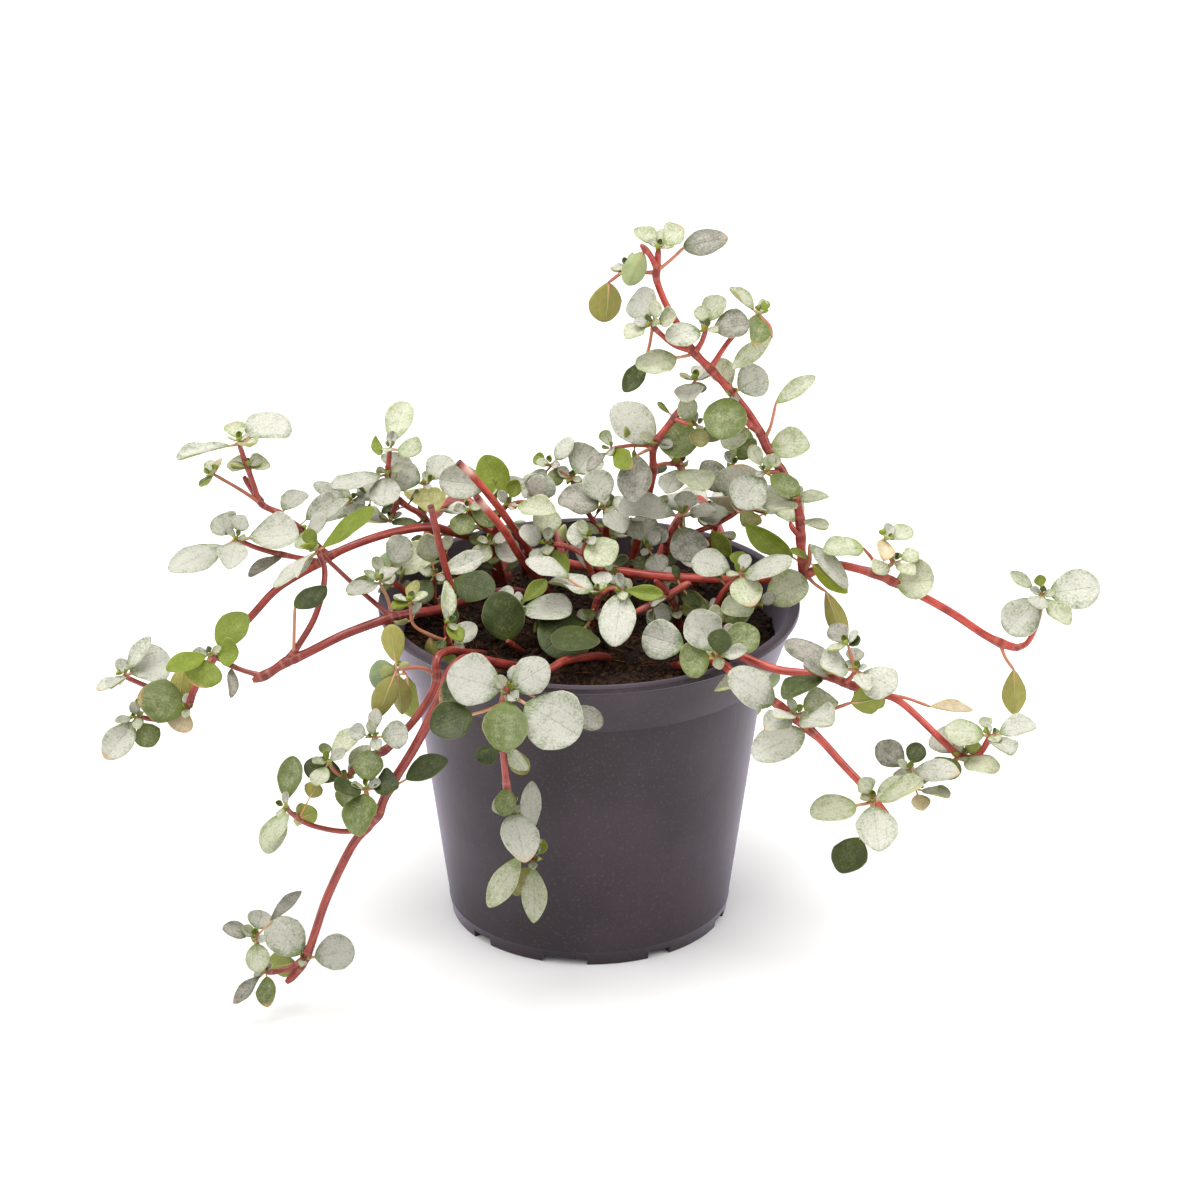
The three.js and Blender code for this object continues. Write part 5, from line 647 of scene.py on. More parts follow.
for node in plant:
    for index, branch in enumerate(node["shoots"]):
        if index:
            branch["points"][0] = nearest_on(node["lines"], branch["points"][0])
        line = course(branch, STEM_STEP)
        node["lines"].append(line if index else rooted(line))
    for bunch in node["sprigs"]:
        bunch["middle"] = nearest_on(node["lines"], bunch["middle"])
bare_lines = [rooted(course(branch, STEM_STEP)) for branch in bare_stems]
print("shoots and branches:", sum(len(n["lines"]) for n in plant))

# %% [markdown]
# ## Where each leaf lies
#
# Leaves of one tuft spread in tiers: the lowest pair lies flattest, the pairs above it stand up more. As on
# the real plant no leaf passes through another, so a leaf takes the first swing and tilt at which it keeps
# clear of the stems, the pot, the peat and every leaf before it. A physics run could push the leaves apart,
# but a rule that is tried in order gives the same plant each time, and the same as in the frame.

# %% The pot's wall and the top of the peat, as the frame has them
COLLAR_HEIGHT, RIM, COLLAR_FOOT, BODY_TOP, FOOT = 8, 30, 27, 25.4, 20
WALL, LIP_STEP = 1.1, 0.35
SHOULDER = POT_HEIGHT - COLLAR_HEIGHT
SOIL_LEVEL, SOIL_SWING = 43.2, 0.45


def body_at(height):
    """The outer radius of the pot's tapered body."""
    return FOOT + (BODY_TOP - FOOT) * height / SHOULDER


def wall_at(height):
    """The inner and outer radius of the pot's wall at these heights."""
    share = np.maximum(height - SHOULDER, 0) / COLLAR_HEIGHT
    collar = COLLAR_FOOT + (RIM - COLLAR_FOOT) * share
    outer = np.where(height > SHOULDER, collar, body_at(height))
    return outer - WALL - np.where(height > SHOULDER, LIP_STEP * share, 0), outer


def soil_top(x, y):
    swell = np.sin(x * 0.31 + 1.3) * np.cos(y * 0.27 - 0.6)
    return SOIL_LEVEL + (swell + 0.5 * np.sin(x * 0.83 - y * 0.71) - 1) * SOIL_SWING


print("the peat in the middle, mm up:", round(float(soil_top(0, 0)), 2))

# %% The numbers of the leaf rule
# How far each tier of a tuft opens from its axis, in degrees
TIERS = [80, 66, 54]
LONGEST_LEAF, LEAST_STALK = 9.2, 1.2
# A blade as seen is foreshortened, but it is taken as no more foreshortened than by these shares
LEAST_NEAR, LEAST_SHOWN, LEAST_SHOWN_ACROSS = 0.25, 0.45, 0.8
# A room is the gap kept from a thing. Within a reach of its foot a leaf may touch its own stem or the pot
HEART_ROOM, HEART_REACH, SPROUT_REACH = 1.5, 2.6, 1.8
BLADE_ROOM, OWN_BLADE_ROOM = 1.35, 0.9
ROD_ROOM, OWN_ROD_ROOM, ROD_SEARCH = 0.75, 0.45, 2
WALL_ROOM, GROUND_ROOM, TABLE_ROOM = 1, 0.7, 0.9
# Half widths of a blade along its length, as the solids have them
OUTLINE = np.array([[0, 0.12], [0.25, 0.8], [0.55, 1], [0.85, 0.7], [1, 0]])
MOVES = [(swing, tilt) for tilt in (0, -14, 14, -28, 28, -42) for swing in (0, 12, -12, 24, -24, 38, -38)]
MOVES.sort(key=lambda move: abs(move[0]) + abs(move[1]))
SHRINKS = (1, 0.8, 0.62)
# The share of its breadth that a leaf would keep if it shrank to nothing in length
BREADTH_KEPT = 0.4
DROOPS, CUPS, TWISTS = (0.05, 0.3), (-0.1, 0.28), (-0.35, 0.35)
seed = 2029


def between(low, high):
    """A seeded draw."""
    global seed
    seed = (seed * 1664525 + 1013904223) & 0xFFFFFFFF
    return low + (high - low) * (seed / 4294967296)


def is_tuft(bunch):
    return len(bunch["blades"]) > 2


print("moves that a leaf tries:", len(MOVES) * len(SHRINKS))


# %% A leaf's way, and the places on its blade
FIRST_SAMPLE = 1.5


def opened(axis, out, opening):
    """The ways of a blade that leans outward from its axis by this angle."""
    way = axis * math.cos(opening) + out * math.sin(opening)
    face = axis * math.sin(opening) - out * math.cos(opening)
    return {"way": way, "face": face, "side": np.cross(face, way)}


def shown(way, least):
    """How much of a length along this way is seen from the front."""
    return max(least, math.hypot(way @ rightward, way @ upward))


def blade_of(bunch, row, index, swing, tilt, shrink):
    """A leaf from its row of the table, with a swing, a tilt and a shrink that are tried."""
    turn, start, end, breadth = row
    axis = bunch["axis"]
    angle = math.radians(turn + swing)
    flat = rightward * math.cos(angle) + upward * math.sin(angle)
    near = toward @ axis
    if abs(near) < LEAST_NEAR:
        near = -LEAST_NEAR if near < 0 else LEAST_NEAR
    out = flat - toward * (flat @ axis) / near
    out = unit(out - axis * (out @ axis))
    ways = opened(axis, out, math.radians(TIERS[min(index // 2, 2)] + tilt))
    along = shown(ways["way"], LEAST_SHOWN)
    narrowed = BREADTH_KEPT + (1 - BREADTH_KEPT) * shrink
    return {
        "foot": bunch["middle"].copy(), **ways,
        "stalk": max(LEAST_STALK if is_tuft(bunch) else 0, start / along),
        "length": shrink * min(LONGEST_LEAF, (end - start) / along),
        "breadth": breadth * narrowed / shown(ways["side"], LEAST_SHOWN_ACROSS),
    }


def blade_points(leaf, along, across, lift=0.0):
    """Places on a blade: shares of its length and of its half width, and the lift off its middle surface."""
    turn = leaf["twist"] * along
    rise = leaf["length"] * (0.5 * leaf["droop"] * along - leaf["droop"] * along**2)
    rise = rise + leaf["breadth"] * leaf["cup"] * across**2 * along + lift
    offset = across * leaf["breadth"] * 0.5
    sideways = offset * np.cos(turn) - rise * np.sin(turn)
    upright = offset * np.sin(turn) + rise * np.cos(turn)
    place = leaf["foot"] + np.outer(leaf["stalk"] + along * leaf["length"], leaf["way"])
    return place + np.outer(sideways, leaf["side"]) + np.outer(upright, leaf["face"])


def samples_of(leaf):
    """Places about 1 mm apart on a leaf, without the start of its stalk, which touches the stem."""
    alongs, acrosses = [], []
    rows = math.ceil(leaf["length"])
    for row in range(rows + 1):
        along = row / rows
        half = float(np.interp(along, OUTLINE[:, 0], OUTLINE[:, 1]))
        columns = max(1, math.ceil(leaf["breadth"] * half))
        for column in range(columns + 1):
            alongs.append(along)
            acrosses.append(half * (2 * column / columns - 1))
    stalk = [leaf["foot"] + leaf["way"] * reach for reach in np.arange(FIRST_SAMPLE, leaf["stalk"], 1.0)]
    return np.vstack([*stalk, blade_points(leaf, np.array(alongs), np.array(acrosses))])


bunch = plant[0]["sprigs"][0]
leaf = blade_of(bunch, bunch["blades"][0], 0, 0, 0, 1)
print("the first leaf, mm long:", round(leaf["length"], 1))

# %% What a leaf keeps clear of
rods, hearts, placed = [], [], []


def add_rods(line, owner):
    places, radii = line
    rods.extend((start, end, radius, owner) for start, end, radius in zip(places, places[1:], radii))


for number, node in enumerate(plant):
    for line in node["lines"]:
        add_rods(line, number)
    for bunch in filter(is_tuft, node["sprigs"]):
        hearts.append((id(bunch), bunch["middle"] + bunch["axis"] * HEART_ROOM))
for line in bare_lines:
    add_rods(line, -1)
rod_start, rod_end, rod_radius, rod_owner = (np.array(column) for column in zip(*rods))
heart_owner, heart_place = (np.array(column) for column in zip(*hearts))
rod_delta = rod_end - rod_start
rod_long = (rod_delta**2).sum(1)


def meets_pot(points):
    """Whether a place is in or close to the table, the pot's wall or the peat."""
    x, y, height = points.T
    radius = np.hypot(x, y)
    inner, outer = wall_at(np.maximum(height, 0))
    in_wall = (radius > inner - WALL_ROOM) & (radius < outer + WALL_ROOM) & (height < POT_HEIGHT + WALL_ROOM)
    in_peat = (radius < inner) & (height < soil_top(x, y) + GROUND_ROOM)
    return (in_wall | in_peat | (height < TABLE_ROOM)).any()


def is_clear(trial):
    """Whether the places of a leaf on trial keep their room from all things."""
    bunch, number, points, middle, reach = trial.values()
    own = lengths(points - bunch["middle"])
    away = points[own >= HEART_REACH]
    if meets_pot(points[own >= SPROUT_REACH]):
        return False
    apart = lengths(rod_start + rod_delta / 2 - middle)
    for k in np.nonzero(apart <= reach + np.sqrt(rod_long) / 2 + ROD_SEARCH)[0]:
        mine = rod_owner[k] == number
        rest = away if mine else points
        share = np.clip((rest - rod_start[k]) @ rod_delta[k] / rod_long[k], 0, 1)
        gap = lengths(rod_start[k] + np.outer(share, rod_delta[k]) - rest)
        if (gap < rod_radius[k] + (OWN_ROD_ROOM if mine else ROD_ROOM)).any():
            return False
    apart = lengths(heart_place - middle)
    for k in np.nonzero((apart <= reach + HEART_ROOM) & (heart_owner != id(bunch)))[0]:
        if (lengths(points - heart_place[k]) < HEART_ROOM).any():
            return False
    for other in placed:
        if np.linalg.norm(other["middle"] - middle) > reach + other["reach"] + BLADE_ROOM:
            continue
        rest = away if other["bunch"] is bunch else points
        room = OWN_BLADE_ROOM if other["number"] == number else BLADE_ROOM
        if (lengths(rest[:, None] - other["points"][None]) < room).any():
            return False
    return True


print("stretches of stem to keep clear of:", len(rods))

# %% Place the leaves
def place_leaf(number, bunch, row, index):
    """The first leaf on trial that is clear of everything, or None."""
    habit = {"droop": between(*DROOPS), "cup": between(*CUPS), "twist": between(*TWISTS)}
    for shrink in SHRINKS:
        for swing, tilt in MOVES:
            leaf = {**blade_of(bunch, row, index, swing, tilt, shrink), **habit}
            points = samples_of(leaf)
            middle = points.mean(0)
            trial = {"bunch": bunch, "number": number, "points": points, "middle": middle}
            trial["reach"] = lengths(points - middle).max()
            if is_clear(trial):
                placed.append(trial)
                return leaf
    return None


for number, node in enumerate(plant):
    for bunch in node["sprigs"]:
        for index, row in enumerate(bunch["blades"]):
            leaf = place_leaf(number, bunch, row, index)
            if leaf:
                leaf["tone"] = bunch["tones"][index]
                leaf["away"] = bunch["axis"] @ toward < 0
                node["leaves"].append(leaf)
print("leaves placed:", len(placed))

# %% [markdown]
# ## Expressions on sockets
#
# A finish and a geometry tree are both sums: so much of this colour where that mask is high. Written with
# node calls alone they can't be read, so a small class wraps a socket and turns + - * into Math and
# Vector Math nodes. Everything else comes from one method that adds a node of a type.

# %% A socket with arithmetic
class Wire:
    """A socket that can stand in an expression."""

    def __init__(self, board, socket):
        self.board = board
        self.socket = socket

    def sum_with(self, how, other, other_first=False):
        pair = [other, self] if other_first else [self, other]
        kind = "ShaderNodeMath"
        if any(is_vector(value) for value in pair):
            kind = "ShaderNodeVectorMath"
            pair = [(value,) * 3 if isinstance(value, (int, float)) else value for value in pair]
        return self.board.node(kind, {"operation": how}, dict(enumerate(pair)))

    def __add__(self, other):
        return self.sum_with("ADD", other)

    def __radd__(self, other):
        return self.sum_with("ADD", other, True)

    def __sub__(self, other):
        return self.sum_with("SUBTRACT", other)

    def __rsub__(self, other):
        return self.sum_with("SUBTRACT", other, True)

    def __mul__(self, other):
        return self.sum_with("MULTIPLY", other)

    def __rmul__(self, other):
        return self.sum_with("MULTIPLY", other, True)


def is_vector(value):
    return value.socket.type in ("VECTOR", "RGBA") if isinstance(value, Wire) else isinstance(value, tuple)


# %% The board that the nodes lie on
class Board:
    """A node tree that is being built."""

    def __init__(self, tree):
        self.tree = tree

    def node(self, kind, settings=None, inputs=None, out=0):
        made = self.tree.nodes.new(kind)
        for name, value in (settings or {}).items():
            setattr(made, name, value)
        for name, value in (inputs or {}).items():
            socket = made.inputs[name]
            if isinstance(value, Wire):
                self.tree.links.new(value.socket, socket)
            else:
                socket.default_value = value
        return Wire(self, made.outputs[out])

    def math(self, how, *values):
        return self.node("ShaderNodeMath", {"operation": how}, dict(enumerate(values)))

    def absolute(self, value):
        return self.math("ABSOLUTE", value)

    def smooth(self, value, low, high):
        """0 below low, 1 above high, and a soft rise between them."""
        settings = {"interpolation_type": "SMOOTHSTEP"}
        return self.node("ShaderNodeMapRange", settings, {0: value, 1: low, 2: high})

    def mix(self, share, one, other):
        return self.node("ShaderNodeMix", {"data_type": "RGBA"}, {0: share, 6: one, 7: other}, out=2)

    def coats(self, colour, *coats):
        """A colour under coats, each given as its share and its own colour."""
        for share, coat in coats:
            colour = self.mix(share, colour, coat)
        return colour

    def noise(self, place, scale, detail=2.0):
        return self.node("ShaderNodeTexNoise", {}, {"Vector": place, "Scale": scale, "Detail": detail})

    def parts(self, vector):
        made = self.node("ShaderNodeSeparateXYZ", {}, {0: vector}).socket.node
        return [Wire(self, socket) for socket in made.outputs]

    def attribute(self, name, out=1):
        """An attribute in a finish: as a vector, or as a number where out is 2."""
        return self.node("ShaderNodeAttribute", {"attribute_name": name}, out=out)

    def in_mm(self):
        return self.node("ShaderNodeTexCoord", out="Object") * (1 / MM)


# %% Colours and finishes
def paint(red, green, blue):
    """A colour as a screen shows it, 0 to 255, becomes the light that it stands for."""
    linear = [x / 3294.6 if x < 10.3 else ((x / 255 + 0.055) / 1.055) ** 2.4 for x in (red, green, blue)]
    return (*linear, 1.0)


def new_finish(name):
    """A new material and its board."""
    material = bpy.data.materials.new(name)
    material.use_nodes = True
    return material, Board(material.node_tree)


def finish(board, colour, roughness, specular, relief, depth, strength):
    """Feeds the shader and gives it back. The relief is a height in shares of its depth in millimetres."""
    shader = board.tree.nodes["Principled BSDF"]
    heights = {"Height": relief, "Distance": depth * MM, "Strength": strength}
    fed = {"Base Color": colour, "Roughness": roughness, "Normal": board.node("ShaderNodeBump", {}, heights)}
    for name, wire in fed.items():
        board.tree.links.new(wire.socket, shader.inputs[name])
    shader.inputs["Specular IOR Level"].default_value = specular
    return shader


print("a mid grey in light:", round(paint(128, 128, 128)[0], 3))

# %% [markdown]
# ## The leaf's finish
#
# A leaf is green flesh under a coat of tiny silver cells. The coat is thick in the middle and breaks up into
# green specks, it stops short of the margin, and old or shaded leaves have nearly none. The underside has no
# coat: it is olive, paler along the veins. One finish does all that: each leaf brings its own colours and its
# share of coat as attributes, and its place along and across the blade says where the veins and the margin
# run. A finish for each tone would work too, but the leaves differ by degrees.

# %% Silver over green
def leaf_finish():
    material, board = new_finish("silver_mottled_leaf")
    along, across, above = board.parts(board.attribute("spot"))
    share, number, _ = board.parts(board.attribute("nature"))
    flesh, coat, under = (board.attribute(name) for name in ("flesh", "coat", "under"))
    mm = board.in_mm()
    wide = board.absolute(across)
    specks = board.noise(mm, 3.2, 5.0)
    fine = board.noise(mm + (7.0, 3.0, 5.0), 6.5)
    patches = board.noise(mm + (3.0, 9.0, 1.0), 0.75)

    rib = 1 - board.smooth(wide, 0.0, 0.055)
    lateral = 1 - board.smooth(board.absolute(wide - 0.44), 0.0, 0.05)
    slope = along * 15.0 - wide * 5.0 + number * 9.0 + patches * 3.0
    slant = board.absolute(board.math("SINE", slope))
    net = 1 - board.smooth(slant, 0.0, 0.3)
    veins = board.math("MAXIMUM", rib, board.math("MAXIMUM", lateral * 0.5, net * 0.3))
    inner = board.smooth(wide, 0.35, 0.95)
    margin = board.smooth(wide, 0.94, 0.985)
    tip = board.smooth(along, 0.84, 1.0)
    base = 1 - board.smooth(along, 0.0, 0.34)

    cover = share + (specks - 0.5) * 1.1 + (fine - 0.5) * 0.7 + (patches - 0.5) * 0.85
    cover = cover - inner * 0.26 - base * 0.5 - tip * 0.14 - veins * 0.2
    covered = board.smooth(cover, 0.02, 0.92)
    green = flesh * (0.56 + patches * 0.46 + fine * 0.4)
    green = board.mix(veins * 0.36, green, green * 1.5 + (0.03, 0.04, 0.015))
    green = board.mix(base * 0.4, green, green * 1.25 + (0.05, 0.065, 0.004))
    top = board.mix(covered, green, coat * (0.72 + specks * 0.24))

    dusk = board.smooth(board.noise(mm + (1.0, 4.0, 8.0), 4.1, 1.0), 0.58, 0.72)
    spots = board.smooth(board.noise(mm + (6.0, 2.0, 4.0), 2.4, 1.0), 0.7, 0.74)
    spots = spots * board.smooth(number, 0.5, 0.7)
    scorched = tip * board.smooth(number, 0.86, 0.9) * board.smooth(specks + number * 0.1, 0.42, 0.6)
    top = board.coats(
        top, (dusk * share * 0.3, paint(120, 112, 106)), (spots * 0.5, paint(104, 88, 62)),
        (margin * 0.55, coat * 0.9 + (0.08, 0.05, 0.01)), (scorched * 0.7, paint(190, 148, 104)),
    )
    below = under * (0.66 + patches * 0.46 + fine * 0.24)
    below = board.mix(veins * 0.4, below, under * 1.3 + (0.05, 0.05, 0.02))
    colour = board.mix(board.smooth(above, -0.08, 0.08), below, top)
    relief = specks * 0.4 + fine * 0.3 + board.smooth(slant, 0.0, 0.8) * 0.24
    relief = relief - board.math("MAXIMUM", rib, lateral * 0.6) * 0.6
    finish(board, colour, 0.4 + covered * 0.12 + fine * 0.16, 0.3, relief, 0.13, 0.6)
    return material


leaf_material = leaf_finish()
print("leaf finish:", len(leaf_material.node_tree.nodes), "nodes")

# %% The tones of leaves
# For each tone: the flesh, the silver coat, the underside, and how much of the top the coat covers
TONES = {
    "silver": [(102, 120, 74), (201, 199, 186), (144, 148, 86), 0.86],
    "pale": [(130, 144, 88), (204, 204, 180), (172, 174, 116), 0.72],
    "mauve": [(98, 100, 78), (178, 172, 162), (146, 134, 110), 0.62],
    "green": [(94, 106, 50), (162, 166, 128), (136, 142, 64), 0.36],
    "dark": [(60, 71, 31), (124, 129, 90), (92, 100, 48), 0.24],
    "olive": [(128, 124, 62), (182, 178, 134), (146, 140, 72), 0.42],
    "lime": [(112, 126, 38), (164, 168, 92), (138, 148, 46), 0.2],
    "tan": [(184, 162, 116), (214, 200, 174), (190, 162, 116), 0.6],
}


def nature_of(leaf, number):
    """The colours of one leaf. A leaf that is seen from below shows its tone there, and is silver above."""
    flesh, coat, under, share = TONES[leaf["tone"]]
    if leaf["away"]:
        if leaf["tone"] in ("silver", "pale"):
            under = tuple(0.75 * x + 0.25 * y for x, y in zip(flesh, coat))
        flesh, coat, _, share = TONES["silver"]
    rng = np.random.default_rng(900 + number)
    # The colours are scaled by the painted shade of the leaf's stem and by a random tone
    light = leaf["light"] * rng.uniform(0.9, 1.1)
    colours = [np.array(paint(*colour)[:3]) * light for colour in (flesh, coat, under)]
    return [*colours, np.array([share + rng.uniform(-0.07, 0.07), rng.uniform(), 0])]


print("tones:", ", ".join(TONES))

# %% [markdown]
# ## Leaves by a rule
#
# Every leaf is the same shape with other numbers: a thin cushion whose outline is an egg, dipped along the
# rib, arched along its length, cupped, twisted and a little puckered. A geometry tree says that once. One
# vertex stands for each leaf and carries its numbers; a flat grid is set on each vertex and its corners are
# then moved to where the formula puts them. Modelling leaves by hand would take days and a particle system
# would lose the formula.

# %% A geometry tree with named inputs
def geometry_board(name, **inputs):
    """A geometry tree with these inputs, given as name and kind of socket."""
    tree = bpy.data.node_groups.new(name, "GeometryNodeTree")
    tree.interface.new_socket("Geometry", in_out="INPUT", socket_type="NodeSocketGeometry")
    for label, kind in inputs.items():
        tree.interface.new_socket(label, in_out="INPUT", socket_type="NodeSocket" + kind)
    tree.interface.new_socket("Geometry", in_out="OUTPUT", socket_type="NodeSocketGeometry")
    board = Board(tree)
    entry = tree.nodes.new("NodeGroupInput")
    return board, {socket.name: Wire(board, socket) for socket in entry.outputs if socket.name}


def close_tree(board, geometry, material):
    geometry = board.node("GeometryNodeSetShadeSmooth", {}, {"Geometry": geometry})
    geometry = board.node("GeometryNodeSetMaterial", {}, {"Geometry": geometry, "Material": material})
    leave = board.tree.nodes.new("NodeGroupOutput")
    board.tree.links.new(geometry.socket, leave.inputs[0])
    return board.tree


def named(board, name, kind="FLOAT_VECTOR"):
    return board.node("GeometryNodeInputNamedAttribute", {"data_type": kind}, {"Name": name})


def store(board, geometry, name, value):
    """Keeps a vector for each point of the geometry."""
    settings = {"data_type": "FLOAT_VECTOR", "domain": "POINT"}
    inputs = {"Geometry": geometry, "Name": name, "Value": value}
    return board.node("GeometryNodeStoreNamedAttribute", settings, inputs)


print("geometry trees so far:", len(bpy.data.node_groups))

# %% The formula of a leaf
# How deep a leaf is folded along its rib, in mm, and the powers that make its outline egg-shaped or pointed
FOLD, LEAST_FOLD = 0.75, 0.12
EGG, EGG_SPREAD, POINTED = 1.02, 0.3, 1.7
# The cushion has its full thickness where a blade is wider than its most divided by this
CUSHION = 2.5


def leaf_tree():
    board, given = geometry_board("leaves", Rows="Int", Columns="Int", Thickness="Float", Material="Material")
    corners = {"Size X": 1.0, "Size Y": 1.0, "Vertices X": given["Rows"], "Vertices Y": given["Columns"]}
    grid = board.node("GeometryNodeMeshGrid", {}, corners)
    grid = store(board, grid, "spot", board.node("GeometryNodeInputPosition") + (0.5, 0.5, 0.0))
    leaves = board.node("GeometryNodeInstanceOnPoints", {}, {"Points": given["Geometry"], "Instance": grid})
    leaves = board.node("GeometryNodeRealizeInstances", {}, {"Geometry": leaves})

    row, round_way, _ = board.parts(named(board, "spot"))
    length, breadth, stalk = board.parts(named(board, "size"))
    droop, cup, twist = board.parts(named(board, "habit"))
    point, wave, phase = board.parts(named(board, "edge"))
    along = 0.5 - 0.5 * board.math("COSINE", row * math.pi)
    angle = round_way * (2 * math.pi)
    across = 0 - board.math("COSINE", angle)
    above = board.math("SINE", angle)
    egg = board.math("POWER", along, EGG + phase * EGG_SPREAD) * 2 - 1
    full = board.math("SQRT", board.math("MAXIMUM", 1 - egg * egg, 0.0))
    lean = board.math("MAXIMUM", 1 - board.math("POWER", board.absolute(egg), POINTED), 0.0)
    width = full + (lean - full) * point
    nick = 1 + 0.014 * board.math("SINE", along * 23 + phase * 6)
    share = across * width * nick
    bend = length * (0.5 * droop * along - droop * along * along)
    bowl = breadth * cup * share * share * along
    dip = (phase * -FOLD - LEAST_FOLD) * (1 - board.absolute(across)) * width
    ripple = wave * breadth * share * share * board.math("SINE", along * 9 + phase * 6 + across * 1.5)
    puff = 0.022 * board.math("SINE", board.absolute(across) * 6 - along * 13 + phase * 6) * width
    pillow = above * given["Thickness"] * board.math("MINIMUM", width * CUSHION, 1.0) * 0.5
    rise = bend + bowl + dip + ripple + puff + pillow
    turn = twist * along
    sine, cosine = board.math("SINE", turn), board.math("COSINE", turn)
    offset = share * breadth * 0.5
    place = named(board, "foot") + named(board, "way") * (stalk + along * length)
    place = place + named(board, "side") * (offset * cosine - rise * sine)
    place = place + named(board, "face") * (offset * sine + rise * cosine)
    leaves = board.node("GeometryNodeSetPosition", {}, {"Geometry": leaves, "Position": place * MM})
    spot = board.node("ShaderNodeCombineXYZ", {}, {0: along, 1: across, 2: above})
    leaves = store(board, leaves, "spot", spot)
    leaves = board.node("GeometryNodeMergeByDistance", {}, {"Geometry": leaves, "Distance": 1e-6})
    return close_tree(board, leaves, given["Material"])


leaves_tree = leaf_tree()
print("leaf tree:", len(leaves_tree.nodes), "nodes")

# %% Run a tree and keep the plain mesh
def new_object(name, data):
    made = bpy.data.objects.new(name, data)
    bpy.context.scene.collection.objects.link(made)
    return made


def evaluated(thing):
    """The mesh of an object with its modifiers. The object itself is removed."""
    graph = bpy.context.evaluated_depsgraph_get()
    made = bpy.data.meshes.new_from_object(thing.evaluated_get(graph))
    bpy.data.objects.remove(thing)
    return made


def run_tree(name, mesh, tree, **inputs):
    """The mesh that a geometry tree makes of this one."""
    carrier = new_object(name + "_carrier", mesh)
    modifier = carrier.modifiers.new("tree", "NODES")
    modifier.node_group = tree
    labels = {item.name: item.identifier for item in tree.interface.items_tree if item.in_out == "INPUT"}
    for label, value in inputs.items():
        modifier[labels[label]] = value
    made = evaluated(carrier)
    made.name = name
    return made


print("trees to run:", len(bpy.data.node_groups))

# %% Many leaves as one mesh
def give(mesh, name, values, kind="FLOAT_VECTOR"):
    attribute = mesh.attributes.new(name, kind, "POINT")
    key = "vector" if kind == "FLOAT_VECTOR" else "value"
    attribute.data.foreach_set(key, np.asarray(values, np.float32).ravel())


# A solid's leaf has few corners, so the round one is a little fuller, and starts a little nearer the stem
FULLER, LOWER = 1.03, 0.03


def shape_leaves(leaves, thickness, first, light):
    """Each leaf gets the numbers of its outline: how pointed, how wavy, and the phase of its folds."""
    rng = np.random.default_rng(first)
    for leaf in leaves:
        slender = max(0, 0.7 - leaf["breadth"] / leaf["length"])
        leaf["edge"] = (rng.uniform(0.05, 0.4) + slender, rng.uniform(-0.05, 0.05), rng.uniform())
        leaf["thickness"] = thickness
        leaf["light"] = light


def leaves_mesh(leaves, rows, columns, thickness, first):
    """All these leaves as one mesh."""
    mesh = bpy.data.meshes.new("leaves")
    mesh.from_pydata([(0.0, 0.0, 0.0)] * len(leaves), [], [])
    give(mesh, "foot", [leaf["foot"] + POT_AXIS for leaf in leaves])
    for key in ("way", "side", "face"):
        give(mesh, key, [leaf[key] for leaf in leaves])
    sizes = [(leaf["length"] * FULLER, leaf["breadth"] * FULLER, leaf["stalk"]) for leaf in leaves]
    give(mesh, "size", [(length, breadth, stalk - LOWER * length) for length, breadth, stalk in sizes])
    give(mesh, "habit", [(leaf["droop"], leaf["cup"], leaf["twist"]) for leaf in leaves])
    give(mesh, "edge", [leaf["edge"] for leaf in leaves])
    natures = [nature_of(leaf, first + k) for k, leaf in enumerate(leaves)]
    for key, values in zip(("flesh", "coat", "under", "nature"), zip(*natures)):
        give(mesh, key, values)
    inputs = {"Rows": rows, "Columns": columns, "Thickness": thickness, "Material": leaf_material}
    return run_tree("leaves", mesh, leaves_tree, **inputs)


print("a round leaf is fuller by:", FULLER)

# %% [markdown]
# ## Stems, stalks and buds
#
# The stems are fleshy, round and coral red, swollen and darker at each knot where a branch or a tuft leaves.
# The leaf stalks are as thin as a pin and pale orange, and each runs on under its leaf as the rib. A line
# with a girth at each point says all that, so the tree turns lines into curves and sweeps a circle along
# them. Bevelled curve objects would do too, but their points carry no colour of their own.

# %% The stem's finish
def stem_finish():
    material, board = new_finish("coral_stem")
    pale, knot, grown, old = (board.attribute(name, 2) for name in ("pale", "knot", "grown", "old"))
    east, north, _ = board.parts(board.attribute("around"))
    mm = board.in_mm()
    blotch = board.noise(mm, 0.5)
    grain = board.noise(mm, 5.5, 3.0)
    drawn = board.node("ShaderNodeCombineXYZ", {}, {0: east * 1.4, 1: north * 1.4, 2: grown * 0.16 + blotch})
    streak = board.noise(drawn, 1.6, 3.0)
    scar = board.smooth(knot, 0.35, 0.6) * (1 - board.smooth(knot, 0.65, 0.85))
    # The dark red coat is partly the stem's own darker red and partly painted shade: low near the peat and on
    # the stems in front of the pot
    colour = board.coats(
        paint(204, 84, 70), (board.smooth(streak * 0.6 + blotch * 0.4, 0.4, 0.62), paint(150, 52, 44)),
        (old * 0.75, paint(80, 30, 28)), (knot * 0.6, paint(98, 38, 34)), (scar * 0.24, paint(206, 136, 112)),
        (board.smooth(grain, 0.56, 0.72) * 0.3, paint(206, 126, 104)),
        (board.smooth(pale, 0.0, 1.0), paint(200, 152, 112)),
        (board.smooth(pale, 1.1, 2.0), paint(156, 160, 100)),
        (board.smooth(0 - pale, 0.0, 0.9), paint(222, 178, 164)),
    )
    finish(board, colour, 0.22 + grain * 0.2, 0.48, grain * 0.4 + streak * 0.5, 0.07, 0.5)
    return material


stem_material = stem_finish()
print("stem finish:", len(stem_material.node_tree.nodes), "nodes")


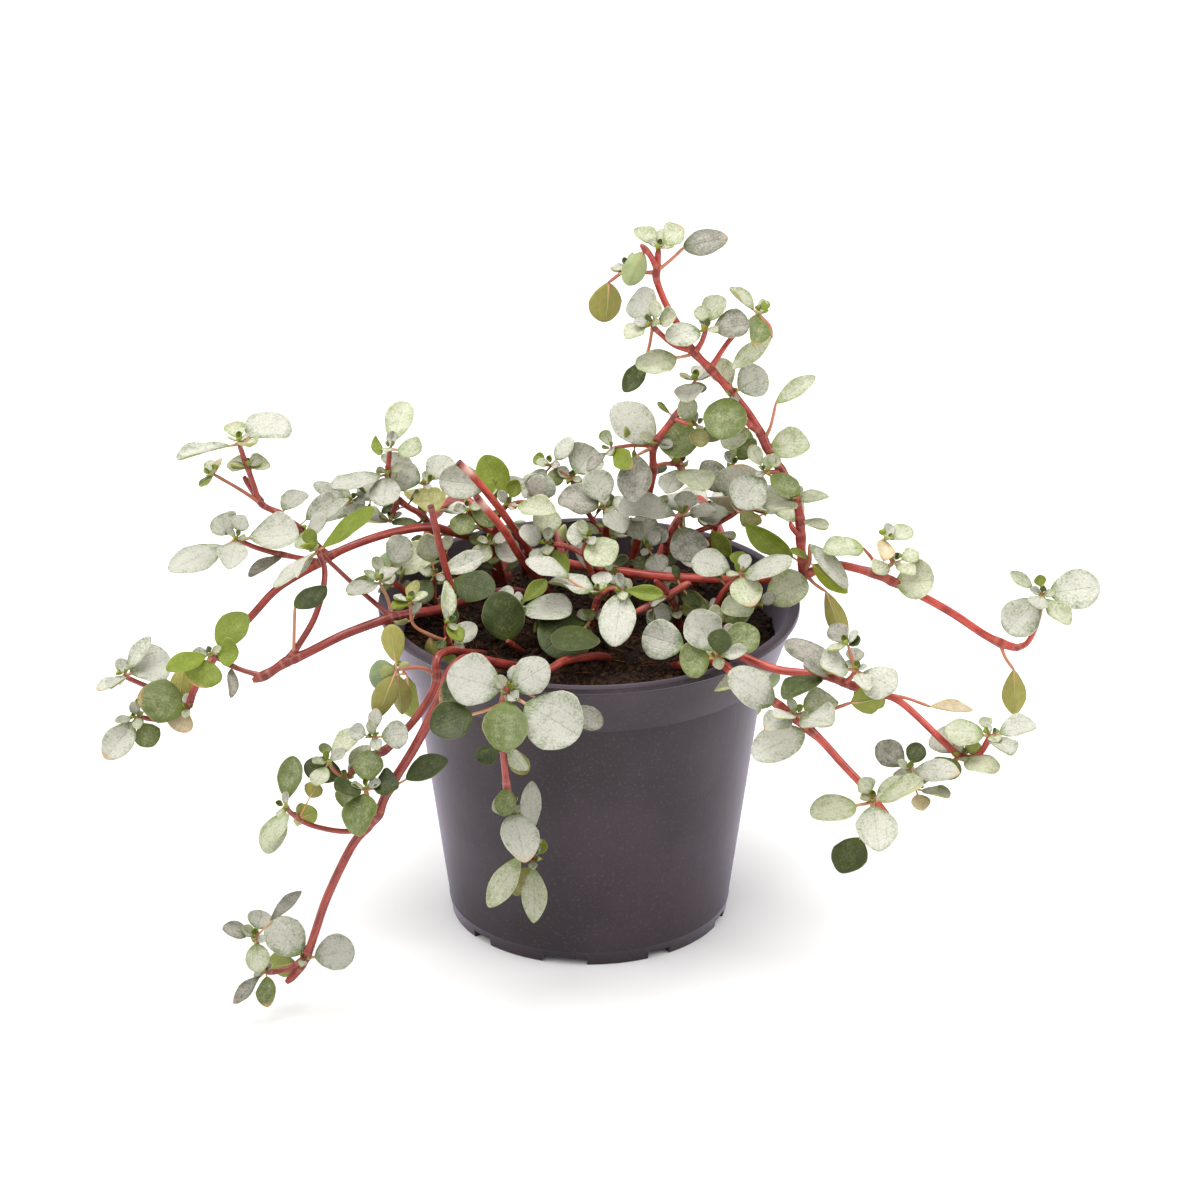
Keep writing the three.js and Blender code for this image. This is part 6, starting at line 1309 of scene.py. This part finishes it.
# %% A tree that sweeps a circle along lines
def stem_tree():
    board, given = geometry_board("stems", Sides="Int", Material="Material")
    lines = board.node("GeometryNodeMeshToCurve", {}, {"Mesh": given["Geometry"]})
    ring = board.node("GeometryNodeCurvePrimitiveCircle", {}, {"Resolution": given["Sides"], "Radius": MM})
    ring = store(board, ring, "around", board.node("GeometryNodeInputPosition") * (1 / MM))
    girth = named(board, "girth", "FLOAT")
    sweep = {"Curve": lines, "Profile Curve": ring, "Scale": girth, "Fill Caps": True}
    swept = board.node("GeometryNodeCurveToMesh", {}, sweep)
    swept = board.node("GeometryNodeRealizeInstances", {}, {"Geometry": swept})
    return close_tree(board, swept, given["Material"])


stems_tree = stem_tree()


def lines_mesh(name, lines, sides):
    """Lines as one swept mesh. Each place of a line has its girth (radius), paleness, knot and age."""
    places = np.vstack([line["places"] for line in lines])
    edges, start = [], 0
    for line in lines:
        count = len(line["places"])
        edges += [(start + k, start + k + 1) for k in range(count - 1)]
        start += count
    mesh = bpy.data.meshes.new(name)
    mesh.from_pydata(((places + POT_AXIS) * MM).tolist(), edges, [])
    for key in ("girth", "pale", "knot", "grown", "old"):
        give(mesh, key, np.concatenate([line[key] for line in lines]), "FLOAT")
    return run_tree(name, mesh, stems_tree, Sides=sides, Material=stem_material)


print("stem tree:", len(stems_tree.nodes), "nodes")

# %% Lines of stems, with knots where something leaves them
# A stem is this much thinner between its knots, and swells by so much at them
BETWEEN_KNOTS, KNOT_SWELL = 0.88, 0.24
KNOT_REACH, KNOT_SEARCH = 1.0, 1.2
# How far from the root a stem darkens: the darker red of old stem and painted shade near the peat
AGE_AND_SHADE_REACH = 18
# The last two radii of a stem taper to its tip
TIP_TAPER = (0.88, 0.55)
# How far the red of a whole stem has darkened: partly its own darker red, partly painted shade on the stems
# that hang in front of the pot. Below nought, its branches are fresh and pinkish
DARKENED = {
    "stem_left_long": 0.62, "stem_left_low": 0.85, "stem_front_left_long": 0.75, "stem_front_left_short": 0.7,
    "stem_right_long": 0.08, "stem_right_upper": 0.08, "stem_right_lower": 0.08, "shoot_tall_middle": 0.2,
    "shoot_front_middle": -0.22, "stem_front": 0.6,
}
USUALLY_DARKENED = 0.35


def grown_along(places):
    """How far along a line each of its places is."""
    return np.concatenate([[0], np.cumsum(lengths(np.diff(places, axis=0)))])


def stem_line(places, radii, leaving, pale, rooted_here=False):
    """A line with its knots. A stem is darker near the peat: partly the darker red of old stem, partly
    painted shade under the leaves.
    """
    grown = grown_along(places)
    knot = np.zeros(len(places))
    for place in leaving:
        gap = lengths(places - place)
        if gap.min() < KNOT_SEARCH:
            knot = np.maximum(knot, np.exp(-((grown - grown[gap.argmin()]) / KNOT_REACH) ** 2))
    old = np.clip(1 - (grown - ROOT_DEPTH) / AGE_AND_SHADE_REACH, 0, 1) if rooted_here else np.zeros(len(places))
    return {
        "places": places, "girth": radii * (BETWEEN_KNOTS + KNOT_SWELL * knot), "grown": grown,
        "pale": np.full(len(places), pale), "knot": knot, "old": old,
    }


def stems_of(node):
    leaving = [bunch["middle"] for bunch in node["sprigs"]] + [b["points"][0] for b in node["shoots"][1:]]
    darkened = DARKENED.get(node["name"], USUALLY_DARKENED)
    lines = []
    for index, branch in enumerate(node["shoots"]):
        fine = course(branch, FINE_STEP)
        places, radii = fine if index else rooted(fine)
        # Thin branches are paler
        pale = float(np.clip((0.95 - branch["thick"]) * 1.4, 0, 0.55))
        if index and darkened < 0:
            pale = darkened
        line = stem_line(places, radii, leaving, pale, rooted_here=index == 0)
        line["girth"][-2:] *= TIP_TAPER
        line["old"] = np.maximum(line["old"], darkened)
        lines.append(line)
    return lines


print("stems with their own darkness:", len(DARKENED))

# %% Stalks, and the ribs that they run into
def fold_of(leaf, along):
    """How far the middle of the underside lies below the blade's middle surface, as the leaf tree has it."""
    point, _, phase = leaf["edge"]
    egg = along ** (EGG + phase * EGG_SPREAD) * 2 - 1
    full = np.sqrt(np.maximum(1 - egg * egg, 0))
    lean = np.maximum(1 - np.abs(egg) ** POINTED, 0)
    width = full + (lean - full) * point
    return (FOLD * phase + LEAST_FOLD) * width + 0.5 * leaf["thickness"] * np.minimum(width * CUSHION, 1)


# A stalk has three places and the rib after it five. Along them the line grows thinner, paler and greener
STALK_PLACES = np.linspace(0, 1, 4)[:-1]
RIB_PLACES = np.array([0.04, 0.2, 0.4, 0.62, 0.82])
STALK_GIRTH = np.array([1.5, 1.05, 0.95, 0.95, 0.7, 0.5, 0.35, 0.15])
STALK_PALE = np.array([0.3, 0.62, 0.85, 1.0, 1.5, 1.9, 2.0, 2.0])
STALK_GROWN = np.arange(8) * 0.8
# How far a stalk bows, how thick it is for its leaf's breadth, and between which radii
BOW, STALK_SHARE, THINNEST_STALK, THICKEST_STALK = 0.12, 0.042, 0.13, 0.24


def stalk_line(leaf):
    """The stalk from the stem to the blade, a little bowed, and the rib below the blade."""
    bow = BOW * leaf["stalk"] * 4 * STALK_PLACES * (1 - STALK_PLACES)
    stalk = leaf["foot"] + np.outer(STALK_PLACES * leaf["stalk"], leaf["way"]) - np.outer(bow, leaf["face"])
    rib = blade_points(leaf, RIB_PLACES, np.zeros(5), -fold_of(leaf, RIB_PLACES))
    thick = float(np.clip(leaf["breadth"] * STALK_SHARE, THINNEST_STALK, THICKEST_STALK))
    none = np.zeros(8)
    return {
        "places": np.vstack([stalk, rib]), "girth": thick * STALK_GIRTH, "pale": STALK_PALE,
        "knot": none, "grown": STALK_GROWN, "old": none,
    }


print("places along a stalk and its rib:", len(STALK_GIRTH))

# %% The buds in the heart of a tuft, and pairs of young leaves
# An open pair of buds and a folded one: how far they open, their length, their droop and their cup
BUD_PAIRS = [((50, 68), (1.5, 2.6), 0.12, 0.12), ((24, 40), (0.9, 1.4), -0.1, 0.25)]
BUD_TURNS = (0, math.pi, math.pi / 2, -math.pi / 2)
BUD_TONES = ("pale", "silver", "green", "lime")
PAIR_TONES = ("green", "silver", "dark", "pale", "green")
# Where the first pair stands on a shoot, how far apart they are, and how far from the tip and from sprigs
FIRST_PAIR, PAIR_STEP, TIP_ROOM, SPRIG_ROOM = 2.6, 3.6, 1.5, 2


def around(axis, angle):
    """The way outward from an axis at this turn round it."""
    first = unit(np.cross(axis, [0.3, 1, 0.2]))
    return first * math.cos(angle) + np.cross(axis, first) * math.sin(angle)


def buds_of(node, number):
    """A small open pair of young leaves in the middle of each tuft, and a folded pair across it."""
    rng = np.random.default_rng(4000 + number)
    buds = []
    for bunch in node["sprigs"]:
        if len(bunch["blades"]) < 2:
            continue
        start = rng.uniform(0, 2 * math.pi)
        for k, turn in enumerate(BUD_TURNS):
            opening, size, droop, cup = BUD_PAIRS[k // 2]
            out = around(bunch["axis"], start + turn + rng.uniform(-0.25, 0.25))
            ways = opened(bunch["axis"], out, math.radians(rng.uniform(*opening)))
            length = rng.uniform(*size)
            buds.append({
                "foot": bunch["middle"] + bunch["axis"] * 0.2, **ways, "stalk": 0.3, "length": length,
                "breadth": length * rng.uniform(0.68, 0.85), "droop": droop, "cup": cup, "twist": 0.2,
                "tone": BUD_TONES[k], "away": False,
            })
    return buds


def young_pairs(node, number):
    """Pairs of leaves under 3 mm along the short shoots that fill the middle, each pair across the last."""
    rng = np.random.default_rng(6000 + number)
    pairs = []
    shoots = node["shoots"] if node["name"].startswith("shoot_") else []
    for branch in shoots:
        places, radii = course(branch, FINE_STEP)
        grown = grown_along(places)
        for rank, reach in enumerate(np.arange(FIRST_PAIR, grown[-1] - TIP_ROOM, PAIR_STEP)):
            index = int(np.searchsorted(grown, reach))
            place = places[index]
            if min(np.linalg.norm(bunch["middle"] - place) for bunch in node["sprigs"]) < SPRIG_ROOM:
                continue
            axis = unit(places[index] - places[index - 1])
            start = rng.uniform(-0.4, 0.4) + rank * math.pi / 2
            tone = PAIR_TONES[int(rng.integers(5))]
            for angle in (start, start + math.pi):
                out = around(axis, angle)
                ways = opened(axis, out, math.radians(rng.uniform(52, 76)))
                length = rng.uniform(2.1, 2.9)
                pairs.append({
                    "foot": place + out * radii[index] * 0.5, **ways, "stalk": 0.9, "length": length,
                    "breadth": length * rng.uniform(0.72, 0.9), "droop": 0.15, "cup": 0.1,
                    "twist": rng.uniform(-0.3, 0.3), "tone": tone, "away": False,
                })
    return pairs


print("buds in a tuft:", len(BUD_TURNS))

# %% Every leafy stem as one piece
STEM_SIDES, STALK_SIDES, BARE_SIDES = 12, 6, 16
SMALL_LEAF = 4.5
# For large leaves, small ones and buds: the rows and columns of a blade, its thickness, and its first seed
GRIDS = [(17, 21, 0.42, 0), (13, 15, 0.34, 50), (8, 9, 0.22, 75)]
# The leaves that hang in front of the pot get painted shade: their colours are a little darker than those in
# the open
SHADE_PAINTED_ON_LEAVES = {
    "stem_front": 0.82, "stem_front_left_long": 0.86, "stem_front_left_short": 0.88, "stem_left_low": 0.95,
}


def piece_of(name, meshes, nodes):
    """Joins meshes into the piece that stands for these nodes."""
    parts = [new_object(name, mesh) for mesh in meshes]
    if len(parts) > 1:
        with bpy.context.temp_override(active_object=parts[0], selected_editable_objects=parts):
            bpy.ops.object.join()
    piece = parts[0]
    piece.name = piece.data.name = name
    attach(piece, "root")
    if nodes:
        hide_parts(*nodes)
    return piece


def past_solid(piece, name):
    """How far the piece reaches past its solid's box, in mm."""
    low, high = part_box(name)
    made = np.array([corner[:] for corner in piece.bound_box])
    return np.maximum(np.array(low) - made.min(0), made.max(0) - np.array(high)).max() / MM


triangles = 0
for number, node in enumerate(plant):
    young = young_pairs(node, number)
    buds = buds_of(node, number) + young
    large = [leaf for leaf in node["leaves"] if leaf["length"] > SMALL_LEAF]
    small = [leaf for leaf in node["leaves"] if leaf["length"] <= SMALL_LEAF]
    meshes = [lines_mesh("lines", stems_of(node), STEM_SIDES)]
    for leaves, (rows, columns, thickness, seed_step) in zip((large, small, buds), GRIDS):
        first = number * 100 + seed_step
        if leaves:
            shape_leaves(leaves, thickness, first, SHADE_PAINTED_ON_LEAVES.get(node["name"], 1.0))
            meshes.append(leaves_mesh(leaves, rows, columns, thickness, first))
    meshes.append(lines_mesh("stalks", [stalk_line(leaf) for leaf in node["leaves"] + young], STALK_SIDES))
    piece = piece_of("leafy_" + node["name"], meshes, [node["name"]])
    faces = sum(len(face.vertices) - 2 for face in piece.data.polygons)
    triangles += faces
    counts = f"{len(node['leaves'])} leaves, {len(buds)} young ones, {faces} triangles"
    print(f"{node['name']}: {counts}, {past_solid(piece, node['name']):.2f} mm past its solid")
print("triangles of leafy stems:", triangles)

# %% The bare stems, with a dark cut end
CUT_REACH = 0.7
# A pale ring stands below the cut: how far from the end, and how wide
RING_PLACE, RING_REACH = 1.8, 0.9
# How dark the cut is, and how dark the first bare stem is all along
CUT_DARK, FIRST_DARK = 1.3, 0.62
for index, branch in enumerate(bare_stems):
    places, radii = rooted(course(branch, FINE_STEP))
    line = stem_line(places, radii, [], 0.0, rooted_here=True)
    left = line["grown"][-1] - line["grown"]
    line["knot"] = np.exp(-((left / CUT_REACH) ** 2))
    line["old"] = np.maximum(line["old"], CUT_DARK * line["knot"])
    if index:
        line["pale"] = -np.exp(-(((left - RING_PLACE) / RING_REACH) ** 2))
    else:
        line["old"] = np.maximum(line["old"], FIRST_DARK)
    bare = lines_mesh("bare", [line], BARE_SIDES)
    bare.set_sharp_from_angle(angle=math.radians(50))
    piece_of(f"bare_coral_stem_{index + 1}", [bare], [f"bare_stem_{index + 1}"])
print("bare stems:", len(bare_stems))

# %% [markdown]
# ## The pot
#
# A nursery pot is blown or pressed from thin plastic: a tapered body, a wider collar that stacks on the next
# pot, a thin lip, a foot ring with notches that let water out. It is round, so its wall is a profile that
# turns about the axis, and the notches and drainage holes are cut from it. The finish is a
# grey-mauve plastic with a fine grain, faint flow lines and dusty scuffs.

# %% Bodies that turn about the pot's axis
def to_mesh(body, name):
    """The body, built in millimetres about the origin, as a mesh about the pot's axis."""
    bmesh.ops.translate(body, verts=body.verts, vec=POT_AXIS)
    bmesh.ops.scale(body, verts=body.verts, vec=(MM, MM, MM))
    bmesh.ops.recalc_face_normals(body, faces=body.faces)
    mesh = bpy.data.meshes.new(name)
    body.to_mesh(mesh)
    body.free()
    return mesh


def lathe(name, profile, turns):
    """A closed body. Its profile starts and ends on the axis. A height may depend on radius and angle."""
    body = bmesh.new()
    rings = []
    for radius, height in profile:
        ring = []
        for k in range(turns if radius else 1):
            angle = 2 * math.pi * k / turns
            z = height(radius, angle) if callable(height) else height
            ring.append(body.verts.new((radius * math.cos(angle), radius * math.sin(angle), z)))
        rings.append(ring)
    for one, other in zip(rings, rings[1:]):
        for k in range(turns):
            after = (k + 1) % turns
            corners = [one[k % len(one)], one[after % len(one)]]
            corners += [other[after % len(other)], other[k % len(other)]]
            body.faces.new(list(dict.fromkeys(corners)))
    return to_mesh(body, name)


print("turned bodies stand about, mm:", POT_AXIS.round(2))

# %% The pot's profile
FLOOR_UNDER, FLOOR_TOP = 1.4, 2.6
EDGE = 0.12
LIP = RIM - LIP_STEP


def beside(radius, height, steps):
    """Corners near a place, each by a step outward and a step up."""
    return [(radius + out, height + up) for out, up in steps]


foot_ring = [(0, FLOOR_UNDER), (FOOT - WALL, FLOOR_UNDER), (FOOT - WALL, EDGE)]
foot_ring += [(FOOT - WALL + EDGE, 0), (FOOT - EDGE, 0), (FOOT, EDGE)]
bead = [(body_at(level) + out, level) for level, out in ((2.0, 0), (2.12, 0.07), (2.3, 0.07), (2.42, 0))]
body = [(body_at(level), level) for level in (14, 26, 38.6, 39.6)]
shoulder = [(BODY_TOP + 0.3, SHOULDER - 0.05)]
shoulder += beside(COLLAR_FOOT, SHOULDER, [(-0.3, -0.05), (-0.06, 0.04), (0.06, 0.3), (1.3, 3.9)])
lip = beside(LIP, POT_HEIGHT, [(-0.02, -1.05), (0.04, -0.93)])
lip += beside(RIM, POT_HEIGHT, [(-0.14, -0.9), (0, -0.76), (0, -0.2), (-0.07, -0.05), (-0.2, 0)])
lip += beside(LIP - WALL, POT_HEIGHT, [(0.2, 0), (0.05, -0.06), (0, -0.25)])
inside = beside(COLLAR_FOOT - WALL, SHOULDER, [(0, 0.2), (-0.1, 0)])
inside += [(BODY_TOP - WALL, SHOULDER - WALL), (body_at(2.8) - WALL, 2.8)]
inside += [(body_at(FLOOR_TOP) - WALL - 0.15, FLOOR_TOP), (0, FLOOR_TOP)]
pot_profile = foot_ring + bead + body + shoulder + lip + inside
print("corners of the pot's profile:", len(pot_profile))

# %% Notches and drainage holes
NOTCHES, FIRST_NOTCH, NOTCH_STEP = 9, -100, 40
WIDE_NOTCH, NARROW_NOTCH, NOTCH_DEPTH, NOTCH_HEIGHT = 6.4, 3.6, 6.6, 2.2
HOLES, HOLE_RADIUS, HOLE_CIRCLE, HOLE_DEPTH, HOLE_LEVEL = 5, 1.6, 10, 4, 2
POT_TURNS = 144


def add_notch(body, width, angle):
    """A box that stands across the foot ring at this angle."""
    spun = bmesh.ops.create_cube(body, size=1.0)["verts"]
    bmesh.ops.scale(body, verts=spun, vec=(NOTCH_DEPTH, width, NOTCH_HEIGHT))
    bmesh.ops.translate(body, verts=spun, vec=(FOOT, 0, 0))
    for vertex in spun:
        x, y, z = vertex.co
        vertex.co = (x * math.cos(angle) - y * math.sin(angle), x * math.sin(angle) + y * math.cos(angle), z)


def add_hole(body, angle):
    drill = {"segments": 32, "radius1": HOLE_RADIUS, "radius2": HOLE_RADIUS, "depth": HOLE_DEPTH}
    spun = bmesh.ops.create_cone(body, cap_ends=True, **drill)["verts"]
    place = (HOLE_CIRCLE * math.cos(angle), HOLE_CIRCLE * math.sin(angle), HOLE_LEVEL)
    bmesh.ops.translate(body, verts=spun, vec=place)


def cutters():
    body = bmesh.new()
    for index in range(NOTCHES):
        width = NARROW_NOTCH if index % 3 else WIDE_NOTCH
        add_notch(body, width, math.radians(FIRST_NOTCH + NOTCH_STEP * index))
    for index in range(HOLES):
        add_hole(body, 2 * math.pi * index / HOLES)
    return to_mesh(body, "cuts")


def cut(mesh, cuts):
    solid, tool = new_object("solid", mesh), new_object("tool", cuts)
    modifier = solid.modifiers.new("cut", "BOOLEAN")
    modifier.object, modifier.operation, modifier.solver = tool, "DIFFERENCE", "EXACT"
    made = evaluated(solid)
    bpy.data.objects.remove(tool)
    return made


pot_mesh = cut(lathe("pot_wall", pot_profile, POT_TURNS), cutters())
pot_mesh.shade_smooth()
pot_mesh.set_sharp_from_angle(angle=math.radians(32))
pot = piece_of("nursery_pot", [pot_mesh], ["pot"])
print("pot:", len(pot.data.polygons), "faces")

# %% The pot's plastic
def pot_finish():
    material, board = new_finish("grey_mauve_plastic")
    mm = board.in_mm()
    cloud = board.noise(mm, 0.07, 3.0)
    grain = board.noise(mm, 2.6, 4.0)
    dust = board.noise(mm + (40.0, 5.0, 9.0), 0.8, 4.0)
    flow = board.noise(mm * (1.0, 1.0, 0.06), 0.9)
    colour = board.coats(
        paint(46, 36, 41), (board.smooth(cloud, 0.35, 0.65), paint(55, 45, 50)),
        (board.smooth(grain, 0.54, 0.72) * 0.3, paint(86, 78, 86)),
        (board.smooth(dust, 0.64, 0.8) * 0.08, paint(128, 118, 124)),
    )
    roughness = 0.36 + grain * 0.16 + dust * 0.08
    shader = finish(board, colour, roughness, 0.26, grain * 0.5 + flow * 0.7, 0.06, 0.35)
    shader.inputs["Sheen Weight"].default_value = 0.62
    shader.inputs["Sheen Tint"].default_value = (0.8, 0.7, 0.95, 1)
    shader.inputs["Sheen Roughness"].default_value = 0.35
    return material


# The cut leaves a material number on every face, and clearing the list takes it off
pot.data.materials.clear()
pot.data.materials.append(pot_finish())
print("finishes on the pot:", len(pot.data.materials))

# %% [markdown]
# ## The peat
#
# Fine dark peat, crumbly on top, with paler bits of bark and reddish fibres. The body is a disc in rings
# whose top follows the frame's waves and gets lumps from noise; crumbs and fibres are then scattered on it
# by a geometry tree with a fixed seed. Bump alone would look flat at the rim, where the peat is seen side on.

# %% The body of the peat
PEAT_ROOM, PEAT_FOOT = 0.35, 2.95
PEAT_RINGS, PEAT_SPOKES = 44, 150
# The top sinks a little where it meets the wall
SINK, SINK_REACH = 0.5, 1.2
peat_edge = float(wall_at(np.array(SOIL_LEVEL))[0]) - PEAT_ROOM


def peat_height(radius, angle):
    """The frame's top of the peat, with lumps a few mm wide, finer grit, and the sunk edge."""
    x, y = radius * math.cos(angle), radius * math.sin(angle)
    lump = noise.fractal(Vector((x * 0.35, y * 0.35, 1.7)), 0.9, 2.1, 4) * 0.55
    grit = noise.noise(Vector((x * 1.9, y * 1.9, 5.2))) * 0.22
    sunk = SINK * max(0.0, (radius - peat_edge + SINK_REACH) / SINK_REACH)
    return float(soil_top(x, y)) + lump + grit - sunk


peat_profile = [(0, PEAT_FOOT), (float(wall_at(np.array(3.0))[0]) - PEAT_ROOM, PEAT_FOOT)]
peat_profile += [(BODY_TOP - WALL - PEAT_ROOM, SHOULDER - WALL), (COLLAR_FOOT - WALL - PEAT_ROOM, SHOULDER)]
peat_profile += [(peat_edge * k / PEAT_RINGS, peat_height) for k in range(PEAT_RINGS, -1, -1)]
peat_mesh = lathe("peat", peat_profile, PEAT_SPOKES)
peat_mesh.shade_smooth()
peat = piece_of("peat", [peat_mesh], ["soil"])
print("peat:", len(peat.data.polygons), "faces")


# %% The finish of peat, bark and fibres
def peat_finish(name, *colours):
    """Dark and lighter crumbs with flecks, in these three colours."""
    dark, light, fleck = (paint(*colour) for colour in colours)
    material, board = new_finish(name)
    mm = board.in_mm()
    crumb = board.noise(mm, 1.3, 4.0)
    grit = board.noise(mm, 5.0, 3.0)
    flecked = board.smooth(grit, 0.6, 0.72) * 0.75
    colour = board.coats(dark, (board.smooth(crumb, 0.35, 0.68), light), (flecked, fleck))
    finish(board, colour, 0.72 + crumb * 0.24, 0.12, crumb * 0.7 + grit * 0.4, 0.35, 0.9)
    return material


peat.data.materials.append(peat_finish("dark_peat", (18, 12, 8), (44, 31, 20), (100, 74, 50)))
print("finishes on the peat:", len(peat.data.materials))

# %% Crumbs and fibres on the peat
# A face takes crumbs where its normal points up by more than this
LEAST_UP = 0.45
# Noise that makes each shape uneven: its scale, and how far it moves a corner
ROUGH_SCALE, ROUGHNESS = 1.7, 0.5 * MM


def scatter_tree(name, shape):
    """A tree that scatters a shape on the upward faces of a mesh."""
    inputs = {"Density": "Float", "Seed": "Int", "Least": "Float", "Most": "Float", "Material": "Material"}
    board, given = geometry_board(name, **inputs)
    seeded = {"Seed": given["Seed"]}
    up = board.parts(board.node("GeometryNodeInputNormal"))[2]
    chosen = board.node("FunctionNodeCompare", {"operation": "GREATER_THAN"}, {0: up, 1: LEAST_UP})
    spread = {"Mesh": given["Geometry"], "Selection": chosen, "Density": given["Density"], **seeded}
    spots = board.node("GeometryNodeDistributePointsOnFaces", {}, spread)
    sizes = {2: given["Least"], 3: given["Most"], **seeded}
    size = board.node("FunctionNodeRandomValue", {"data_type": "FLOAT"}, sizes, out=1)
    turns = {0: (-0.5, -0.5, 0.0), 1: (0.5, 0.5, 6.28), **seeded}
    turn = board.node("FunctionNodeRandomValue", {"data_type": "FLOAT_VECTOR"}, turns)
    placing = {"Points": spots, "Instance": shape(board), "Rotation": turn, "Scale": size}
    shapes = board.node("GeometryNodeInstanceOnPoints", {}, placing)
    real = board.node("GeometryNodeRealizeInstances", {}, {"Geometry": shapes})
    place = board.node("GeometryNodeInputPosition") * (1 / MM)
    waves = {"Vector": place, "Scale": ROUGH_SCALE, "Detail": 1.0}
    rough = board.node("ShaderNodeTexNoise", {}, waves, out="Color")
    uneven = {"Geometry": real, "Offset": (rough - 0.5) * ROUGHNESS}
    return close_tree(board, board.node("GeometryNodeSetPosition", {}, uneven), given["Material"])


def crumb_shape(board):
    ball = board.node("GeometryNodeMeshIcoSphere", {}, {"Radius": MM, "Subdivisions": 1})
    return board.node("GeometryNodeTransform", {}, {"Geometry": ball, "Scale": (1.0, 0.75, 0.6)})


def fibre_shape(board):
    ends = {"Start": (-MM, 0.0, 0.0), "End": (MM, 0.1 * MM, 0.05 * MM), "Resolution": 8}
    ends["Start Handle"] = (-0.4 * MM, 0.5 * MM, 0.25 * MM)
    ends["End Handle"] = (0.4 * MM, -0.4 * MM, 0.2 * MM)
    arc = board.node("GeometryNodeCurvePrimitiveBezierSegment", {}, ends)
    ring = board.node("GeometryNodeCurvePrimitiveCircle", {}, {"Resolution": 4, "Radius": 0.035 * MM})
    return board.node("GeometryNodeCurveToMesh", {}, {"Curve": arc, "Profile Curve": ring, "Fill Caps": True})


# %% Scatter them
def scatter(name, shape, **inputs):
    """Scatters a shape on the peat. Its sizes are half widths in mm, its density is for a square metre."""
    mesh = run_tree(name, peat.data.copy(), scatter_tree(name, shape), **inputs)
    print(name + ":", len(mesh.polygons), "faces")
    piece_of("peat_" + name, [mesh], [])


bark = peat_finish("bark_crumbs", (25, 16, 12), (66, 43, 31), (132, 100, 72))
red = peat_finish("red_fibres", (70, 36, 24), (118, 70, 44), (156, 116, 80))
scatter("crumbs", crumb_shape, Density=8.0e5, Seed=11, Least=0.18, Most=0.95, Material=bark)
scatter("fibres", fibre_shape, Density=8.0e4, Seed=5, Least=0.8, Most=2.2, Material=red)

# %% [markdown]
# ## Floor, light and camera
#
# The plant stands on a plain pale floor in soft studio light: one wide light above, one at each side, one in
# front, and a pale sky all round, so shadows are faint and the silver leaves stay bright. The camera looks
# down 24 degrees through a long lens.

# %% Floor
FLOOR_REACH = 3
floor_mesh = bpy.data.meshes.new("floor")
corners = [(x * FLOOR_REACH, y * FLOOR_REACH, 0) for x, y in ((-1, -1), (1, -1), (1, 1), (-1, 1))]
floor_mesh.from_pydata(corners, [], [(0, 1, 2, 3)])
floor = new_object("pale_floor", floor_mesh)
floor_material, floor_board = new_finish("pale_floor")
for name, value in {"Base Color": (0.97, 0.97, 0.97, 1), "Roughness": 0.9, "Specular IOR Level": 0.1}.items():
    floor_board.tree.nodes["Principled BSDF"].inputs[name].default_value = value
floor_mesh.materials.append(floor_material)
print("floor, metres wide:", 2 * FLOOR_REACH)

# %% Lights and sky
def turned_to(place, target):
    return (Vector(target) - Vector(place)).to_track_quat("-Z", "Y").to_euler()


def soft_light(name, place, height, size, power):
    """A square light that looks at the pot's axis at this height."""
    lamp = bpy.data.lights.new(name, "AREA")
    lamp.shape, lamp.size, lamp.energy = "SQUARE", size, power
    stand = new_object(name, lamp)
    stand.location = place
    stand.rotation_euler = turned_to(place, (0, 0, height))


soft_light("top_light", (-0.1, 0.05, 0.9), 0.05, 0.6, 7.6)
soft_light("left_light", (-0.8, -0.3, 0.45), 0.05, 0.5, 2.9)
soft_light("right_light", (0.8, -0.2, 0.5), 0.05, 0.5, 3.5)
soft_light("front_light", (-0.15, -0.8, 0.9), 0.04, 0.6, 2.2)
sky = bpy.data.worlds.new("pale_sky")
sky.use_nodes = True
sky.node_tree.nodes["Background"].inputs["Color"].default_value = (1, 1, 1, 1)
sky.node_tree.nodes["Background"].inputs["Strength"].default_value = 0.62
bpy.context.scene.world = sky
bpy.context.scene.view_settings.view_transform = "Standard"
print("lights:", len(bpy.data.lights))

# %% Camera
# The eye and the point it looks at, in mm from the foot of the pot's axis
EYE = (1.56, -656.8, 340.4)
AIM = (1.56, 0, 48)
camera_data = bpy.data.cameras.new("camera")
camera_data.lens, camera_data.sensor_width = 151.7, 36
camera = new_object("camera", camera_data)
camera.location = [(a + b) * MM for a, b in zip(EYE, POT_AXIS)]
camera.rotation_euler = turned_to(EYE, AIM)
bpy.context.scene.camera = camera
print("camera, mm from the foot of the axis:", EYE)
